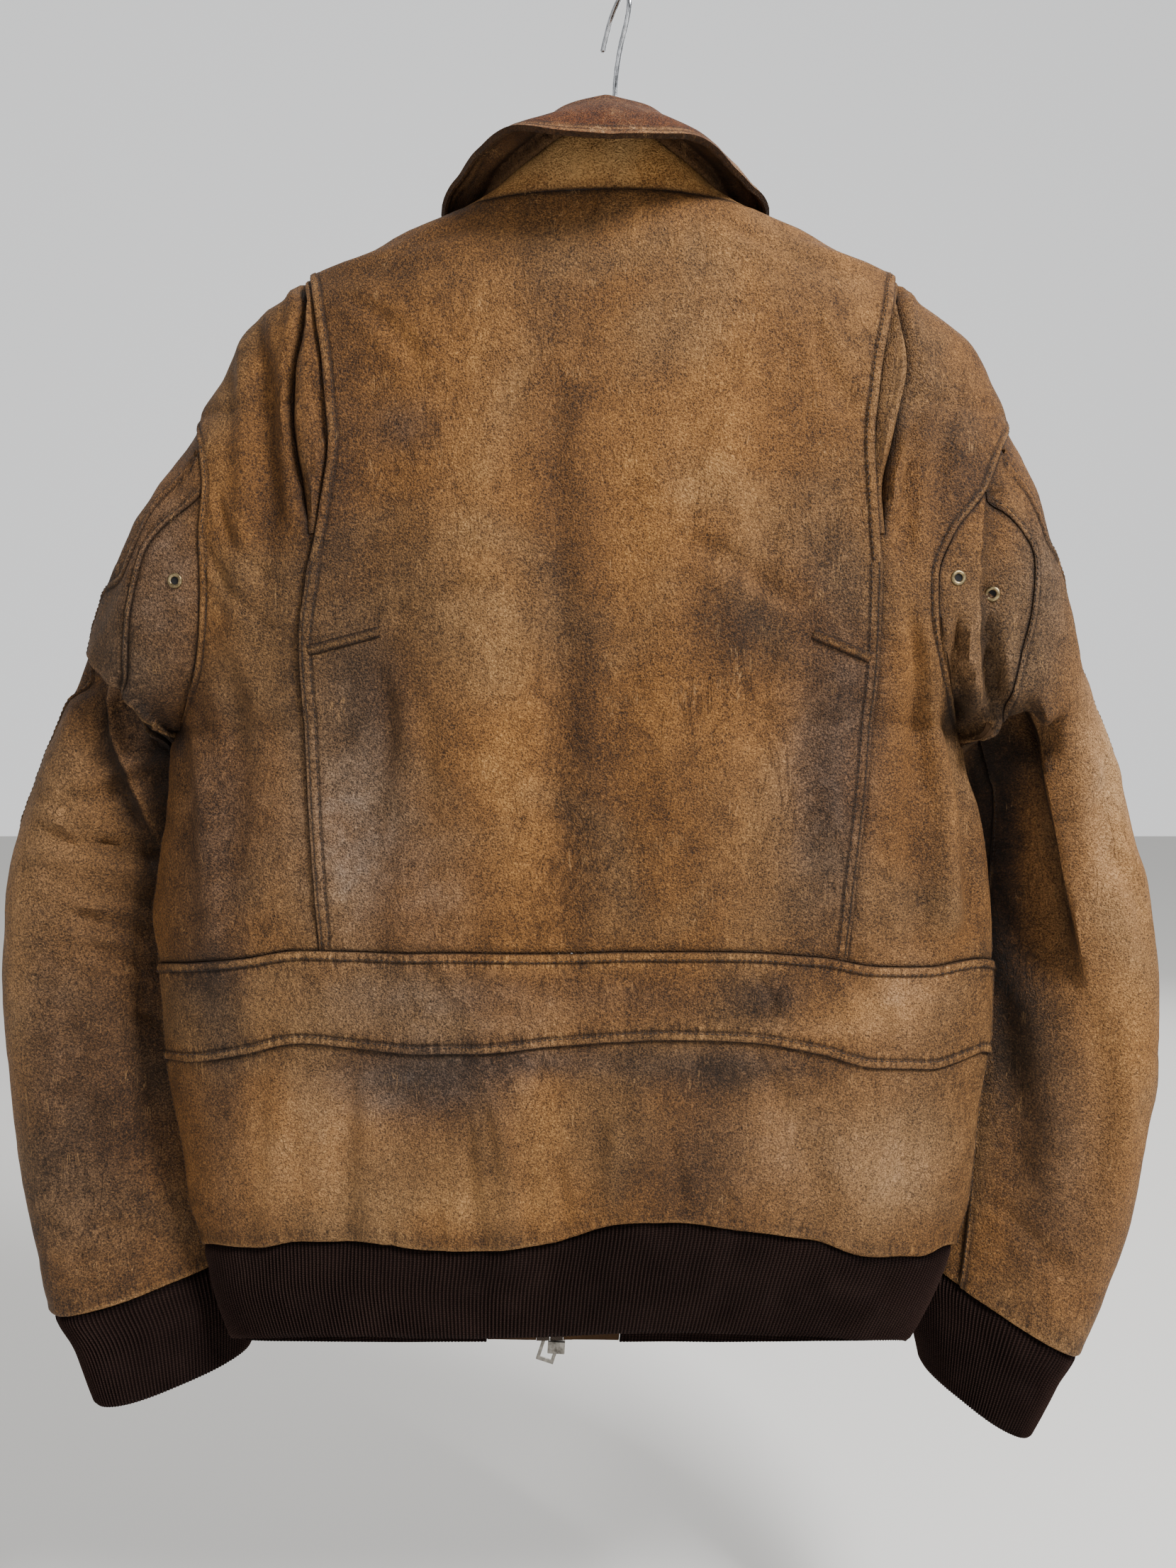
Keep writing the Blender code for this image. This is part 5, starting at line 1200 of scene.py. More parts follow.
def piece_form(name, points, seams):
    """Height of a piece over the skin without its seams' relief, in metres."""
    height = np.full(len(points), PIECE_LIFT.get(family(name), 0.0) * MM)
    for side in ("left", "right"):
        if name not in ("back_centre", "pleat_" + side, "back_side_" + side):
            continue
        edge = seams["pleat_" + side]
        distance, along = edge.measure(points, REACH)
        ends = smooth(along / 0.02) * smooth((edge.length - along) / 0.03)
        near = (1 - smooth(distance / MM / EDGE_FADE)) * ends
        if name == "back_centre":
            height += EDGE_RISE * MM * near
            continue
        fold, way = seams["fold_" + side].measure(points, REACH)
        fold = fold / MM
        ends = smooth(way / 0.015) * smooth((seams["fold_" + side].length - way) / 0.02)
        height -= CREASE_DROP * MM * np.exp(-(fold / 2.2) ** 2) * ends
        if name.startswith("pleat"):
            within = np.minimum(distance / MM, fold)
            height += ROLL_RISE * MM * smooth(within / ROLL_WIDTH) * ends - 0.6 * MM * near
        else:
            roll = bell(fold, SECOND_PLACE, 3.6)
            height += SECOND_ROLL * MM * roll * ends - 0.5 * MM * near
    return height


def boundary_edges(cells):
    """Directed edges that only one cell uses."""
    edges = np.concatenate([np.stack([faces[:, k], faces[:, (k + 1) % faces.shape[1]]], 1)
                            for faces in cells if len(faces) for k in range(faces.shape[1])])
    size = int(edges.max()) + 1
    forward = edges[:, 0].astype(np.int64) * size + edges[:, 1]
    backward = edges[:, 1].astype(np.int64) * size + edges[:, 0]
    return edges[~np.isin(forward, backward)]


def link_new(name, data):
    """An object of some data, in the scene."""
    obj = bpy.data.objects.new(name, data)
    bpy.context.scene.collection.objects.link(obj)
    return obj


def make_mesh(name, verts, faces, materials):
    """A smooth-shaded mesh object."""
    mesh = bpy.data.meshes.new(name)
    mesh.from_pydata(verts, [], faces)
    mesh.update()
    for material in materials:
        mesh.materials.append(material)
    mesh.shade_smooth()
    return link_new(name, mesh)


def paint(obj, look):
    """Stores the look of each point: tone, scuff, darkness (dark seam lines and painted shade) and
    grey.
    """
    layer = obj.data.attributes.new("look", "FLOAT_COLOR", "POINT")
    layer.data.foreach_set("color", np.clip(look, 0, 1).astype(np.float32).ravel())


def note(obj, name, values):
    """Stores three numbers with each outer and inner point."""
    layer = obj.data.attributes.new(name, "FLOAT_VECTOR", "POINT")
    layer.data.foreach_set("vector", np.tile(values, (2, 1)).astype(np.float32).ravel())


def shell(name, points, normals, cells, outer_lift, inner_lift, look, materials):
    """A closed wall on a piece's cells, drawn in by half the seam gap all round."""
    used = np.unique(np.concatenate([faces.ravel() for faces in cells]))
    cells = [np.searchsorted(used, faces) for faces in cells]
    points, normals = points[used], normals[used]
    edges = boundary_edges(cells)
    along = points[edges[:, 1]] - points[edges[:, 0]]
    total = np.zeros_like(points)
    for k in (0, 1):
        way = np.cross(normals[edges[:, k]], along)
        way /= np.maximum(np.linalg.norm(way, axis=1, keepdims=True), 1e-12)
        np.add.at(total, edges[:, k], way)
    spread = np.maximum(0.5 * np.sum(total**2, axis=1, keepdims=True), 0.45)
    points = points + 0.5 * SEAM_GAP * total / spread
    outer = points + normals * outer_lift[:, None]
    inner = points + normals * inner_lift[:, None]
    count = len(used)
    faces = []
    for part in cells:
        faces += part.tolist()
    outside = len(faces)
    for part in cells:
        faces += (part[:, ::-1] + count).tolist()
    inside = len(faces)
    rim = np.stack([edges[:, 1], edges[:, 0], edges[:, 0] + count, edges[:, 1] + count], 1)
    faces += rim.tolist()
    obj = make_mesh(name, np.concatenate([outer, inner]).tolist(), faces, materials)
    slots = np.zeros(len(faces), dtype=np.int32)
    slots[outside:inside] = len(materials) - 1
    obj.data.polygons.foreach_set("material_index", slots)
    obj.data.set_sharp_from_angle(angle=HARD_EDGE)
    paint(obj, np.concatenate([look, look]))
    return obj


def cloth_piece(skin, seams, name, wall, materials):
    """One sewn piece with the relief and look of its seams."""
    cells = skin.cells[name]
    used = np.unique(np.concatenate([faces.ravel() for faces in cells]))
    points, normals = skin.points[used], skin.normals[used]
    form = piece_form(name, points, seams)
    look = paint_marks(points, normals, skin.group[used])
    relief = np.zeros(len(points))
    sewn = np.tile([0.0, 30.0, 0.0], (len(points), 1))
    for seed, (line, over, edge_form, under, _) in enumerate(SEWN):
        for pieces, make in ((over, edge_form), (under, underneath)):
            if name in pieces:
                distance, along = seams[line].measure(points, REACH)
                line_points = np.stack([along, 0 * along, 0 * along], axis=1)
                height, wear, dark = make(distance / MM, line_points, seed)
                near = 1 - smooth((distance / REACH - 0.85) / 0.15)
                relief += height * near
                look[:, 1] = np.maximum(look[:, 1], wear * near)
                # darkness: dark seam lines and stitch rows, and painted shade below lips, under edges
                # and at the pleats' folds
                look[:, 2] = np.maximum(look[:, 2], dark * near)
                closer = distance / MM < sewn[:, 1]
                pull = PULLS.get(make, 0.35)
                rows = np.stack([along / MM + 40 * seed, distance / MM, pull * near], 1)
                sewn[closer] = rows[closer]
    relief = np.clip(relief, -DEEPEST_GROOVE, HIGHEST_ROLL)
    obj = shell(name + "_cloth", skin.points, skin.normals, cells, form + relief,
                form - wall + 0.3 * np.minimum(relief, 0), look, materials)
    note(obj, "sewn", sewn)
    # fold: how far each point lies behind its nearest fold edge, for the painted shadow and painted
    # highlight there
    note(obj, "fold", np.hstack([skin.folds[used], np.zeros((len(used), 1))]))
    return obj


# ---------------------------------------------------------------- stitches
STITCH = np.array([(-1.25, -0.4, 0.1), (-0.8, 0.0, 0.22), (0.0, 0.1, 0.26),
                   (0.8, 0.0, 0.22), (1.25, -0.4, 0.1)])  # mm along, up, and radius
STITCH_SIDES = 4
THREAD_SEARCH = 6 * MM       # how far from a seam the leather under its thread may be
THREAD_MISS = 3 * MM         # a stitch that would lie farther off than this is left out


def stitch_shape():
    """One stitch: a bent round thread whose ends dip into the leather."""
    verts = []
    for along, up, radius in STITCH:
        for k in range(STITCH_SIDES):
            turn = 2 * math.pi * k / STITCH_SIDES
            verts.append((along, radius * math.cos(turn), up + radius * math.sin(turn)))
    faces = []
    for i in range(len(STITCH) - 1):
        for k in range(STITCH_SIDES):
            a = i * STITCH_SIDES + k
            b = i * STITCH_SIDES + (k + 1) % STITCH_SIDES
            faces.append((a, a + STITCH_SIDES, b + STITCH_SIDES, b))
    last = (len(STITCH) - 1) * STITCH_SIDES
    faces.append(tuple(range(STITCH_SIDES)))
    faces.append(tuple(reversed(range(last, last + STITCH_SIDES))))
    return np.array(verts) * MM, faces


def scatter(name, shape, places, materials):
    """One joined mesh of copies of a small shape, each at a place with its own three axes."""
    verts, faces = shape
    everything = []
    rings = []
    for i, (place, axes) in enumerate(places):
        everything.append(np.asarray(place) + verts @ np.asarray(axes))
        rings += [tuple(k + i * len(verts) for k in ring) for ring in faces]
    return make_mesh(name, np.concatenate(everything).tolist(), rings, materials)


def surface_of(obj, count):
    """A search tree of the first faces of a piece, its outside."""
    mesh = obj.data
    verts = [v.co.copy() for v in mesh.vertices]
    faces = [tuple(mesh.polygons[i].vertices) for i in range(count)]
    return BVHTree.FromPolygons(verts, faces)


def stitch_places(seam, tree, offset, pitch=STITCH_PITCH, start=0.0, end=math.inf):
    """Places and axes of stitches at an offset from a seam, lying on a piece."""
    places = []
    for k in range(int(start / pitch), max(1, int(min(seam.length, end) / pitch))):
        i = int(np.searchsorted(seam.along, (k + 0.5) * pitch))
        if i >= len(seam.points):
            break
        point, way = Vector(seam.points[i]), Vector(seam.ways[i])
        place, normal, _, _ = tree.find_nearest(point, THREAD_SEARCH)
        if place is None:
            continue
        best = None
        for sign in (-1, 1):
            target = point + normal.cross(way).normalized() * sign * offset
            hit, facing, _, gap = tree.find_nearest(target, THREAD_SEARCH)
            if hit is not None and (best is None or gap < best[0]):
                best = (gap, hit, facing)
        if best is None or best[0] > THREAD_MISS:
            continue
        _, hit, facing = best
        along = (way - facing * way.dot(facing)).normalized()
        side = facing.cross(along)
        places.append((np.array(hit), np.array([along, side, facing])))
    return places


# ---------------------------------------------------------------- knit
RIB = 2.3             # mm round the knit from one rib to the next
RIB_STEPS = 4         # points across a rib
RIB_HEIGHT = 1.0      # mm
KNIT_IN = -0.8        # the knit lies this far inside the leather's skin, mm
GATHER = 14.0         # mm below the leather where the gathered ribs straighten


def even_columns(rows, count, closed):
    """Each row of points read again at even steps along it."""
    result = []
    for line in rows:
        if closed:
            line = np.concatenate([line, line[:1]])
        lengths = lengths_along(line)
        stops = np.linspace(0, lengths[-1], count + 1)
        stops = stops[:-1] if closed else stops
        result.append(np.stack([np.interp(stops, lengths, line[:, k]) for k in range(3)], 1))
    return np.array(result)


def knit_band(name, grid, drops, closed, flip, outward_swell, materials):
    """A ribbed band from rows of even columns, each row this many mm below the leather."""
    rows, columns = grid.shape[:2]
    ids = np.arange(rows * columns).reshape(rows, columns)
    if closed:
        ids = np.hstack([ids, ids[:, :1]])
    quads = grid_cells(ids)
    quads = quads[:, ::-1] if flip else quads
    cells = [quads]
    points = grid.reshape(-1, 3) * MM + DATUM
    normals = surface_normals(points, cells)
    drop = np.repeat(drops, columns)
    column = np.tile(np.arange(columns), rows)
    rib = np.array([1.0, 0.42, 0.0, 0.42])[column % RIB_STEPS]
    place = np.stack([column * RIB * MM / RIB_STEPS, drop * MM, 0 * drop], 1)
    uneven = 1 + 0.35 * soft_noise(place, 0.012, 31)
    pinch = np.exp(-(drop / 3.0) ** 2)
    waves = soft_noise(place * np.array([1, 0.25, 1]), 0.011, 33) * np.exp(-(drop / GATHER) ** 2)
    slack = 0.5 * soft_noise(place * np.array([1, 0.5, 1]), 0.035, 35)
    swell = outward_swell * np.sin(np.clip(drop / drops[-1], 0, 1) * math.pi)
    roll = -1.2 * smooth((drop - (drops[-1] - 3.0)) / 3.0)
    lift = KNIT_IN + RIB_HEIGHT * (rib - 0.5) * uneven - 1.2 * pinch + 1.1 * waves + slack
    lift = lift + swell + roll
    wall = KNIT / MM - 0.6 + 0.4 * rib
    look = np.zeros((len(points), 4))
    # painted light and shade of the ribs: crowns lighter, valleys darker
    look[:, 0] = 0.05 + 0.9 * rib
    # painted shadow at the top of the knit, where it runs in under the leather
    look[:, 2] = 0.8 * pinch
    return shell(name, points, normals, cells, lift * MM, (lift - wall) * MM, look, materials)


def waistband_grid():
    """Rows of the waistband from the wearer's right tab round the back to the left one."""
    drops = np.concatenate([[0, 1, 2.2, 3.6, 5, 7, 9, 11.5], np.linspace(14, 57, 15), [58.6, 60]])
    rows = []
    share = TAB_SHARE + (1 - TAB_SHARE) * (1 - (1 - np.linspace(0, 1, 60)) ** 2)
    for drop in drops:
        z = HEM - drop
        left, right = look_up(BODY, "left", z), look_up(BODY, "right", z)
        inner_right, inner_left = front_edge(z, 1), front_edge(z, -1)
        across = 0.5 * (1 - np.cos(np.linspace(0, math.pi, 240)))
        parts = [body_points(1, z, inner_right + (right - inner_right) * share),
                 body_points(-1, z, right + (left - right) * across)[1:-1],
                 body_points(1, z, inner_left + (left - inner_left) * share[::-1])]
        rows.append(np.concatenate(parts))
    return rows, drops


def cuff_grid(side):
    """Closed rows of a cuff, from the sleeve's end down."""
    data = SLEEVE_LEFT if side < 0 else SLEEVE_RIGHT
    marks = CUFF_RING + np.concatenate([[0, 0.02, 0.045, 0.08, 0.12, 0.17, 0.24, 0.32],
                                        np.linspace(0.4, 1.92, 17), [1.965, 2.0]])
    angles = np.arange(0, 360, 2.0)
    rows = [sleeve_points(data, mark + 0 * angles, angles) for mark in marks]
    middle = np.array([row.mean(axis=0) for row in rows])
    drops = lengths_along(middle)
    return rows, drops


# ---------------------------------------------------------------- hanger and hook
# The hook's wire in its own plane: distance out from the stem, and height.
HOOK = table(
    "out z",
    (0, -114.1),
    (0, -90),
    (0, -66),
    (2, -53),
    (7, -41),
    (14, -31),
    (17, -23),
    (15, -16),
    (10, -13.5),
    (3, -15),
    (-5, -20),
    (-11, -27),
    (-15, -33),
)
STEM_X = 7            # the stem's place along the shoulders' line
ARM_ROWS = (-214, -150)     # the hanger's arms rest under the shoulder ridge between these rows
# The hanger bar between the neck's sides, below its top at the stem.
HANGER_NECK = table(
    "x z",
    (-80, -150),
    (-45, -136),
    (-15, -123),
    (7, -119),
    (30, -123),
    (52, -136),
    (84, -150),
)


def smooth_path(points, steps):
    """Catmull-Rom curve through a list of points."""
    ends = [2 * points[0] - points[1], *points, 2 * points[-1] - points[-2]]
    path = []
    for i in range(1, len(ends) - 2):
        a, b, c, d = ends[i - 1:i + 3]
        for k in range(steps):
            path.append(curve_between(a, b, c, d, k / steps))
    return [*path, points[-1]]


def round_bar(name, path, radii, sides, materials):
    """A round bar along points, closed by small domes."""
    path = [np.asarray(point, float) for point in path]
    start = path[0] - (path[1] - path[0]) / np.linalg.norm(path[1] - path[0]) * radii[0] * 0.5
    end = path[-1] + (path[-1] - path[-2]) / np.linalg.norm(path[-1] - path[-2]) * radii[-1] * 0.5
    path = [start, *path, end]
    radii = [0.55 * radii[0], *radii, 0.55 * radii[-1]]
    verts = []
    for i, point in enumerate(path):
        way = Vector(path[min(i + 1, len(path) - 1)] - path[max(i - 1, 0)]).normalized()
        first = (Vector((0, 1, 0)) - way * way.y).normalized()
        second = way.cross(first)
        for k in range(sides):
            turn = 2 * math.pi * k / sides
            out = first * math.cos(turn) + second * math.sin(turn)
            verts.append(tuple(Vector(point) + out * radii[i]))
    faces = [(i * sides + k, i * sides + (k + 1) % sides, (i + 1) * sides + (k + 1) % sides,
              (i + 1) * sides + k) for i in range(len(path) - 1) for k in range(sides)]
    faces.append(tuple(reversed(range(sides))))
    last = (len(path) - 1) * sides
    faces.append(tuple(range(last, last + sides)))
    return make_mesh(name, verts, faces, materials)


def build_hook(materials):
    """The wire hook, bent in its own plane."""
    turn = math.radians(HOOK_TURN)
    points = []
    for out, z in zip(HOOK["out"], HOOK["z"]):
        place = np.array([STEM_X + out * math.cos(turn), -out * math.sin(turn), z])
        points.append(place * MM + DATUM)
    path = smooth_path(points, 8)
    return round_bar("hook_wire", path, [0.5 * HOOK_WIRE] * len(path), 20, materials)


def build_hanger(skin, materials):
    """A plain round hanger just under the shoulder ridges."""
    drop = LEATHER + REST_GAP + HANGER_RADIUS
    arms = {}
    for side, name in SIDES:
        ids = skin.lines["ridge_" + name]
        heights = (skin.points[ids, 2] - DATUM[2]) / MM
        marks = [z for z in ROWS if ARM_ROWS[0] <= z <= ARM_ROWS[1]]
        picks = [int(np.argmin(np.abs(heights - z))) for z in marks]
        arms[side] = [skin.rest_points[ids[k]] - skin.rest_normals[ids[k]] * drop for k in picks]
    neck = [np.array([x, 0, z]) * MM + DATUM for x, z in zip(HANGER_NECK["x"], HANGER_NECK["z"])]
    points = [*arms[-1][::-1], *neck, *arms[1]]
    for point in points:
        point[1] = DATUM[1]
    path = smooth_path(points, 4)
    radii = [HANGER_RADIUS] * len(path)
    radii[0] = radii[-1] = 0.6 * HANGER_RADIUS
    return round_bar("hanger_bar", path, radii, 24, materials)


# ---------------------------------------------------------------- metal parts
def eased_copy(node, name, width, materials):
    """A copy of a solid's mesh with eased edges, as cast or stamped metal has."""
    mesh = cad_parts[node].data.copy()
    mesh.materials.clear()
    for material in materials:
        mesh.materials.append(material)
    obj = link_new(name, mesh)
    obj.matrix_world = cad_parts[node].matrix_world.copy()
    shape = bmesh.new()
    shape.from_mesh(mesh)
    bmesh.ops.remove_doubles(shape, verts=shape.verts, dist=WELD)
    bmesh.ops.dissolve_limit(shape, angle_limit=math.radians(1), verts=shape.verts,
                             edges=shape.edges)
    sharp = [edge for edge in shape.edges if edge.calc_face_angle(0) > math.radians(30)]
    bmesh.ops.bevel(shape, geom=sharp, offset=width, segments=3, profile=0.5, affect="EDGES",
                    clamp_overlap=True)
    shape.to_mesh(mesh)
    shape.free()
    mesh.polygons.foreach_set("material_index", [0] * len(mesh.polygons))
    mesh.shade_smooth()
    mesh.set_sharp_from_angle(angle=math.radians(35))
    return obj


TOOTH_PITCH = 2.5 * MM
TOOTH = np.array([2.7, 1.25, 2.3]) * MM      # across the tape, along it and through it
TOOTH_BACK = 0.55                            # share of a tooth behind its tape's edge
CHAIN_FOOT = 8 * MM                          # from the tape's foot up to the first tooth
CHAIN_BARE = 12 * MM                         # of the tape's length carries no teeth


def tooth_shape():
    """One zip tooth: a stamped block with a rounder head."""
    mesh = bmesh.new()
    bmesh.ops.create_cube(mesh, size=1.0)
    for vert in mesh.verts:
        if vert.co.x > 0:
            vert.co.y *= 0.72
    bmesh.ops.bevel(mesh, geom=list(mesh.edges), offset=0.14, segments=2, profile=0.5,
                    affect="EDGES")
    verts = np.array([tuple(vert.co) for vert in mesh.verts])
    verts[:, 0] += 0.5 - TOOTH_BACK
    mesh.verts.index_update()
    faces = [tuple(vert.index for vert in face.verts) for face in mesh.faces]
    mesh.free()
    return verts * TOOTH, faces


def tooth_places(seams, side, name):
    """Places and axes of one chain's teeth, from its foot up."""
    seam = seams["chain_" + name]
    edge = seams["zip_" + name]
    places = []
    start = 0.0 if side < 0 else 0.5
    for k in range(int((seam.length - CHAIN_BARE) / TOOTH_PITCH)):
        i = int(np.searchsorted(seam.along, seam.length - CHAIN_FOOT - (k + start) * TOOTH_PITCH))
        place, way = seam.points[i], -seam.ways[i]
        _, near, _ = edge.tree.find(place)
        across = place - edge.points[near]
        across = across - way * (across @ way)
        across /= np.linalg.norm(across)
        out = np.cross(across, way)
        out = out if out[1] > 0 else -out
        places.append((place - 0.2 * MM * out, np.array([across, way, out])))
    return places


EYELET_PROFILE = ((2.1, -0.5), (2.15, 0.45), (2.5, 0.85), (3.1, 1.0), (3.7, 0.85), (4.2, 0.4),
                  (4.3, 0.02), (3.9, -0.15), (2.8, -0.25))  # mm out and up
EYELET_HOLE = ((2.2, 0.30), (1.9, 0.12))     # the dark disc of painted shade that stands for the hole
EYELET_TURNS = 32


def build_eyelet(node, name, tree, materials):
    """A rolled metal ring, seated on the leather where its solid is."""
    low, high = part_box(node)
    middle = 0.5 * (Vector(low) + Vector(high))
    place, facing, _, _ = tree.find_nearest(middle)
    place = place + facing * 0.15 * MM
    along = facing.orthogonal().normalized()
    side = facing.cross(along)
    verts = []

    def lay(i, radius, height):
        turn = 2 * math.pi * i / EYELET_TURNS
        out = along * math.cos(turn) + side * math.sin(turn)
        verts.append(tuple(place + out * radius * MM + facing * height * MM))

    for i in range(EYELET_TURNS):
        for radius, height in EYELET_PROFILE:
            lay(i, radius, height)
    size = len(EYELET_PROFILE)
    faces = []
    for i in range(EYELET_TURNS):
        after = (i + 1) % EYELET_TURNS
        for k in range(size):
            nxt = (k + 1) % size
            faces.append((i * size + k, i * size + nxt, after * size + nxt, after * size + k))
    # the dark disc of painted shade inside the ring
    hole = len(verts)
    for radius, height in EYELET_HOLE:
        for i in range(EYELET_TURNS):
            lay(i, radius, height)
    for i in range(EYELET_TURNS):
        after = (i + 1) % EYELET_TURNS
        low = hole + EYELET_TURNS
        faces.append((hole + after, hole + i, low + i, low + after))
    faces.append(tuple(range(hole + 2 * EYELET_TURNS - 1, hole + EYELET_TURNS - 1, -1)))
    obj = make_mesh(name, verts, [face[::-1] for face in faces], materials)
    ring_faces = EYELET_TURNS * size
    slots = [0 if i < ring_faces else 1 for i in range(len(faces))]
    obj.data.polygons.foreach_set("material_index", slots)
    return obj


# ---------------------------------------------------------------- welts at the pleats' feet
DARTS = table(
    "side x_outer z_outer x_inner z_inner",
    (-1, -161, -388, -122, -378),
    (1, 146, -392, 114, -379),
)
DART_WIDTH = 6.4
DART_WALL = 0.9
DART_PITCH = 3.4 * MM


def build_dart(tree, row, materials):
    """A narrow stitched welt on the centre back.  Returns it and its two stitch lines."""
    start = np.array([DARTS["x_outer"][row], DARTS["z_outer"][row]])
    end = np.array([DARTS["x_inner"][row], DARTS["z_inner"][row]])
    way = (end - start) / np.linalg.norm(end - start)
    across = np.array([-way[1], way[0]])
    steps = max(8, int(np.linalg.norm(end - start) / 0.9))
    widths = np.linspace(-0.5, 0.5, 11)
    grid = []
    for i in range(steps + 1):
        line = []
        for width in widths:
            flat = start + (end - start) * i / steps + across * width * DART_WIDTH
            origin = Vector((flat[0] * MM, -0.5, flat[1] * MM)) + Vector(DATUM)
            hit, _, _, _ = tree.ray_cast(origin, Vector((0, 1, 0)))
            line.append(hit)
        grid.append(line)
    grid = np.array(grid)
    ids = np.arange(grid[..., 0].size).reshape(grid.shape[:2])
    quads = grid_cells(ids)
    points = grid.reshape(-1, 3)
    normals = surface_normals(points, [quads])
    if normals[:, 1].mean() > 0:
        quads = quads[:, ::-1]
        normals = -normals
    width = np.tile(widths, steps + 1)
    along = np.repeat(np.arange(steps + 1) / steps, len(widths))
    ends = smooth(along / 0.06) * smooth((1 - along) / 0.06)
    crown = smooth((0.5 - np.abs(width)) / 0.16)
    groove = bell(np.abs(width), 0.36, 0.07)
    lift = 0.15 + (DART_WALL + 0.25) * crown * (0.5 + 0.5 * ends) - 0.35 * groove
    look = np.zeros((len(points), 4))
    look[:, 0] = 0.30
    look[:, 1] = 0.35 * np.exp(-(width / 0.14) ** 2)
    look[:, 2] = 0.85 * groove + 0.7 * (1 - crown)
    name = "dart_left_welt" if DARTS["side"][row] < 0 else "dart_right_welt"
    obj = shell(name, points, normals, [quads], lift * MM, 0 * lift + 0.02 * MM, look, materials)
    lines = [Seam(grid[:, k]) for k in (1, len(widths) - 2)]
    return obj, lines


# ---------------------------------------------------------------- finishes
def new_finish(name):
    """A new material, its node tree and its shader."""
    material = bpy.data.materials.new(name)
    material.use_nodes = True
    return material, material.node_tree, material.node_tree.nodes["Principled BSDF"]


def put(tree, kind, inputs=None, **settings):
    """Adds a shader node.  A socket given as an input is linked, and any other value is set."""
    node = tree.nodes.new("ShaderNode" + kind)
    for key, value in settings.items():
        setattr(node, key, value)
    for key, value in (inputs or {}).items():
        if isinstance(value, bpy.types.NodeSocket):
            tree.links.new(value, node.inputs[key])
        else:
            node.inputs[key].default_value = value
    return node


def finish(name, build, roughness, strength, depth, specular=0.5):
    """A finish whose build function gives its shade and its height for the bump."""
    material, tree, shader = new_finish(name)
    place = put(tree, "TexCoord").outputs["Object"]
    shade, height = build(tree, place)
    tree.links.new(shade, shader.inputs["Base Color"])
    shader.inputs["Roughness"].default_value = roughness
    shader.inputs["Specular IOR Level"].default_value = specular
    bump = put(tree, "Bump", {"Strength": strength, "Distance": depth, "Height": height})
    tree.links.new(bump.outputs[0], shader.inputs["Normal"])
    return material


def maths(tree, operation, *values, clamp=False):
    """Result of a Math node."""
    node = put(tree, "Math", dict(enumerate(values)), operation=operation, use_clamp=clamp)
    return node.outputs[0]


def blend(tree, factor, first, second, mode="MIX"):
    """Mixture of two shades."""
    node = put(tree, "Mix", {0: factor, 6: first, 7: second}, data_type="RGBA", blend_type=mode)
    return node.outputs[2]


def noise(tree, place, scale, detail=3.0, roughness=0.55, distortion=0.0):
    """Value of a noise texture at a place."""
    return put(tree, "TexNoise", {"Vector": place, "Scale": scale, "Detail": detail,
                                  "Roughness": roughness, "Distortion": distortion}).outputs[0]


def colour(red, green, blue):
    """Linear colour of a screen colour given from 0 to 255."""
    channels = [value / 255 for value in (red, green, blue)]
    linear = [c / 12.92 if c <= 0.04045 else ((c + 0.055) / 1.055) ** 2.4 for c in channels]
    return (*linear, 1.0)


def ramp(tree, value, stops):
    """Shade that a ramp of stops gives for a value."""
    node = put(tree, "ValToRGB", {0: value})
    elements = node.color_ramp.elements
    while len(elements) < len(stops):
        elements.new(0.5)
    for element, (place, shade) in zip(elements, stops):
        element.position = place
        element.color = shade
    return node.outputs[0]


def step(tree, value, start, end):
    """A soft rise from 0 at start to 1 at end."""
    node = put(tree, "MapRange", {0: value, 1: start, 2: end, 3: 0.0, 4: 1.0},
               interpolation_type="SMOOTHSTEP")
    return node.outputs[0]


def weighted(tree, total, *layers):
    """Adds each layer times its weight to a total."""
    for layer, weight in layers:
        total = maths(tree, "MULTIPLY_ADD", layer, weight, total)
    return total


def recast(tree, shade, hue, saturation, value):
    """A shade turned in hue and strength."""
    return put(tree, "HueSaturation", {"Hue": hue, "Saturation": saturation, "Value": value,
                                       "Color": shade}).outputs[0]


def stretched(tree, place, scale, turn=(0.0, 0.0, 0.0)):
    """Places scaled by axis, so that a texture read there is drawn out."""
    return put(tree, "Mapping", {"Vector": place, "Rotation": turn, "Scale": scale}).outputs[0]


def tint(tree, shade, amount, strength, over):
    """Lays another shade over one, by an amount."""
    return blend(tree, maths(tree, "MULTIPLY", amount, strength), shade, over)


def shades(*stops):
    """Stops of a ramp, each a place and a screen colour."""
    return [(place, colour(*channels)) for place, *channels in stops]


def read_look(tree):
    """Sockets of the painted look: tone, scuff, darkness (dark seam lines and painted shade) and grey.
    """
    node = put(tree, "Attribute", attribute_name="look")
    split = put(tree, "SeparateColor", {0: node.outputs["Color"]})
    return split.outputs[0], split.outputs[1], split.outputs[2], node.outputs["Alpha"]


LEATHER_SHADES = shades((0.0, 20, 12, 6), (0.25, 53, 34, 18), (0.42, 83, 55, 28),
                        (0.56, 108, 73, 38), (0.74, 138, 96, 52), (1.0, 182, 137, 82))
COLLAR_SHADES = shades((0.0, 20, 10, 5), (0.25, 42, 20, 8), (0.42, 62, 31, 12), (0.56, 82, 43, 17),
                       (0.74, 104, 60, 27), (1.0, 146, 100, 58))
# The leaf's underside: the collar leather darkened, as painted shade under the leaf.
COLLAR_UNDERSIDE_SHADE_STOPS = shades((0.0, 12, 7, 4), (0.4, 40, 25, 13), (0.7, 62, 40, 21),
                            (1.0, 84, 57, 32))
MIDDLE_VALUE = 1.195         # brings the mean of the layers to the ramp's middle


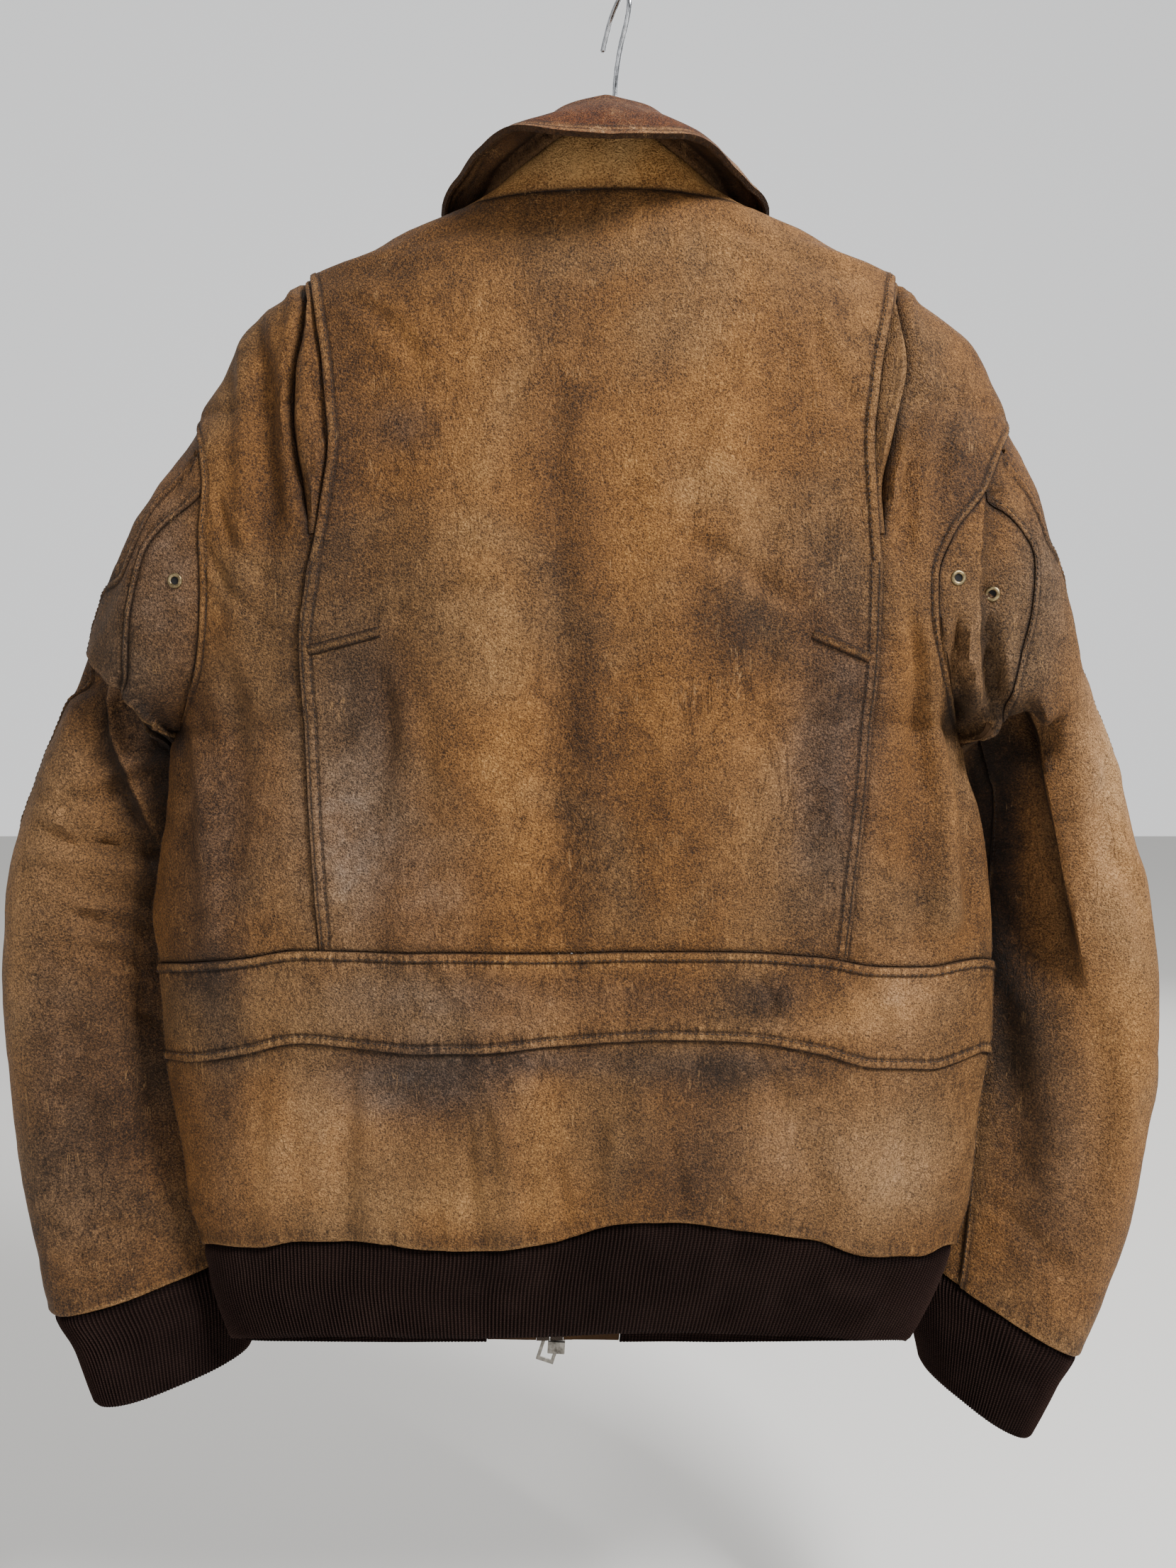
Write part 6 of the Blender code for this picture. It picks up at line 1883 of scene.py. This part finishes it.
def leather(name, stops, roughness, crack_shade, crack_share, wear=1.0):
    """Worn, waxed leather: mottled, pored, scuffed pale on its edges and dark in its seams, with
    painted shade behind fold edges, below lips and under edges, painted highlights along fold edges,
    and painted light and shade on the puckers.
    """
    material, tree, shader = new_finish(name)
    place = put(tree, "TexCoord").outputs["Object"]
    tone, scuff, seam_dark_and_shade, grey = read_look(tree)
    scuff = maths(tree, "MULTIPLY", scuff, wear)
    clouds = noise(tree, place, 15.0, 3.0, 0.5, 0.4)
    sewn = put(tree, "Attribute", attribute_name="sewn").outputs["Vector"]
    gathers = noise(tree, stretched(tree, sewn, (0.34, 0.05, 0.0)), 1.0, 2.0, 0.6)
    _, from_edge, pulled = put(tree, "SeparateXYZ", {0: sewn}).outputs
    pulled = maths(tree, "MULTIPLY", pulled, step(tree, from_edge, 0.2, 1.8))
    pulled = maths(tree, "MULTIPLY", pulled, step(tree, from_edge, 12.0, 6.0))
    gathers = maths(tree, "MULTIPLY", maths(tree, "SUBTRACT", gathers, 0.5), pulled)
    # Behind each fold edge a painted shadow (shaded), and a painted highlight along the edge's rim
    # (rim).
    behind, sure, _ = put(tree, "SeparateXYZ", {0: put(tree, "Attribute", attribute_name="fold"
                                                      ).outputs["Vector"]}).outputs
    shaded = maths(tree, "MULTIPLY", step(tree, behind, -0.4, 0.8), step(tree, behind, 15.0, 0.5))
    shaded = maths(tree, "MULTIPLY", shaded, sure)
    rim = maths(tree, "MULTIPLY", step(tree, behind, -4.0, -0.9), step(tree, behind, 0.2, -0.7))
    rim = maths(tree, "MULTIPLY", rim, sure)
    streaks = noise(tree, stretched(tree, place, (1.0, 1.0, 0.16)), 34.0, 3.0, 0.5, 0.3)
    blots = noise(tree, place, 62.0, 5.0, 0.62, 0.2)
    specks = noise(tree, place, 820.0, 4.0, 0.75)
    wavy = stretched(tree, place, (1.0, 1.0, 0.45))
    tilted = stretched(tree, place, (1.0, 1.0, 0.1), (0.5, 0.7, 0.4))
    scores = noise(tree, tilted, 210.0, 2.0, 0.5, 1.4)
    scores = maths(tree, "SUBTRACT", 1.0, maths(tree, "MULTIPLY", maths(
        tree, "ABSOLUTE", maths(tree, "SUBTRACT", scores, 0.5)), 60.0), clamp=True)
    scores = maths(tree, "MULTIPLY", scores, step(tree, noise(tree, place, 48.0, 2.0), 0.57, 0.68))
    veins = noise(tree, wavy, 58.0, 5.0, 0.62, 1.1)
    veins = maths(tree, "ABSOLUTE", maths(tree, "SUBTRACT", veins, 0.5))
    veins = maths(tree, "SUBTRACT", 1.0, maths(tree, "MULTIPLY", veins, 26.0), clamp=True)
    veins = maths(tree, "MULTIPLY", veins, maths(tree, "MULTIPLY_ADD", clouds, 3.0, -1.0), clamp=True)
    grain = put(tree, "TexVoronoi", {"Vector": place, "Scale": 1050.0, "Randomness": 1.0},
                feature="F1").outputs["Distance"]
    # The rim term is a painted highlight along the fold edges, and the gathers term paints light and
    # shade on the puckers beside the seams.
    value = weighted(tree, tone, (clouds, 0.33), (streaks, 0.26), (blots, 0.42), (specks, 1.2),
                     (grain, 0.24), (gathers, 1.0), (veins, -0.14), (rim, 0.12))
    value = maths(tree, "SUBTRACT", value, MIDDLE_VALUE)
    shade = ramp(tree, value, stops)
    olive = recast(tree, shade, 0.505, 0.93, 0.98)
    cast = noise(tree, place, 9.0, 2.0, 0.5, 0.6)
    shade = blend(tree, step(tree, cast, 0.44, 0.66), shade, olive)
    warm = recast(tree, shade, 0.499, 1.02, 1.01)
    shade = blend(tree, step(tree, cast, 0.54, 0.32), shade, warm)
    ashen = recast(tree, shade, 0.5, 0.5, 0.94)
    patch = maths(tree, "MULTIPLY_ADD", blots, 1.5, -0.25)
    patch = maths(tree, "MULTIPLY", maths(tree, "ADD", patch, 0.14), grey, clamp=True)
    shade = blend(tree, patch, shade, ashen)
    crowd = maths(tree, "MULTIPLY_ADD", blots, -2.4, 1.75)
    crowd = maths(tree, "MULTIPLY_ADD", clouds, -0.5, crowd, clamp=True)
    pits = maths(tree, "SUBTRACT", maths(tree, "MULTIPLY_ADD", specks, -0.9, 0.86), grain)
    pits = maths(tree, "MULTIPLY", pits, 6.0, clamp=True)
    pits = maths(tree, "MULTIPLY", pits, maths(tree, "MULTIPLY_ADD", crowd, 0.7, 0.3))
    shade = tint(tree, shade, pits, 0.78, colour(26, 17, 11))
    rubbed = maths(tree, "MULTIPLY_ADD", specks, 2.6, -1.12)
    rubbed = maths(tree, "MULTIPLY", maths(tree, "ADD", rubbed, maths(tree, "MULTIPLY", blots, 0.45)),
                   scuff, clamp=True)
    shade = tint(tree, shade, rubbed, 0.8, colour(186, 142, 92))
    # Darkens by the darkness channel: dark seam lines and stitch rows, and painted shade below the
    # lips, under the edges and along the pleats' folds.
    dark_and_shade_share = maths(tree, "MULTIPLY", seam_dark_and_shade, maths(tree, "MULTIPLY_ADD", blots, 0.8, 0.46), clamp=True)
    shade = blend(tree, dark_and_shade_share, shade, colour(24, 15, 9))
    shifted = blend(tree, 0.006, place, put(tree, "TexNoise", {"Vector": place, "Scale": 160.0}
                                           ).outputs["Color"])
    web = put(tree, "TexVoronoi", {"Vector": shifted, "Scale": 190.0},
              feature="DISTANCE_TO_EDGE").outputs["Distance"]
    line = maths(tree, "SUBTRACT", 1.0, maths(tree, "MULTIPLY", web, 13.0), clamp=True)
    line = maths(tree, "MULTIPLY", line, maths(tree, "MULTIPLY_ADD", blots, 3.2, -1.35), clamp=True)
    rubbed_more = maths(tree, "MULTIPLY_ADD", scuff, 1.4, crack_share, clamp=True)
    crackle = maths(tree, "MULTIPLY", line, rubbed_more, clamp=True)
    shade = tint(tree, shade, crackle, 0.75, crack_shade)
    # painted shadow behind the fold edges
    shade = tint(tree, shade, shaded, 0.82, colour(20, 13, 8))
    shade = tint(tree, shade, scores, 0.4, colour(190, 146, 96))
    tree.links.new(shade, shader.inputs["Base Color"])
    matt = maths(tree, "MULTIPLY_ADD", specks, 0.30, roughness - 0.12)
    tree.links.new(matt, shader.inputs["Roughness"])
    shader.inputs["Specular IOR Level"].default_value = 0.20
    height = weighted(tree, maths(tree, "MULTIPLY", grain, 1.1), (specks, 1.3), (blots, 1.8),
                      (crackle, -1.1), (veins, -0.8), (gathers, 5.0))
    bump = put(tree, "Bump", {"Strength": 0.85, "Distance": 0.0006, "Height": height})
    tree.links.new(bump.outputs[0], shader.inputs["Normal"])
    return material


def flesh_side(tree, place):
    """The rough, plain inner side of the leather."""
    fibres = noise(tree, place, 900.0, 4.0, 0.7)
    clouds = noise(tree, place, 40.0, 3.0, 0.5)
    value = maths(tree, "MULTIPLY_ADD", fibres, 0.5, maths(tree, "MULTIPLY", clouds, 0.5))
    return ramp(tree, value, shades((0.2, 40, 27, 17), (0.8, 84, 60, 38))), fibres


def ribbed(tree, place):
    """Dark wool knit: stitches up each rib, fuzz, rib crowns lighter as painted highlight, and painted
    shadow where the knit runs in under the leather.
    """
    tone, _, seam_dark_and_shade, _ = read_look(tree)
    fuzz = noise(tree, place, 1400.0, 4.0, 0.75)
    clouds = noise(tree, place, 30.0, 3.0, 0.5)
    loops = put(tree, "TexWave", {"Vector": place, "Scale": 235.0, "Distortion": 1.2,
                                  "Detail": 2.0, "Detail Scale": 3.0},
                wave_type="BANDS", bands_direction="Z").outputs[0]
    value = maths(tree, "MULTIPLY_ADD", fuzz, 0.42, maths(tree, "MULTIPLY", tone, 0.42))
    value = weighted(tree, value, (clouds, 0.22), (loops, 0.1), (seam_dark_and_shade, -0.3))
    shade = ramp(tree, value, shades((0.15, 5, 3, 3), (0.5, 23, 14, 12), (0.95, 60, 44, 39)))
    return shade, maths(tree, "MULTIPLY_ADD", fuzz, 0.8, loops)


def metal(name, dark, light, roughness, tarnish):
    """Plated metal with fine scratches and patches of tarnish."""
    material, tree, shader = new_finish(name)
    place = put(tree, "TexCoord").outputs["Object"]
    clouds = noise(tree, place, 260.0, 5.0, 0.65)
    scratches = noise(tree, stretched(tree, place, (1.0, 1.0, 0.1)), 2600.0, 3.0, 0.7)
    value = maths(tree, "MULTIPLY_ADD", scratches, 0.3, maths(tree, "MULTIPLY", clouds, 0.7))
    shade = ramp(tree, value, ((0.5 - tarnish, dark), (0.62, light)))
    tree.links.new(shade, shader.inputs["Base Color"])
    shader.inputs["Metallic"].default_value = 1.0
    rough = maths(tree, "MULTIPLY_ADD", clouds, 0.25, roughness - 0.1)
    tree.links.new(rough, shader.inputs["Roughness"])
    bump = put(tree, "Bump", {"Strength": 0.25, "Distance": 0.00008, "Height": scratches})
    tree.links.new(bump.outputs[0], shader.inputs["Normal"])
    return material


def waxed_thread(tree, place):
    """Waxed dark brown sewing thread."""
    fibres = noise(tree, place, 3200.0, 3.0, 0.7)
    clouds = noise(tree, place, 25.0, 3.0, 0.5)
    value = maths(tree, "MULTIPLY_ADD", fibres, 0.5, maths(tree, "MULTIPLY", clouds, 0.5))
    return ramp(tree, value, shades((0.3, 14, 9, 6), (0.7, 44, 29, 18))), fibres


def woven_tape(tree, place):
    """Woven cotton zip tape."""
    weave = put(tree, "TexWave", {"Vector": place, "Scale": 420.0, "Distortion": 0.6},
                bands_direction="DIAGONAL").outputs[0]
    fibres = noise(tree, place, 1500.0, 3.0, 0.7)
    value = maths(tree, "MULTIPLY_ADD", fibres, 0.5, maths(tree, "MULTIPLY", weave, 0.4))
    return ramp(tree, value, shades((0.2, 34, 26, 20), (0.8, 74, 58, 44))), weave


def beech(tree, place):
    """Plain varnished beech."""
    drawn = stretched(tree, place, (0.08, 1.0, 1.0))
    rings = noise(tree, drawn, 320.0, 5.0, 0.6, 0.5)
    pores = noise(tree, drawn, 1800.0, 3.0, 0.6)
    value = maths(tree, "MULTIPLY_ADD", pores, 0.3, maths(tree, "MULTIPLY", rings, 0.7))
    return ramp(tree, value, shades((0.3, 138, 98, 62), (0.7, 186, 146, 102))), pores


def plain_finish(name, shade, roughness):
    """A finish of one even shade."""
    material, _, shader = new_finish(name)
    shader.inputs["Base Color"].default_value = shade
    shader.inputs["Roughness"].default_value = roughness
    return material


# ---------------------------------------------------------------- stage
CAMERA_PLACE = (-0.020, -0.691, -0.413)
CAMERA_TILT = 87.1           # degrees up from looking straight down
CAMERA_LENS = 27.05          # mm on a 36 mm sensor
FLOOR_Z = -1.05
FLOOR_HALF = 6               # metres from the middle of the floor to its sides
WORLD_LEVEL = 0.66           # the pale surroundings, brighter beyond the jacket's front
WORLD_SWING = 0.52
LIGHTS_AIM = (0, 0, -0.45)
LIGHTS = (                   # name, place, size in metres, power in watts
    ("key", (1.15, -1.05, 1.05), 0.5, 80.0),
    ("fill", (-1.3, -1.5, 0.1), 1.3, 7.0),
    ("low", (0.5, -1.7, -0.6), 1.2, 7.0),
    ("front", (0.4, 2.0, 0.3), 1.8, 26.0),
)


def build_stage():
    """Camera, soft lights, pale floor and pale surroundings."""
    camera = bpy.data.cameras.new("camera")
    camera.lens = CAMERA_LENS
    camera.sensor_width = 36
    camera.clip_start = 0.01
    eye = link_new("camera", camera)
    eye.location = CAMERA_PLACE
    eye.rotation_euler = (math.radians(CAMERA_TILT), 0, 0)
    bpy.context.scene.camera = eye
    for name, place, size, power in LIGHTS:
        lamp = bpy.data.lights.new(name, "AREA")
        lamp.size = size
        lamp.energy = power
        obj = link_new(name, lamp)
        obj.location = place
        aim = Vector(LIGHTS_AIM) - Vector(place)
        obj.rotation_euler = aim.to_track_quat("-Z", "Y").to_euler()
    world = bpy.data.worlds.new("pale")
    world.use_nodes = True
    background = world.node_tree.nodes["Background"]
    background.inputs[0].default_value = (0.90, 0.905, 0.91, 1.0)
    way = put(world.node_tree, "TexCoord").outputs["Generated"]
    across = put(world.node_tree, "SeparateXYZ", {0: way}).outputs[1]
    glow = maths(world.node_tree, "MULTIPLY_ADD", across, WORLD_SWING, WORLD_LEVEL)
    world.node_tree.links.new(glow, background.inputs[1])
    bpy.context.scene.world = world
    corners = [(x * FLOOR_HALF, y * FLOOR_HALF, FLOOR_Z)
               for x, y in ((-1, -1), (1, -1), (1, 1), (-1, 1))]
    floor = make_mesh("floor", corners, [(0, 1, 2, 3)],
                      [plain_finish("pale_floor", colour(226, 224, 220), 0.8)])


def settle(obj, nodes):
    """Puts a piece on the jacket's body and hides the solids that it stands for."""
    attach(obj, "jacket")
    if nodes:
        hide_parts(*nodes)


LIP_DROP = 12 * MM           # the sleeve lies this far in under its underarm lip
LIP_REACH = 40 * MM
LIP_START = 5 * MM           # from the lip to where it lies that far in
LIP_CLEAR = 24 * MM          # the drop grows over this distance from the armhole
PIT_PLACES = ((-250, 0, -440), (209, 0, -440))   # where sleeve and body press together
PIT_SWELL = 3.6 * MM
PIT_REACH = 17 * MM


def build_skin():
    """The welded skin of the whole garment, with its folds and ripples."""
    rows = fine_rows()
    skin = Skin()
    armhole = build_body(skin, rows)
    for side in (-1, 1):
        build_sleeve(skin, side, rows, armhole)
    build_collar(skin)
    skin.weld()
    skin.rest_points, skin.rest_normals = skin.points.copy(), skin.normals.copy()
    height = crease_height(skin.points, skin.normals, skin.group)
    drops, skin.folds = drop_height(skin.points, skin.normals, skin.group)
    height += drops
    height += ripple_height(skin.points, skin.group)
    for side in ("left", "right"):
        distance, _ = Seam(skin.points[skin.lines["lip_" + side]]).measure(skin.points, LIP_REACH)
        below = np.zeros(len(skin.points), bool)
        for faces in skin.cells["sleeve_under_" + side]:
            below[faces.ravel()] = True
        depth = smooth(distance / LIP_START) * (1 - smooth(distance / LIP_REACH - 0.2))
        depth *= smooth(np.abs(skin.normals[:, 1]) * 2.2 - 0.6)
        body, _ = Seam(skin.points[skin.lines["armhole_" + side]]).measure(skin.points, LIP_REACH)
        depth *= smooth(body / LIP_CLEAR - 0.15)
        height -= np.where(below, LIP_DROP * depth, 0)
    for place in PIT_PLACES:
        gap = np.linalg.norm(skin.points - (np.array(place) * MM + DATUM), axis=1)
        sideways = smooth(np.abs(skin.normals[:, 0]) * 2 - 0.6)
        height += PIT_SWELL * np.exp(-(gap / PIT_REACH) ** 2) * sideways
    pinned = np.zeros(len(skin.points), bool)
    for name in ("chain_left", "chain_right"):
        pinned[skin.lines[name]] = True
    height[pinned] = 0
    skin.points = skin.points + skin.normals * height[:, None]
    skin.refresh()
    return skin


def make_finishes():
    """Every finish of the jacket, by a short name."""
    return {
        "hide": leather("worn_leather_finish", LEATHER_SHADES, 0.66, colour(34, 21, 12), 0.5),
        "collar": leather("collar_leather_finish", COLLAR_SHADES, 0.58, colour(206, 166, 122), 0.24),
        # a darker copy of the collar leather for the leaf's underside: painted shade
        "collar_back": leather("collar_underside_shade_finish", COLLAR_UNDERSIDE_SHADE_STOPS, 0.7,
                               colour(20, 10, 5), 0.1, 0.2),
        "flesh": finish("flesh_side_finish", flesh_side, 0.95, 0.6, 0.0004, 0.15),
        "knit": finish("ribbed_knit_finish", ribbed, 0.95, 0.7, 0.0005, 0.06),
        "gunmetal": metal("zip_metal_finish", colour(58, 54, 50), colour(150, 146, 138), 0.42, 0.15),
        "brass": metal("eyelet_brass_finish", colour(74, 62, 44), colour(176, 156, 116), 0.42, 0.12),
        "chrome": metal("hook_chrome_finish", colour(150, 152, 156), colour(214, 216, 220), 0.16, 0.1),
        "wood": finish("hanger_wood_finish", beech, 0.42, 0.3, 0.0001),
        "tape": finish("zip_tape_finish", woven_tape, 0.9, 0.5, 0.0002),
        "thread": finish("thread_finish", waxed_thread, 0.75, 0.5, 0.0001),
        # painted shade: the dark disc that stands for the eyelets' holes
        "hollow": plain_finish("eyelet_hole_shade_finish", colour(8, 6, 5), 0.9),
    }


def sew_cloth(skin, seams, finishes):
    """Every leather piece and the zip tapes.  Returns a search tree of each one's outside."""
    trees = {}
    for name in sorted(skin.cells):
        wall, outside, inside, slot = LEATHER, "hide", "flesh", "worn_leather"
        if name == "collar_leaf":
            wall, outside, inside, slot = COLLAR_LEATHER, "collar_back", "collar", "collar_leather"
        if name.startswith("zip_tape"):
            wall, outside, inside, slot = ZIP_WALL, "tape", "tape", "zip_metal"
        obj = cloth_piece(skin, seams, name, wall, [finishes[outside], finishes[inside]])
        trees[name] = surface_of(obj, sum(len(faces) for faces in skin.cells[name]))
        settle(obj, [name])
    return trees


def knit_bands(knit):
    """The waistband and both cuffs, with whole ribs of an even width."""
    bands = [("waistband", waistband_grid(), 6, False, True, 0.8)]
    bands += [("cuff_" + name, cuff_grid(side), 8, True, side > 0, 1.0) for side, name in SIDES]
    for name, (rows, drops), measured, closed, flip, swell in bands:
        around = np.linalg.norm(np.diff(rows[measured], axis=0), axis=1).sum()
        count = int(round(around / RIB)) * RIB_STEPS
        band = knit_band(name + "_knit", even_columns(rows, count, closed), drops, closed, flip,
                         swell, [knit, knit])
        settle(band, [name])


def stitch_seams(seams, trees, finishes):
    """The welts at the pleats' feet, and one mesh of all stitches."""
    places = []
    for line, over, _, _, offset in SEWN:
        end = PLEAT_DEPTH if line.startswith("pleat") else math.inf
        for piece in over if offset else ():
            places += stitch_places(seams[line], trees[piece], offset * MM, end=end)
    for _, side in SIDES:
        for row in DOUBLE_ROWS:
            places += stitch_places(seams["pleat_" + side], trees["back_centre"], row * MM,
                                    start=PLEAT_DEPTH)
    for row in range(len(DARTS["side"])):
        welt, lines = build_dart(trees["back_centre"], row, [finishes["hide"], finishes["flesh"]])
        node = "dart_left" if DARTS["side"][row] < 0 else "dart_right"
        settle(welt, [node])
        tree = surface_of(welt, len(welt.data.polygons))
        for seam in lines:
            places += stitch_places(seam, tree, 0.0, DART_PITCH)
    stitches = scatter("stitches", stitch_shape(), places, [finishes["thread"]])
    settle(stitches, [])


def fit_hardware(skin, seams, trees, finishes):
    """Eyelets, zip teeth, hook, hanger and the zip's metal parts."""
    gunmetal = finishes["gunmetal"]
    for node, piece in (("eyelet_left", "gusset_left"), ("eyelet_right_a", "gusset_right"),
                        ("eyelet_right_b", "gusset_right")):
        ring = build_eyelet(node, node + "_ring", trees[piece],
                            [finishes["brass"], finishes["hollow"]])
        settle(ring, [node])
    for side, name in SIDES:
        teeth = scatter("zip_teeth_" + name, tooth_shape(), tooth_places(seams, side, name),
                        [gunmetal])
        settle(teeth, [])
    settle(build_hook([finishes["chrome"]]), ["hook"])
    settle(build_hanger(skin, [finishes["wood"]]), ["hanger"])
    for node, easing in (("zip_box", 0.5 * MM), ("zip_slider", 0.4 * MM)):
        settle(eased_copy(node, node + "_metal", easing, [gunmetal]), [node])
    pull = eased_copy("zip_pull", "zip_pull_metal", 0.25 * MM, [gunmetal])
    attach(pull, "pull")
    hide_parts("zip_pull")


def main():
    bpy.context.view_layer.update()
    finishes = make_finishes()
    build_stage()
    skin = build_skin()
    seams = {name: Seam(skin.points[ids]) for name, ids in skin.lines.items()}
    trees = sew_cloth(skin, seams, finishes)
    knit_bands(finishes["knit"])
    stitch_seams(seams, trees, finishes)
    fit_hardware(skin, seams, trees, finishes)


main()
